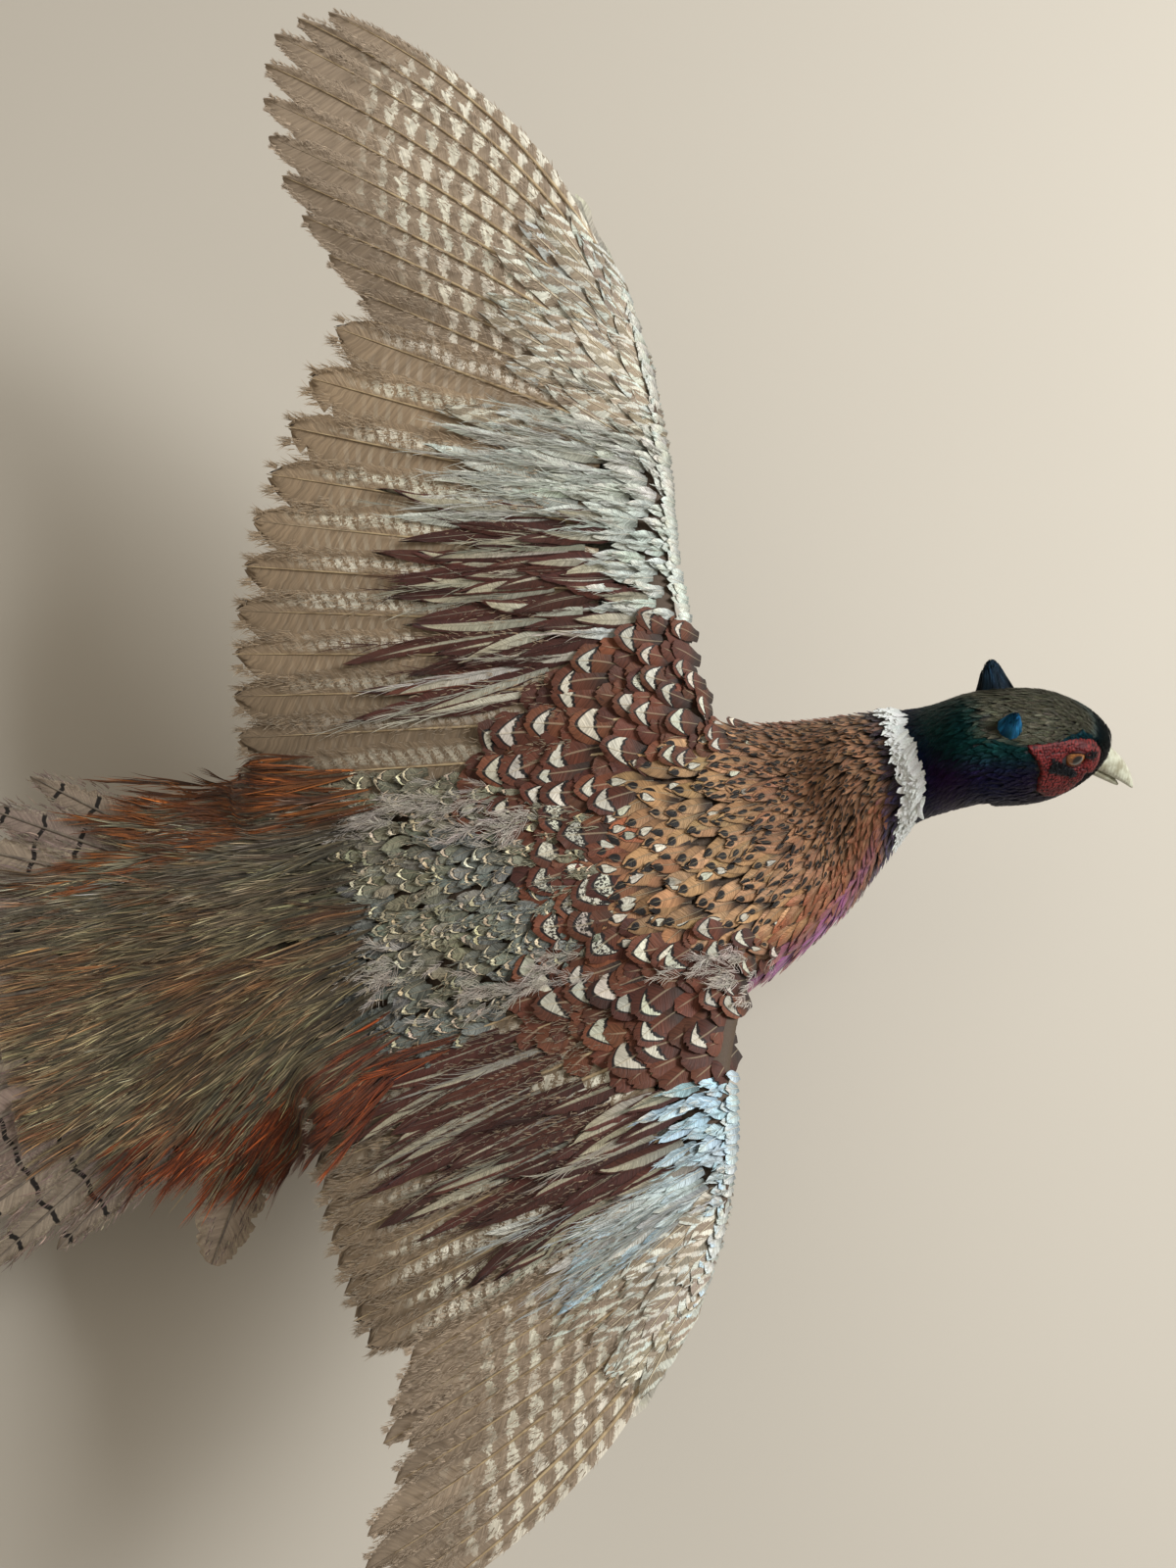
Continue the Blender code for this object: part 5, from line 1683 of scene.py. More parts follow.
@dataclass
class Tail:
    """Graduated fan of eighteen feathers, with their shafts and loose fringes."""

    angles: tuple[float, ...] = (1.6, 4.8, 8.3, 12.0, 16.5, 21.5, 27.0, 33.0, 40.0)
    lengths: tuple[float, ...] = (0.478, 0.455, 0.395, 0.330, 0.282, 0.245, 0.210, 0.182, 0.158)
    low: tuple[float, float] = (-0.610, -0.170)
    high: tuple[float, float] = (-0.100, 0.150)

    def __post_init__(self) -> None:
        """Field of heights over the fan and the plumage on its root."""
        flat = dict(LEVEL, low=self.low, high=self.high)
        nodes = ("tail_left", "tail_middle", "tail_right")
        self.top = height_field(nodes, **flat, spacing=0.003, soften=3)
        self.under = height_field(nodes, **flat, spacing=0.003, soften=3, under=True)

    def lines(self, steps: int) -> tuple[Array, Array, Array, Array]:
        """Centre lines, directions, lengths and sides of all feathers, outermost first.

        Each runs straight at its angle from its root on the fan's base line.
        """
        angle, length, side = [], [], []
        for hand in (1, -1):
            for i, (a, n) in enumerate(zip(self.angles, self.lengths)):
                if hand < 0 and i == len(self.angles) - 2:
                    a, n = a - 1.5, n - 0.012
                if hand < 0 and i == len(self.angles) - 1:
                    a, n = 55.0, 0.128
                angle.append(a)
                length.append(n)
                side.append(hand)
        angle, length, side = np.array(angle), np.array(length), np.array(side)
        turn = np.radians(angle * side + TAIL_TURN)
        way = np.stack([-np.cos(turn), np.sin(turn)], -1)
        root = np.stack([np.full(len(angle), TAIL_ROOT[0]),
                         TAIL_ROOT[1] + side * TAIL_ROOT_HALF * np.minimum(angle / 45, 1)], -1)
        v = np.linspace(0.0, 1.0, steps)
        centre = root[:, None] + way[:, None] * (length[:, None] * v)[..., None]
        return centre, np.broadcast_to(way[:, None], centre.shape), length, side * angle

    def build(self) -> None:
        """Vanes, shafts and fringes."""
        draw = np.random.default_rng(71)
        rows, cols = 90, 12
        centre, way, length, angle = self.lines(rows + 1)
        n = len(length)
        v, u = vane_steps(rows, cols)
        half = (0.0150 + 0.013 * length)[:, None, None] * np.ones_like(u)
        half = half * np.where(u * np.sign(angle)[:, None, None] < 0, 0.85, 1.15)
        short = (angle < -50)[:, None, None]
        half = half * np.where(short, 1.05, np.where(angle < -30, 1.15, 1.0)[:, None, None])
        closing = (1 - (0.992 * v) ** np.where(short, 7.0, 2.6)) ** np.where(short, 0.5, 0.75)
        outline = (0.55 + 0.45 * ease(v, 0, 0.2)) * closing
        comb = 1 - 0.30 * draw.random((n, rows + 1, 1)) ** 2 * ease(np.abs(u), 0.5, 1.0)
        across = u * half * outline * comb
        out = np.stack([-way[..., 1], way[..., 0]], -1)
        place = centre[:, :, None] + out[:, :, None] * across[..., None]
        rank = np.abs(angle) / 40.0
        height = (0.0012 - 0.0030 * rank[:, None, None] - 0.0020 * np.abs(u) ** 2 * half / 0.02
                  + draw.normal(0, 0.0008, (n, 1, 1)) * v)
        points = self.top.raised(place, height)
        vane = vane_map(n, v, u)
        number = np.arange(n)
        bake = strip_map(vane, 0.96)
        tint = varied(blend(TAIL_OLIVE, TAIL_MAUVE, 0.5 * draw.random(n)), n, draw, 0.10)
        spots = Spots(number[:, None], number, length, half[:, 0, :].max(axis=1) * 2, tint,
                      varied((0.40, 0.35, 0.25), n, draw, 0.08), np.where(angle < -50, 0.15, 1.0))
        finish = FeatherFinish("tail_barred", Marking.TAIL, 0.60, 0.30, 12.0, (0.36, 0.31, 0.22), 0.045, 0.9,
                               0.1)
        sheet = feather_sheet(points, vane, bake, spots, draw.random(n), self.top.facing)
        ride(sheet.piece("tail_feathers", finish.material()), "plumage_tail", "tail_left", "tail_middle",
             "tail_right")
        shaft = HornFinish("tail_shaft", (0.20, 0.17, 0.13), (0.11, 0.09, 0.075), 0.5)
        shafts(self.top, centre, out, (0.0017, 0.0003), height[:, :, cols // 2], 0.0003, "tail_shafts", shaft,
               "plumage_tail")
        self.fringe(centre, way, out, length, draw)

    def fringe(self, centre: Array, way: Array, out: Array, length: Array, draw: np.random.Generator) -> None:
        """Loose mauve barbs that leave the feathers' edges at a slant."""
        per = 230
        n = len(length)
        pick = np.repeat(np.arange(n), per)
        along = draw.uniform(0.10, 0.97, n * per)
        row = (along * (centre.shape[1] - 1)).astype(int)
        hand = np.where(draw.random(n * per) < 0.5, 1.0, -1.0)
        inner = np.minimum(1.0, length[pick] / 0.30)
        start = hand * (0.010 + 0.008 * draw.random(n * per)) * (1 - along**4)
        root = centre[pick, row] + out[pick, row] * start[:, None]
        heading = np.arctan2(way[pick, row, 1], way[pick, row, 0])
        tilt = draw.uniform(0.12, 0.42, n * per)
        heading = heading + hand * tilt
        m = n * per
        spots = Spots(root, heading, draw.uniform(0.010, 0.024, m) * inner**2,
                      draw.uniform(0.0004, 0.0008, m),
                      varied(blend(TAIL_MAUVE, TAIL_OLIVE, 0.35 + 0.65 * draw.random(m)), m, draw, 0.25),
                      varied(TAIL_MAUVE, m, draw, 0.3), draw.random(m), -hand * tilt * 0.5)
        loosened = barb(-0.0004, 0.0008, 0.16, 0.001, 5)
        finish = barb_finish("tail_fringe", 0.55, 0.2, 0.2)
        loosened.coat(self.top, spots, 73, "tail_fringe", finish, "plumage_tail")


# ---- coat of the body ---------------------------------------------------------------------
FACE_OUTLINE = np.array([(-0.0096, 0.0105), (-0.0034, 0.0118), (0.0058, 0.0128), (0.0162, 0.0122),
                         (0.0250, 0.0100), (0.0296, 0.0055), (0.0296, 0.0005), (0.0272, -0.0034),
                         (0.0225, -0.0032), (0.0224, -0.0085), (0.0226, -0.0135), (0.0195, -0.0180),
                         (0.0130, -0.0185), (0.0069, -0.0164), (0.0024, -0.0125), (0.0002, -0.0060),
                         (-0.0005, -0.0003), (-0.0042, 0.0050),])


def face_distance(p: Array, q: Array) -> Array:
    """Metres outside the bare face's outline; negative within it.

    The least distance to the outline's edges, with its sign from the count of edges
    that lie to one side.

    Args:
        p: metres forward on the head.
        q: metres up on the head.
    """
    best = np.full(np.shape(p), np.inf)
    within = np.zeros(np.shape(p), dtype=bool)
    for (x0, y0), (x1, y1) in zip(FACE_OUTLINE, np.roll(FACE_OUTLINE, -1, axis=0)):
        dx, dy = x1 - x0, y1 - y0
        f = np.clip(((p - x0) * dx + (q - y0) * dy) / (dx * dx + dy * dy), 0, 1)
        best = np.minimum(best, np.hypot(p - x0 - f * dx, q - y0 - f * dy))
        within ^= ((y0 > q) != (y1 > q)) & (p < dx * (q - y0) / (dy + 1e-12) + x0)
    return np.where(within, -best, best)


def smooth_random(at: Array, scale: float, seed: int) -> Array:
    """Slow random values from -1 to 1: a sum of eight plane waves of random heading."""
    draw = np.random.default_rng(seed)
    total = np.zeros(at.shape[:-1])
    for _ in range(8):
        way = draw.normal(0, 1, at.shape[-1]) / scale
        total = total + np.sin(at @ way + draw.uniform(0, TAU))
    return total / 4.0


@dataclass
class Coat:
    """Feathers of neck, head, breast, belly and thighs, in rings round the body's loft."""

    surface: Surface = field(default_factory=body_surface)

    def head_place(self, root: Array) -> tuple[Array, Array, Array]:
        """Distances of roots along the head's forward, left and up."""
        away = self.surface.sample(self.surface.points, root) - HEAD_CENTRE
        return away @ FORWARD, away @ LEFT, away @ UP

    def ring_side(self, roots: Array) -> tuple[Array, Array]:
        """Metres of roots ahead of the ring's front edge and of its back edge.

        The ring stands upright; it bends back at the bird's right.
        """
        place = self.surface.sample(self.surface.points, roots)
        turn = np.arctan2(place[:, 2] - 0.180, place[:, 1] - 0.012)
        ragged = 0.0011 * smooth_random(np.stack([np.cos(turn), np.sin(turn)], -1), 0.14, 8)
        front = np.interp(place[:, 1], (-0.030, -0.016, 0.0, 0.045), (0.1800, 0.1895, 0.1930, 0.1955))
        thick = np.interp(place[:, 1], (-0.030, -0.010, 0.045), (0.0050, 0.0055, 0.0045))
        return place[:, 0] - front - ragged, place[:, 0] - front - ragged + thick

    def head(self) -> None:
        """Short glossed feathers from the ring to the bill."""
        draw = np.random.default_rng(5)

        def rear(t: float) -> float:
            """1 behind the head, 0 at the face."""
            return float(ease(t, 13, 9))

        roots = rings_of_roots(self.surface, LAST - 0.25, 6.6, lambda t: 0.0011 + 0.0010 * rear(t),
                               lambda t: 0.0012 + 0.0011 * rear(t), draw)
        roots = roots[self.ring_side(roots)[0] > 0.0005]
        forward, left, up = self.head_place(roots)
        bare = (face_distance(forward, up) < 0.0004) & (np.abs(left) > 0.0105)
        roots = roots[~bare]
        forward, left, up = self.head_place(roots)
        n, t = len(roots), roots[:, 0]
        place = np.stack([forward, left, up], -1)
        border = np.interp(forward, (-0.045, -0.025, 0.0, 0.020, 0.030),
                           (0.0170, 0.0125, 0.0125, 0.0150, 0.0110))
        crown = ease(up - border + 0.0010 * smooth_random(place, 0.003, 1), -0.0006, 0.0008)
        crown = crown * ease(forward, -0.034, -0.020) * ease(forward, 0.0300, 0.0260)
        # gloss: a painted teal sheen over the crown, blended in below
        gloss = crown * ease(smooth_random(place, 0.008, 2) + (forward - 0.014) * 90, 0.2, 1.4)
        dorsal = ease(up, -0.004, 0.010)
        base = blend(blend(NECK_NAVY, NECK_PURPLE, ease(smooth_random(place, 0.02, 3), -0.2, 0.9)),
                     NECK_GREEN, dorsal)
        under_crown = ease(border - up, 0.0050, 0.0005) * ease(forward, -0.01, 0.01) * (1 - crown)
        base = blend(base, rgb(0.004, 0.040, 0.060), under_crown * 0.7)
        black = ease(forward, 0.0245, 0.0295)
        base = base * (0.30 + 0.70 * (1 - black))[:, None]
        colour = blend(blend(base, CROWN_OLIVE, crown), CROWN_TEAL, gloss * 0.75)
        tint = varied(colour, n, draw, 0.20)
        edge = varied(colour * (1 + 0.15 * crown[:, None]), n, draw, 0.25)
        length = 0.0036 + 0.0052 * ease(t, 13.0, 8.0)
        spots = Spots(roots, np.full(n, math.pi) + draw.normal(0, 0.07, n), length * (1 + 0.25 * crown),
                      length * (0.44 - 0.12 * crown), tint, edge, draw.random(n))
        vane = Vane(4, 2, 2.2, 0.7, sink=0.0007, lift=0.00085, camber=0.2, jag=0.12, bend=0.12, stray=0.00008)
        finish = FeatherFinish("head_gloss", Marking.PLAIN, 0.42, 0.55, 6.0, root_shade=0.5,
                               shaft_strength=0.0, metallic=0.75, sheen=0.0, gloss=0.05)
        vane.coat(self.surface, spots, 6, "head_feathers", finish, "plumage_neck")

    def ring(self) -> None:
        """Ragged white ring round the neck."""
        draw = np.random.default_rng(7)
        roots = rings_of_roots(self.surface, 9.2, 6.2, lambda t: 0.0013, lambda t: 0.0019, draw)
        ahead, behind = self.ring_side(roots)
        roots = roots[(ahead < 0.0006) & (behind > 0)]
        n = len(roots)
        length = draw.uniform(0.0062, 0.0092, n)
        spots = Spots(roots, np.full(n, math.pi) + draw.normal(0, 0.20, n), length, length * 0.50,
                      varied(WHITE * 0.92, n, draw, 0.08), varied(WHITE, n, draw, 0.05), draw.random(n))
        vane = Vane(5, 2, 2.4, 0.6, sink=0.0003, lift=0.0018, camber=0.2, jag=0.25, bend=0.22, stray=0.0007)
        finish = FeatherFinish("ring_white", Marking.PLAIN, 0.6, 0.25, 6.0, root_shade=0.12,
                               shaft_strength=0.1)
        vane.coat(self.surface, spots, 9, "neck_ring", finish, "plumage_neck")

    def mantle_tints(self, roots: Array, draw: np.random.Generator) -> tuple[Array, Array, Array]:
        """Main colour, second colour and marking strength for neck base, breast and belly.

        Dark blue just behind the ring, then copper; golden on the back and flanks,
        chestnut glossed with purple on the breast, and dusky on the belly.

        Args:
            roots: (n, 2) roots on the body.
            draw: random numbers.

        Returns:
            Main colours, second colours and strengths of the marking.
        """
        t, turn = roots[:, 0], roots[:, 1]
        high = np.sin(turn)
        behind = -self.ring_side(roots)[1]
        back = ease(high, -0.10, 0.45)
        front = ease(t, 4.6, 5.6)
        right = ease(np.cos(turn), 0.25, -0.35)
        breast = ease(high - 0.30 * right, 0.42, -0.15) * ease(t, 2.6, 3.9)
        belly = ease(high, -0.55, -0.90) * (1 - ease(t, 2.4, 3.6))
        base = blend(GOLD, COPPER, front)
        base = blend(base, CHESTNUT * 1.5, breast * 0.9)
        # purple: the breast's purple gloss, painted as colour, a painted sheen on the bird's right side
        purple = ease(high, 0.50, 0.16) * ease(high, -0.75, -0.35) * ease(t, 3.4, 4.2)
        purple = purple * ease(behind, 0.008, 0.014) * right
        base = blend(base, BREAST_PURPLE, purple * ease(draw.random(len(roots)), 0.1, 0.6))
        base = blend(base, BELLY, belly)
        dark = ease(behind + draw.normal(0, 0.0016, len(roots)), 0.0090, 0.0030)
        base = blend(base, rgb(0.010, 0.010, 0.034), dark * 0.92)
        edge = blend(CHESTNUT * 2.0, BREAST_PURPLE, purple * draw.random(len(roots)))
        edge = blend(edge, rgb(0.04, 0.03, 0.10), dark)
        n = len(roots)
        return varied(base, n, draw, 0.18), varied(edge, n, draw,
                                                   0.15), 0.5 * (1 - front) * back * draw.random(n)

    def breast(self) -> None:
        """Neck base all round, then breast, flanks and belly under the wings."""
        draw = np.random.default_rng(13)

        def gap(t: float) -> float:
            """Metres between neighbours: close at the neck, wider behind."""
            return 0.0030 + 0.0058 * float(ease(t, 6.6, 3.4))

        roots = rings_of_roots(self.surface, 8.2, 0.25, lambda t: gap(t) * 1.25, gap, draw)
        under = np.sin(roots[:, 1]) < np.interp(roots[:, 0], (0.2, 4.0, 4.6, 5.0), (0.48, 0.48, 0.66, 1.1))
        roots = roots[under & (self.ring_side(roots)[1] < 0.0006)]
        n, t = len(roots), roots[:, 0]
        tint, edge, amount = self.mantle_tints(roots, draw)
        length = 0.0100 + 0.0120 * ease(t, 7.2, 3.4)
        spots = Spots(roots, np.full(n, math.pi) + draw.normal(0, 0.10, n), length,
                      length * np.interp(t, (4, 6.5), (0.55, 0.36)), tint, edge, amount)
        glossy = np.sin(roots[:, 1]) < 0.30 + 0.40 * ease(np.cos(roots[:, 1]), 0.25, -0.35)
        vane = Vane(7, 4, 2.0, 0.70, sink=0.0012, lift=0.0020, curl=0.0002, jag=0.22, bend=0.14, stray=0.0006)
        plain = FeatherFinish("neck_copper", Marking.SPOTTED, 0.50, 0.45, 8.0, root_shade=0.5, metallic=0.10)
        vane.coat(self.surface, spots.kept(~glossy), 14, "neck_copper", plain, "plumage_mantle")
        gloss = FeatherFinish("breast_gloss", Marking.PLAIN, 0.40, 0.40, 8.0, root_shade=0.5, metallic=0.30,
                              shaft_strength=0.15)
        vane.coat(self.surface, spots.kept(glossy), 15, "breast_feathers", gloss, "plumage_mantle")


# ---- coat of the back ---------------------------------------------------------------------
LEFT_SCAPULARS = ((-0.012, 0.030), (0.030, 0.030), (0.060, 0.034), (0.100, 0.046), (0.128, 0.062),
                  (0.122, 0.106), (0.080, 0.104), (0.030, 0.084), (-0.008, 0.060))
RIGHT_SCAPULARS = ((-0.008, -0.040), (0.030, -0.030), (0.060, -0.034), (0.100, -0.046), (0.124, -0.062),
                   (0.112, -0.102), (0.075, -0.108), (0.030, -0.092), (-0.006, -0.066))
LEFT_REAR = ((-0.012, 0.030), (0.030, 0.030), (0.060, 0.034), (0.080, 0.040), (0.080, 0.104), (0.030, 0.084),
             (-0.008, 0.060))
LEFT_FRONT = ((0.080, 0.040), (0.104, 0.044), (0.134, 0.056), (0.128, 0.113), (0.080, 0.110))
RIGHT_REAR = ((-0.008, -0.040), (0.030, -0.036), (0.060, -0.036), (0.080, -0.040), (0.080, -0.108),
              (0.030, -0.092), (-0.006, -0.066))
RIGHT_FRONT = ((0.080, -0.040), (0.104, -0.044), (0.134, -0.056), (0.120, -0.110), (0.080, -0.114))
# outline, speckling and spacing of the marked feathers
SCAPULAR_ZONES = (
    (LEFT_REAR, 0.30, (0.0135, 0.0150)),
    (LEFT_FRONT, 0.10, (0.0098, 0.0110)),
    (RIGHT_REAR, 0.20, (0.0145, 0.0160)),
    (RIGHT_FRONT, 0.10, (0.0098, 0.0110)),
    (((0.012, -0.032), (0.046, -0.034), (0.048, 0.034), (0.012, 0.032)), 1.0, (0.0130, 0.0140)),
)
# x, y, length, breadth and number of down plumes
DOWN_PATCHES = ((-0.046, 0.048, 0.050, 0.010, 60), (-0.060, -0.022, 0.016, 0.010, 20),
                (-0.004, -0.044, 0.030, 0.009, 34), (0.004, 0.030, 0.020, 0.008, 22),
                (0.088, -0.054, 0.020, 0.010, 15), (0.098, -0.070, 0.014, 0.010, 8))


@dataclass
class Back:
    """Mantle, scapulars, shields, scalloped back and streaming rump over trunk and wing roots."""

    low: tuple[float, float] = (-0.260, -0.150)
    high: tuple[float, float] = (0.160, 0.150)

    def __post_init__(self) -> None:
        """Field of heights over trunk, neck, tail root and the wings' arms."""
        flat = dict(LEVEL, low=self.low, high=self.high)
        nodes = ("trunk", "neck", "tail_coverts", "tail_left", "tail_middle", "tail_right", "wing_left_arm",
                 "wing_right_arm")
        self.top = height_field(nodes, **flat, soften=5)
        self.under = height_field(("trunk", "tail_coverts", "tail_left", "tail_middle", "tail_right"), **flat,
                                  soften=5, under=True)

    @staticmethod
    def inside(at: Array, outline: tuple[tuple[float, float], ...]) -> Array:
        """Whether places lie in an outline, by the count of its edges to one side."""
        x, y = at[:, 0], at[:, 1]
        found = np.zeros(len(at), dtype=bool)
        corners = np.array(outline)
        for (x0, y0), (x1, y1) in zip(corners, np.roll(corners, -1, axis=0)):
            crosses = (y0 > y) != (y1 > y)
            found ^= crosses & (x < (x1 - x0) * (y - y0) / (y1 - y0 + 1e-12) + x0)
        return found

    @staticmethod
    def mark(root: Array, heading: Array, length: Array, share: float = 0.72) -> Array:
        """Place of a feather's marking: its root plus a share of its length along its heading."""
        return root + np.stack([np.cos(heading), np.sin(heading)], -1) * (length * share)[:, None]

    def heading(self, root: Array) -> Array:
        """Lie of the coat: straight back, spreading a little with distance from the spine."""
        away = np.clip(root[:, 1] / 0.08, -1.3, 1.3)
        return np.pi - away * np.interp(root[:, 0], (-0.2, -0.02, 0.12), (0.05, 0.12, 0.30))

    def mantle(self) -> None:
        """Golden feathers with dark notches, and cream teeth toward the back."""
        draw = np.random.default_rng(17)
        roots = grid_of_roots((0.050, -0.064), (0.150, 0.064), (0.0066, 0.0078), draw, 0.26)
        edge_line = np.interp(roots[:, 0], (0.05, 0.08, 0.115, 0.150), (0.034, 0.040, 0.055, 0.060))
        roots = roots[(np.abs(roots[:, 1]) < edge_line) & self.top.covered(roots)]
        n, x = len(roots), roots[:, 0]
        warm = blend(blend(GOLD, COPPER, ease(x, 0.105, 0.145)), CHESTNUT * 1.5,
                     ease(x + draw.normal(0, 0.010, n), 0.090, 0.050))
        length = np.interp(x, (0.05, 0.10, 0.148), (0.0240, 0.0200, 0.0150)) * draw.uniform(0.9, 1.1, n)
        toothed = np.interp(x, (0.05, 0.09, 0.12, 0.145), (0.55, 0.34, 0.16, 0.05))
        toothed = toothed + 0.12 * ease(np.abs(roots[:, 1]), 0.02, 0.045)
        spots = Spots(roots, self.heading(roots) + draw.normal(0, 0.13, n), length,
                      length * np.interp(x, (0.05, 0.10, 0.148), (0.50, 0.52, 0.40)),
                      varied(warm, n, draw, 0.20), varied(CREAM * 0.68, n, draw, 0.14),
                      np.clip(0.58 + toothed - draw.random(n), 0, 1))
        vane = Vane(7, 6, 3.0, 0.60, sink=0.0010, lift=0.0018, camber=0.10, jag=0.16, bend=0.10, stray=0.0006)
        finish = FeatherFinish("mantle_spotted", Marking.SPOTTED, 0.52, 0.45, 9.0, root_shade=0.4,
                               metallic=0.08)
        vane.coat(self.top, spots, 18, "mantle_feathers", finish, "plumage_mantle")

    def shields(self) -> None:
        """Scapulars on both shoulders and the pale row behind the mantle.

        Marked feathers stand well apart over plain chestnut ones; they are small at the
        shoulders and long behind.
        """
        draw = np.random.default_rng(19)
        roots, amount = [], []
        for outline, speckled, step in SCAPULAR_ZONES:
            for spacing, marked in ((step, True), ((0.0072, 0.0080), False)):
                some = grid_of_roots((-0.020, -0.118), (0.160, 0.118), spacing, draw, 0.28)
                reach = self.scapular_length(some[:, 0])
                some = some[self.inside(self.mark(some, self.heading(some), reach), outline)]
                roots.append(some)
                amount.append(np.clip(speckled + draw.normal(0, 0.25, len(some)), 0.1, 1) * marked)
        roots, amount = np.concatenate(roots), np.concatenate(amount)
        inside = self.top.covered(roots)
        roots, amount = roots[inside], amount[inside]
        n, marked = len(roots), amount > 0
        length = self.scapular_length(roots[:, 0]) * draw.uniform(0.90, 1.10, n)
        tint = varied(blend(CHESTNUT, MAROON, draw.random(n)), n, draw, 0.22)
        spots = Spots(roots, self.heading(roots) + draw.normal(0, 0.14, n), length, length * 0.62, tint,
                      varied(CREAM * 0.66, n, draw, 0.14), amount, None, np.where(marked, 0.0006, -0.0012))
        vane = Vane(10, 6, 4.6, 0.50, sink=0.0016, lift=0.0034, curl=0.0006, camber=0.18, jag=0.12, bend=0.10,
                    stray=0.0010)
        finish = FeatherFinish("scapular_shield", Marking.SHIELD, 0.58, 0.45, 11.0, root_shade=0.3)
        vane.coat(self.top, spots, 20, "scapulars", finish, "plumage_mantle")

    @staticmethod
    def scapular_length(x: Array) -> Array:
        """Metres of the scapulars by their place: short at the shoulder, long behind."""
        return np.interp(x, (0.02, 0.07, 0.105, 0.135), (0.0330, 0.0290, 0.0200, 0.0130))

    def loin(self) -> None:
        """Scalloped grey-green feathers of the lower back, with plain blue-grey ones."""
        draw = np.random.default_rng(21)
        roots = grid_of_roots((-0.170, -0.078), (0.048, 0.078), (0.0054, 0.0068), draw, 0.30)
        wide = np.interp(roots[:, 0], (-0.17, -0.09, -0.03, 0.010, 0.048),
                         (0.056, 0.072, 0.066, 0.050, 0.034))
        roots = roots[(np.abs(roots[:, 1]) < wide)]
        n, x = len(roots), roots[:, 0]
        slow = smooth_random(roots, 0.022, 22)
        blue = ease(slow + draw.normal(0, 0.3, n) - roots[:, 1] * 14, -0.2, 0.7)
        length = np.interp(x, (-0.17, -0.05, 0.048), (0.030, 0.0160, 0.0140))
        tint = varied(blend(SAGE, BLUE_GREY, blue), n, draw, 0.18)
        # painted shade: darker toward the rear, where the rump's plumes lie over these feathers
        tint = blend(tint, OLIVE * 0.30, ease(x, -0.06, -0.11))
        scalloped = ease(x + draw.normal(0, 0.014, n), -0.095, -0.060)
        spots = Spots(roots, self.stream(roots) + draw.normal(0, 0.14, n), length, length * 0.54, tint,
                      varied((0.66, 0.57, 0.39), n, draw, 0.26), scalloped * draw.uniform(0.15, 1.0, n))
        vane = Vane(7, 4, 2.6, 0.65, sink=0.0012, lift=0.0026, curl=0.0004, jag=0.35, bend=0.14, stray=0.0010)
        finish = FeatherFinish("back_scallop", Marking.SCALLOP, 0.58, 0.75, 7.0, root_shade=0.5)
        vane.coat(self.top, spots, 23, "back_feathers", finish, "plumage_rump")
        soft = spots.kept((x > -0.09) & (draw.random(n) < 0.30))
        soft = soft.barbs(self.top, draw, 9, 0.35, 0.45, 0.00045, lift=0.0030, start=0.20)
        loosened = barb(-0.0004, 0.0012, 0.2, 0.0008)
        finish = barb_finish("back_soft", 0.55, 0.2, 0.1)
        loosened.coat(self.top, soft, 24, "back_soft", finish, "plumage_rump")

    @staticmethod
    def stream(root: Array) -> Array:
        """Lie of the rump's plumage: it turns outwards to both flanks, most to the right."""
        x, y = root[:, 0], root[:, 1]
        turn = np.where(y < 0.01, (0.01 - y) * 8.0, (0.01 - y) * 3.2)
        return np.pi + turn * ease(x, 0.0, -0.09) * (1 - 0.55 * ease(x, -0.14, -0.20))

    def rump(self) -> None:
        """Long plumes whose loose barbs stream back over the tail's root.

        Each plume is a shaft with barbs on both sides; olive and bronze over the
        middle, blue-grey at its front, rust on both flanks.
        """
        draw = np.random.default_rng(25)
        roots = np.concatenate([
            np.stack([draw.uniform(-0.195, -0.062, 900), draw.uniform(-0.080, 0.072, 900)], -1),
            np.stack([draw.normal(-0.112, 0.026, 150), draw.normal(0.062, 0.009, 150)], -1),
            np.stack([draw.normal(-0.105, 0.024, 220), draw.normal(-0.064, 0.009, 220)], -1),
        ])
        rust = np.arange(len(roots)) >= 900
        wide = np.interp(roots[:, 0], (-0.175, -0.12, -0.05), (0.052, 0.066, 0.064))
        keep = rust | (np.abs(roots[:, 1]) < wide)
        roots, rust = roots[keep], rust[keep]
        n, x = len(roots), roots[:, 0]
        slow = smooth_random(roots, 0.016, 26)
        blue = ease(slow + draw.normal(0, 0.25, n), 0.1, 0.8)
        blue = blue * ease(x - 1.2 * np.clip(roots[:, 1], 0, 0.04), -0.125, -0.085)
        bronze = ease(smooth_random(roots, 0.014, 30) + draw.normal(0, 0.25, n), 0.25, 0.9)
        tint = blend(blend(OLIVE * 0.55, RUST * 0.8, bronze * 0.6), BLUE_GREY * 0.8,
                     blue)
        saturated = np.where(roots[:, 1:] < 0, rgb(1.0, 0.66, 0.5), 1.0)
        tint[rust] = (RUST * 0.75 * saturated)[rust]
        far = blend(OLIVE * 1.7, RUST * 1.4, bronze * 0.6)
        far = blend(far, BLUE_GREY * 1.5, 0.7 * ease(roots[:, 1], 0.010, 0.045) * draw.random(n))
        far[rust] = (RUST * 1.20 * saturated)[rust]
        length = np.where(rust, draw.uniform(0.032, 0.052, n), draw.uniform(0.034, 0.062, n))
        length = length * np.interp(x, (-0.175, -0.05), (1.15, 0.70))
        heading = self.stream(roots) + draw.normal(0, 0.06, n) + 0.14 * smooth_random(roots, 0.03, 27)
        plumes = Spots(roots, heading, length, np.full(n, 0.001), varied(tint, n, draw, 0.28),
                       varied(far, n, draw, 0.24), np.zeros(n), draw.normal(0, 0.06, n),
                       0.0010 + 0.0026 * ease(x, -0.17, -0.05) + 0.0012 * draw.random(n))
        loosened = barb(0.0004, 0.0016, 0.05, 0.0014, 6, 1.4)
        finish = barb_finish("rump_hair", 0.46, 0.20, 0.30, 0.2)
        for name, mask, count, seed in (("rump_hair", ~rust, 20, 28), ("flank_tufts", rust, 26, 29)):
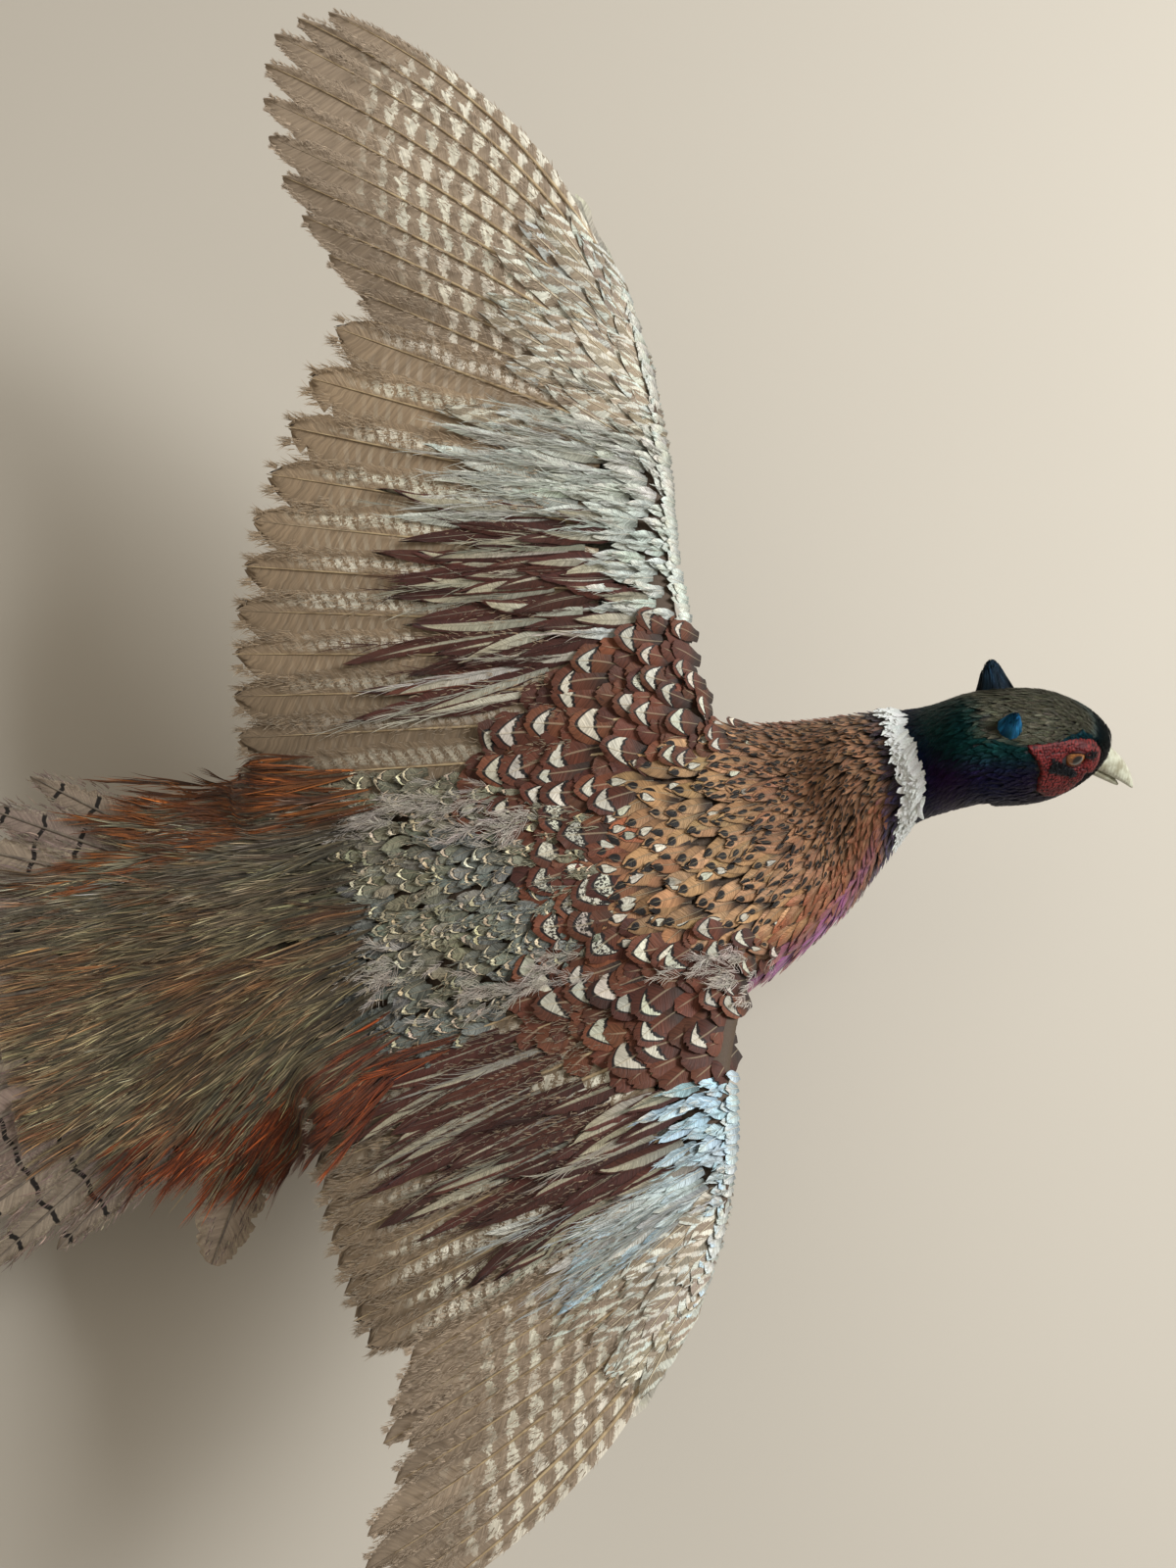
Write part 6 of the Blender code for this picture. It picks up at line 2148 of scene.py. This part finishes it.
            loose = plumes.kept(mask).barbs(self.top, draw, count, 0.09, 0.85, 0.00080, lift=0.0018,
                                            start=0.04)
            tone = np.exp(draw.normal(-0.35, 0.55, (len(loose.length), 1)))
            loose.tint, loose.edge = np.clip(loose.tint * tone, 0, 1), np.clip(loose.edge * tone, 0, 1)
            loosened.coat(self.top, loose, seed, name, finish, "plumage_rump")

    def down(self) -> None:
        """Fluffy pinkish-grey down that shows between the coverts and behind the mantle."""
        draw = np.random.default_rng(33)
        spread = [draw.normal((x, y), (long / 2, broad / 2), (count, 2))
                  for x, y, long, broad, count in DOWN_PATCHES]
        roots = np.concatenate(spread)
        roots = roots[self.top.covered(roots)]
        n = len(roots)
        heading, length = self.heading(roots) + draw.normal(0, 0.40, n), draw.uniform(0.008, 0.015, n)
        tint, edge = varied(DOWN_GREY, n, draw, 0.14), varied(DOWN_GREY * 1.35, n, draw, 0.12)
        plumes = Spots(roots, heading, length, np.full(n, 0.001), tint, edge, np.zeros(n), None,
                       draw.uniform(0.0014, 0.0034, n))
        loose = plumes.barbs(self.top, draw, 18, 0.75, 0.55, 0.00036, lift=0.0020, start=0.05)
        loosened = barb(0.0004, 0.0014, 0.3, 0.0010, 4, 1.4)
        finish = barb_finish("down", 0.75, 0.15, 0.2, 0.3)
        loosened.coat(self.top, loose, 34, "down_tufts", finish, "plumage_rump")

    def undertail(self) -> None:
        """Dusky plumage under the tail's root."""
        draw = np.random.default_rng(35)
        roots = grid_of_roots((-0.235, -0.075), (-0.085, 0.075), (0.0080, 0.0090), draw)
        wide = np.interp(roots[:, 0], (-0.235, -0.15, -0.085), (0.030, 0.062, 0.058))
        roots = roots[np.abs(roots[:, 1]) < wide]
        n = len(roots)
        length = np.interp(roots[:, 0], (-0.235, -0.085), (0.040, 0.024))
        spots = Spots(roots, np.pi + draw.normal(0, 0.10, n), length, length * 0.45,
                      varied(blend(CHESTNUT, BELLY * 2, draw.random(n)), n, draw, 0.2),
                      varied(RUST * 0.8, n, draw, 0.2), draw.random(n))
        vane = Vane(7, 4, 2.8, 0.6, sink=0.0014, lift=0.0034, jag=0.25, bend=0.12, stray=0.0008)
        finish = FeatherFinish("undertail", Marking.PLAIN, 0.62, 0.38, 8.0, root_shade=0.35)
        vane.coat(self.under, spots, 36, "undertail_coverts", finish, "plumage_rump")


# ---- face ---------------------------------------------------------------------------------
@dataclass(frozen=True)
class EyeFinish:
    """Glass eye: dark pupil, amber iris with fine spokes, dark rim, by the angle from its axis."""

    name: str = "eye"
    pupil: float = 0.40
    iris: float = 1.00

    def material(self) -> bpy.types.Material:
        """Build the material."""
        g = Graph(self.name)
        angle = g.value("polar")
        spokes = g.noise(g.node("ShaderNodeVectorMath", {0: g.place(), 1: (1500.0, 1500.0, 1500.0)},
                                operation="MULTIPLY"), 1.0, 3.0, 0.7)
        amber = g.mix(g.step(spokes, 0.35, 0.7), (0.16, 0.050, 0.010), (0.42, 0.17, 0.035))
        amber = g.mix(g.step(angle, self.iris - 0.30, self.iris), amber, (0.05, 0.018, 0.006))
        amber = g.mix(g.step(angle, self.pupil + 0.16, self.pupil), amber, (0.10, 0.03, 0.008))
        colour = g.mix(g.step(angle, self.pupil, self.pupil - 0.05), amber, (0.002, 0.002, 0.002))
        return g.surface(colour, 0.12, Coat_Weight=1.0, Coat_Roughness=0.02, Specular_IOR_Level=0.6)


@dataclass(frozen=True)
class WattleFinish:
    """Bare red skin with painted light: bright on the bumps, painted shade in the hollows, a little wet."""

    name: str = "wattle"

    def material(self) -> bpy.types.Material:
        """Build the material."""
        g = Graph(self.name)
        place = g.place()
        bumps = g.value("bump")
        fine = g.noise(place, 2600.0, 3.0, 0.6)
        slow = g.noise(place, 180.0, 2.0, 0.5)
        # painted shade in the hollows between the domes and painted light on their tops
        red = g.mix(g.step(bumps + fine * 0.3, 0.3, 1.1), (0.022, 0.002, 0.003), (0.17, 0.018, 0.018))
        red = g.mix(g.step(slow, 0.45, 0.75), red, (0.060, 0.006, 0.008))
        g.bump(fine, 0.00015)
        return g.surface(red, 0.50, Subsurface_Weight=0.06, Subsurface_Scale=0.001, Specular_IOR_Level=0.2)


@dataclass
class Face:
    """Eye, lids, wattle, ear tuft on both sides, and the bill."""

    lid: tuple[float, float] = (0.0054, 0.0040)
    wattle_centre: tuple[float, float] = (0.0106, -0.0013)
    wattle_half: tuple[float, float] = (0.0210, 0.0175)
    wattle_steps: int = 200
    bump_gap: float = 0.00125
    bump_height: float = 0.00062
    tuft_radius: float = 0.0062
    line_feathers: int = 620

    def eye(self, side: int, word: str) -> None:
        """Ball round the eye's axis, with the angle from it stored for the iris, and its lids.

        Args:
            side: 1 left, -1 right.
            word: the same in a word.
        """
        rows, cols = 48, 48
        angle = np.linspace(0.012, math.pi - 0.012, rows)
        turn = np.linspace(0, TAU, cols + 1)[:-1]
        axis = unit(LEFT * side + FORWARD * 0.10 + UP * 0.04)
        first = unit(np.cross(axis, UP))
        second = np.cross(axis, first)
        centre = on_head(EYE_FORWARD, side * EYE_SIDE, EYE_UP)
        ring = np.cos(turn)[:, None] * first + np.sin(turn)[:, None] * second
        bulge = EYE_RADIUS * (1 + 0.05 * np.exp(-(angle / 0.8) ** 2))
        ahead, aside = (np.cos(angle) * bulge)[:, None, None], (np.sin(angle) * bulge)[:, None, None]
        points = centre + ahead * axis + aside * ring
        sheet = closed_grid(points)
        sheet.marks["polar"] = np.repeat(angle, cols)
        ride(outward(sheet.piece(f"eyeball_{word}", EyeFinish().material())), "eye_glass", f"eye_{word}")
        rim = np.linspace(0, TAU, 73)[:-1]
        across, high = self.lid[0] * np.cos(rim), self.lid[1] * np.sin(rim)
        away = np.sqrt(EYE_RADIUS**2 - (across**2 + high**2)) + 0.0002
        path = on_head(EYE_FORWARD + across, side * (EYE_SIDE + away), EYE_UP + high)
        spin = np.linspace(0, TAU, 13)[:-1]
        out = unit(path - (centre + LEFT * side * 0.002))
        along = unit(np.roll(path, -1, 0) - np.roll(path, 1, 0))
        other = np.cross(along, out)
        thick = 0.00055 + 0.00025 * np.clip(np.sin(rim), 0, 1)
        tube = (path[:, None] + thick[:, None, None] * (np.cos(spin)[None, :, None] * out[:, None]
                                                        + np.sin(spin)[None, :, None] * other[:, None]))
        faces = grid_faces(73, 12, True)
        faces = np.where(faces >= 72 * 12, faces - 72 * 12, faces)
        # a bump of 0.1 gives the lids the wattle's painted shade of the hollows
        lids = Sheet(tube.reshape(-1, 3), faces, {}, {"bump": np.full(72 * 12, 0.1)})
        ride(outward(lids.piece(f"lids_{word}", WattleFinish(f"lids_{word}").material())), "face_red")

    def wattle(self, side: int, word: str) -> None:
        """Bumpy bare skin: the face's own relief plus small domes on a jittered grid.

        A dome is one less the squared distance to its centre over its radius; the
        edges of the patch and the rim of the eye hole dive under the coat.

        Args:
            side: 1 left, -1 right.
            word: the same in a word.
        """
        draw = np.random.default_rng(81 + side)
        nodes = ("head", f"wattle_{word}")
        relief = height_field(nodes, on_head(0.0, 0.0, 0.0), UP, LEFT * side, (-0.012, -0.024),
                              (0.034, 0.020), spacing=0.00045, soften=14, along=FORWARD)
        n = self.wattle_steps
        share = np.linspace(-1.05, 1.05, n)
        p, q = np.meshgrid(self.wattle_centre[0] + self.wattle_half[0] * share,
                           self.wattle_centre[1] + self.wattle_half[1] * share, indexing="ij")
        at = np.stack([p, q], -1)
        dome = self.domes(p / self.bump_gap, q / self.bump_gap, draw)
        outline = face_distance(p, q) + 0.0004 * smooth_random(at, 0.0016, 84)
        hole = np.hypot((p - EYE_FORWARD) / self.lid[0], (q - EYE_UP) / self.lid[1])
        away = np.sqrt(np.maximum(EYE_RADIUS**2 - np.minimum(hole, 1.0) ** 2 * 0.0045**2, 0))
        base = np.einsum("ijk,k->ij", relief.sample(relief.points, at) - on_head(0, 0, 0), LEFT * side)
        socket = EYE_SIDE + away + 0.0001
        height = base + (socket - base) * (1 - ease(hole, 0.95, 1.75)) + 0.0004
        height = height + self.bump_height * dome * ease(hole, 1.0, 1.3) * ease(outline, 0.0006, -0.0014)
        height = height - 0.0045 * ease(outline, -0.0002, 0.0026) - 0.0040 * ease(hole, 1.0, 0.75)
        points = on_head(p, side * height, q)
        faces = grid_faces(n, n)
        if side > 0:
            faces = faces[:, ::-1]
        shown = ((outline < 0.0022) & (hole > 0.80)).ravel()
        faces = faces[shown[faces].all(axis=1)]
        # the domes' heights, stored as bump, drive the wattle's painted shade and light
        sheet = Sheet(points.reshape(-1, 3), faces, {}, {"bump": dome.ravel()}).trimmed()
        item = sheet.piece(f"face_skin_{word}", WattleFinish(f"wattle_{word}").material())
        ride(item, "face_red", f"wattle_{word}")
        line = Surface(on_head(p, side * (height + 0.0001), q), (p[0, 0], q[0, 0]), (p[-1, 0], q[0, -1]),
                       -1 if side > 0 else 1)
        self.dark_line(line, side, word, draw)

    @staticmethod
    def domes(p: Array, q: Array, draw: np.random.Generator) -> Array:
        """Height from 0 to 1 of the greatest dome at each place, one dome in each unit cell."""
        cells = 200
        i, j = np.floor(p).astype(int), np.floor(q).astype(int)
        jitter = draw.uniform(0.15, 0.85, (cells, cells, 3))
        dome = np.zeros_like(p)
        for di in (-1, 0, 1):
            for dj in (-1, 0, 1):
                shift = jitter[(i + di) % cells, (j + dj) % cells]
                away = np.hypot(p - i - di - shift[..., 0], q - j - dj - shift[..., 1])
                size = shift[..., 2]
                dome = np.maximum(dome, (1 - (away / (0.55 + 0.35 * size)) ** 2) * (0.6 + 0.4 * size))
        return dome

    def dark_line(self, line: Surface, side: int, word: str, draw: np.random.Generator) -> None:
        """Tiny dark feathers across the wattle under the eye, and a few before it.

        Args:
            line: the wattle's surface, over metres forward and up on the head.
            side: 1 left, -1 right.
            word: the same in a word.
            draw: random numbers.
        """
        m = self.line_feathers
        f = draw.random(m)
        root = np.stack([0.0182 - 0.0150 * f,
                         -0.0030 + 0.0068 * f**1.2 + draw.uniform(-1, 1, m) * (0.0010 + 0.0020 * f)], -1)
        few = 60
        root[-few:] = np.stack([draw.uniform(0.020, 0.027, few), draw.uniform(0.0055, 0.0085, few)], -1)
        spots = Spots(root, np.full(m, math.pi) + draw.normal(0.1, 0.25, m), np.full(m, 0.0022),
                      np.full(m, 0.0008), varied((0.003, 0.004, 0.006), m, draw, 0.3),
                      varied((0.004, 0.006, 0.009), m, draw, 0.3), draw.random(m))
        vane = Vane(3, 2, 2.0, 0.7, sink=0.0002, lift=0.0006, jag=0.1, bend=0.2, stray=0.0002)
        finish = FeatherFinish(f"face_line_{word}", Marking.PLAIN, 0.4, 0.3, 5.0, shaft_strength=0.0,
                               sheen=0.0)
        vane.coat(line, spots, 85 + side, f"face_line_{word}", finish, "plumage_neck")

    def ear_tuft(self, side: int, word: str) -> None:
        """Pointed bundle of narrow feathers that leans out and back from behind the crown.

        Args:
            side: 1 left, -1 right.
            word: the same in a word.
        """
        draw = np.random.default_rng(91 + side)
        n, rows, cols = 190, 7, 2
        foot = on_head(-0.0145, side * 0.0130, 0.0150)
        top = on_head(-0.0170, side * 0.0215, 0.0290)
        axis = unit(top - foot)
        first = unit(np.cross(axis, FORWARD))
        second = np.cross(axis, first)
        turn, spread = draw.uniform(0, TAU, n), np.sqrt(draw.random(n)) * self.tuft_radius
        ring = np.cos(turn)[:, None] * first + np.sin(turn)[:, None] * second
        broad = (0.9 if side > 0 else 0.15) * (ring @ FORWARD)
        reach = ring * spread[:, None] + FORWARD * (broad * spread)[:, None]
        start = foot - axis * 0.002 + reach - FORWARD * (0.0 if side > 0 else 0.0040)
        length = np.linalg.norm(top - foot) * (1.02 - 0.40 * (spread / self.tuft_radius) ** 2) + 0.002
        end = start + axis * length[:, None] - reach * 0.50
        v = np.linspace(0, 1, rows + 1)
        centre = start[:, None] + (end - start)[:, None] * v[None, :, None]
        centre = centre - FORWARD * (0.0012 * v**2)[None, :, None]
        width = 0.0011 * (0.6 + 0.4 * ease(v, 0, 0.3)) * (1 - (0.98 * v) ** 2.4) ** 0.7
        face = unit(np.cross(axis, ring))
        u = np.linspace(-1, 1, cols + 1)
        points = centre[:, :, None] + face[:, None, None] * (width[:, None] * u)[None, ..., None]
        points = points - ring[:, None, None] * (0.0003 * u**2)[None, None, :, None]
        patch = vane_map(n, v[None, :, None], u[None, None, :])
        radial = np.stack([np.cos(turn), np.sin(turn)], -1) * (spread / self.tuft_radius * 0.48)[:, None]
        bake = 0.5 + radial[:, None, None] + (patch - 0.5) * 0.003
        # the tufts differ by side only in painted light: the right one's blue is a painted sheen, the left
        # one is dark
        colour = rgb(0.010, 0.100, 0.220) if side < 0 else rgb(0.003, 0.009, 0.016)
        far = colour * (1.5 if side < 0 else 1.8)
        spots = Spots(start, turn, length, np.full(n, 0.0022), varied(colour, n, draw, 0.3),
                      varied(far, n, draw, 0.3), draw.random(n))
        sheet = feather_sheet(points, patch, bake, spots, draw.random(n), 1)
        finish = FeatherFinish(f"ear_tuft_{word}", Marking.PLAIN, 0.50, 0.35, 5.0, metallic=0.25, sheen=0.0,
                               shaft_strength=0.0, gloss=0.12)
        ride(sheet.piece(f"ear_feathers_{word}", finish.material()), "plumage_neck", f"ear_tuft_{word}")

    def bill(self) -> None:
        """Both halves, lofted through tapering sections along a falling middle line.

        The middle falls by drop times t plus hook times t cubed; the size is (1 - t to
        the power 1.9) to the power 0.62.  The upper half carries a ridge, and a nostril under a flap.
        """
        halves = (("upper", 0.0285, 0.0120, 0.0066, 0.0085, 0.0042, -0.0060, 0.0052),
                  ("lower", 0.0205, 0.0092, 0.0052, 0.0020, 0.0030, -0.0106, 0.0020))
        finish = HornFinish("bill_horn", (0.50, 0.52, 0.41), (0.27, 0.26, 0.18), 0.40, 0.15).material()
        for word, length, drop, wide, up, down, rise, hook in halves:
            rows, cols = 60, 48
            t = np.linspace(-0.06, 0.992, rows)[:, None]
            turn = np.linspace(0, TAU, cols + 1)[None, :-1]
            taper = (1 - np.maximum(t, 0.0) ** 1.9) ** 0.62
            ridge = 1 + 0.06 * np.exp(-((turn - math.pi / 2) / 0.30) ** 2) * (word == "upper")
            side = np.cos(turn) * (wide * taper + 0.0004)
            tall = np.where(np.sin(turn) > 0, up, down) * taper * ridge + 0.0004
            high = rise - drop * t - hook * t**3 + np.sin(turn) * tall
            forward = BILL_FROM + length * t
            points = on_head(forward, side, high)
            ring = unit(points - points.mean(axis=1, keepdims=True))
            if word == "upper":
                hole = np.exp(-(((t - 0.17) / 0.055) ** 2
                                + ((np.abs(turn - math.pi / 2) - 0.95) / 0.17) ** 2))
                flap = np.exp(-(((t - 0.15) / 0.12) ** 2 + ((np.abs(turn - math.pi / 2) - 0.72) / 0.30) ** 2))
                cere = ease(t, 0.20, -0.02) * 0.0005
                points = points + ring * (0.0008 * flap - 0.0016 * hole + cere)[..., None]
            wear = 0.00008 * np.sin(t * 90 + np.sin(turn * 3) * 1.3)
            points = points + ring * wear[..., None]
            ride(outward(closed_grid(points).piece(f"bill_{word}_horn", finish)), "bill_horn", f"bill_{word}")


# ---- legs and stand -----------------------------------------------------------------------
@dataclass(frozen=True)
class LegFinish:
    """Scaled grey-buff leg: cells with darker seams, a little wax."""

    name: str = "leg_scales"

    def material(self) -> bpy.types.Material:
        """Build the material."""
        g = Graph(self.name)
        place = g.place()
        cells = g.node("ShaderNodeTexVoronoi", {"Vector": place, "Scale": 520.0},
                       feature="DISTANCE_TO_EDGE")
        fine = g.noise(place, 1500.0, 2.0)
        seam = g.step(cells, 0.0, 0.10)
        colour = g.mix(seam, (0.075, 0.062, 0.050), g.mix(fine, (0.24, 0.205, 0.155), (0.33, 0.30, 0.23)))
        g.bump(seam, 0.0005)
        return g.surface(colour, 0.5, Coat_Weight=0.1)


@dataclass(frozen=True)
class WoodFinish:
    """Oiled walnut: grain rings stretched along the board, with pores."""

    name: str = "stand_walnut"

    def material(self) -> bpy.types.Material:
        """Build the material."""
        g = Graph(self.name)
        long = g.stretched(g.place(), (5.0, 60.0, 60.0))
        rings = g.noise(long, 1.2, 4.0, 0.6)
        pores = g.noise(g.stretched(g.place(), (90.0, 1400.0, 1400.0)),
                        1.0, 2.0, 0.6)
        colour = g.mix(g.step(rings, 0.35, 0.65), (0.085, 0.042, 0.020), (0.19, 0.10, 0.050))
        colour = g.mix(g.step(pores, 0.55, 0.75) * 0.6, colour, (0.03, 0.015, 0.008))
        g.bump(rings + pores, 0.0002)
        return g.surface(colour, 0.42, Coat_Weight=0.25, Coat_Roughness=0.25)


@dataclass(frozen=True)
class RodFinish:
    """Brushed brass rod: fine rings round it and slow tarnish."""

    name: str = "stand_brass"

    def material(self) -> bpy.types.Material:
        """Build the material."""
        g = Graph(self.name)
        fine = g.noise(g.stretched(g.place(), (60.0, 60.0, 5000.0)),
                       1.0, 2.0)
        tarnish = g.noise(g.place(), 70.0, 4.0, 0.6)
        colour = g.mix(g.step(tarnish, 0.45, 0.8), (0.62, 0.45, 0.20), (0.34, 0.22, 0.10))
        g.bump(fine, 0.00005)
        return g.surface(colour, g.scaled(tarnish, 0.25, 0.2), Metallic=1.0)


# name, both ends and radii of the knobs between the leg bones, on the left side
KNUCKLES = (
    ("heel", (-0.0930, 0.0280, 0.0848), (-0.1045, 0.0261, 0.0835), (0.0056, 0.0056)),
    ("ankle", (-0.1615, 0.0244, 0.0884), (-0.1725, 0.0239, 0.0898), (0.0044, 0.0032)),
)


@dataclass
class Underside:
    """Legs, claws and stand: solids whose shapes stay, in their own finishes."""

    def dress(self) -> None:
        """Put each finish in the solids' material slots."""
        claws = HornFinish("claw_horn", (0.10, 0.085, 0.065), (0.035, 0.028, 0.022), 0.35).material()
        legs, wood, brass = LegFinish().material(), WoodFinish().material(), RodFinish().material()
        for name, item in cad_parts.items():
            chosen = None
            if name.startswith("claw_"):
                chosen = claws
            elif name.startswith(("shank_", "foot_")):
                chosen = legs
            elif name.startswith("stand_"):
                chosen = wood if name == "stand_base" else brass
            if chosen is not None:
                for place in item.material_slots:
                    place.material = chosen
                LOG.info("%s: %s", name, chosen.name)

    def knuckles(self) -> None:
        """Scaly knobs round each heel and each ankle, where two leg bones meet.

        Each is a closed tube whose radius swells as the sine of the way along it.
        """
        legs = LegFinish().material()
        for side, word in SIDES:
            for name, start, end, radius in KNUCKLES:
                f = np.linspace(0, 1, 15)
                path = blend(np.array(start), np.array(end), f) * (1, side, 1)
                girth = np.interp(f, (0, 1), radius) * (0.90 + 0.22 * np.sin(math.pi * f))
                tube = Skin().tube(path, girth, girth, np.array([0, 1.0, 0]))
                ride(outward(tube.piece(f"{name}_{word}", legs)), "leg_scale")

    def tail_root(self) -> None:
        """Olive and rust feathers on both sides of the tail's flesh, on rings round it.

        Each ring is an ellipse a coat's depth outside the flesh's own.
        """
        draw = np.random.default_rng(97)
        x, level, wide, high = np.array(TAIL_FLESH).T
        turns = np.linspace(0, TAU, 73)
        grid = np.stack([np.broadcast_to(x[:, None], (len(x), 73)),
                         -0.004 + (wide[:, None] + 0.001) * np.cos(turns),
                         level[:, None] + (high[:, None] + 0.001) * np.sin(turns)], -1)
        wrap = wrapped(grid, np.stack([x, np.full(len(x), -0.004), level], -1))
        n = 1500
        turn = draw.normal(0, 0.52, n) + math.pi * (np.arange(n) % 2)
        root = np.stack([draw.uniform(0.04, 0.86, n), turn % TAU], -1)
        length = np.interp(root[:, 0], (0, 1), (0.019, 0.026))
        warm = ease(draw.random(n), 0.35, 0.65)
        spots = Spots(root, draw.normal(0, 0.14, n), length, length * 0.40,
                      varied(blend(OLIVE * 0.7, RUST * 0.8, warm), n, draw, 0.2),
                      varied(blend(OLIVE * 1.2, RUST * 1.1, warm), n, draw, 0.2), draw.random(n))
        vane = Vane(7, 4, 2.4, 0.6, sink=0.0012, lift=0.0026, jag=0.3, bend=0.14, stray=0.0012)
        finish = FeatherFinish("tail_root", Marking.PLAIN, 0.60, 0.45, 7.0)
        vane.coat(wrap, spots, 98, "tail_root_feathers", finish, "plumage_rump")

    def thighs(self) -> None:
        """Feathers down each thigh, on a field wrapped round it."""
        draw = np.random.default_rng(95)
        for side, word in SIDES:
            hip, heel = HIP * (1, side, 1), HEEL * (1, side, 1)
            f = np.linspace(0, 1, 41)
            girth = 0.0185 * (1 - f) ** 0.7 + 0.0048
            turns = np.linspace(0, TAU, 49)
            along = unit(heel - hip)
            level = unit(np.cross(along, [0, 0, 1.0]))
            over = np.cross(level, along)
            ring = np.cos(turns)[:, None] * level + np.sin(turns)[:, None] * over
            bone = blend(hip, heel, f)
            wrap = wrapped(bone[:, None] + girth[:, None, None] * ring[None], bone)
            n = 520
            root = np.stack([draw.uniform(0.02, 0.93, n), draw.uniform(0, TAU, n)], -1)
            length = np.interp(root[:, 0], (0, 1), (0.014, 0.008))
            spots = Spots(root, draw.normal(0, 0.12, n), length, length * 0.5,
                          varied(blend(BELLY * 2, CHESTNUT, draw.random(n)), n, draw, 0.2),
                          varied(GOLD * 0.5, n, draw, 0.2), draw.random(n))
            vane = Vane(5, 4, 2.8, 0.6, sink=0.0012, lift=0.0022, jag=0.2, bend=0.1, stray=0.0006)
            finish = FeatherFinish(f"thigh_{word}", Marking.PLAIN, 0.62, 0.38, 7.0)
            vane.coat(wrap, spots, 96 + side, f"thigh_feathers_{word}", finish, "plumage_rump")


# ---- studio -------------------------------------------------------------------------------
@dataclass
class Studio:
    """Pale floor, soft light from ahead of the bird, and the camera."""

    tilt: float = 12.0
    roll: float = 12.0
    stand: tuple[float, float, float] = (0.04656, -0.12211, 0.94192)
    lens: float = 38.0

    def floor(self) -> None:
        """Wide plain floor with the faintest cloudiness."""
        low = CAD_BOX[0][2]
        size = 6.0
        corners = np.array([(-size, -size, low), (size, -size, low), (size, size, low), (-size, size, low)])
        g = Graph("floor")
        cloud = g.noise(g.place(), 3.0, 3.0)
        colour = g.mix(cloud * 0.35, (0.56, 0.535, 0.47), (0.5, 0.47, 0.405))
        item = Sheet(corners, np.array([[0, 1, 2, 3]])).piece("floor", g.surface(colour, 0.9))

    def lamp(self, name: str, place: tuple[float, float, float], size: float, power: float,
             tone: tuple[float, float, float]) -> None:
        """Square soft light that looks at the bird."""
        light = bpy.data.lights.new(name, "AREA")
        light.size = size
        light.energy = power
        light.color = tone
        item = bpy.data.objects.new(name, light)
        item.location = place
        item.rotation_euler = (Vector((0.0, 0.0, 0.15)) - Vector(place)).to_track_quat("-Z", "Y").to_euler()
        bpy.context.scene.collection.objects.link(item)

    def build(self) -> None:
        """Floor, lamps, sky light and camera."""
        self.floor()
        self.lamp("key", (1.55, 0.10, 1.45), 0.70, 47.0, (1.0, 0.99, 0.985))
        self.lamp("fill", (-0.6, 0.4, 2.2), 1.6, 5.0, (1.0, 0.90, 0.78))
        world = bpy.data.worlds.new("studio")
        world.use_nodes = True
        world.node_tree.nodes["Background"].inputs[0].default_value = (1.0, 0.88, 0.74, 1.0)
        world.node_tree.nodes["Background"].inputs[1].default_value = 0.32
        scene = bpy.context.scene
        scene.world = world
        scene.view_settings.view_transform = "Standard"
        tip, turn = math.radians(self.tilt), math.radians(self.roll)
        look = Vector((0, math.sin(tip), -math.cos(tip)))
        right, up = Vector((1, 0, 0)), Vector((0, math.cos(tip), math.sin(tip)))
        x_axis = right * math.cos(turn) - up * math.sin(turn)
        y_axis = up * math.cos(turn) + right * math.sin(turn)
        camera = bpy.data.cameras.new("camera")
        camera.lens = self.lens
        camera.sensor_width = 36.0
        item = bpy.data.objects.new("camera", camera)
        columns = (x_axis, y_axis, -look)
        item.matrix_world = Matrix([[*(column[k] for column in columns), self.stand[k]] for k in range(3)]
                                   + [[0, 0, 0, 1]])
        scene.collection.objects.link(item)
        scene.camera = item


def main() -> None:
    """Build everything in order and report each piece."""
    logging.basicConfig(level=logging.INFO, format="%(name)s %(message)s")
    Studio().build()
    wings = [Wing(**plan) for plan in WINGS]
    Skin().build(wings)
    for wing in wings:
        wing.long_feathers()
        wing.coverts()
        wing.under_coverts()
    Tail().build()
    back = Back()
    for part in (back.mantle, back.shields, back.loin, back.rump, back.down, back.undertail):
        part()
    coat = Coat()
    for part in (coat.head, coat.ring, coat.breast):
        part()
    face = Face()
    for side, word in SIDES:
        face.eye(side, word)
        face.wattle(side, word)
        face.ear_tuft(side, word)
    face.bill()
    underside = Underside()
    underside.dress()
    underside.knuckles()
    underside.tail_root()
    underside.thighs()
    bpy.context.view_layer.update()


if __name__ == "__main__":
    main()
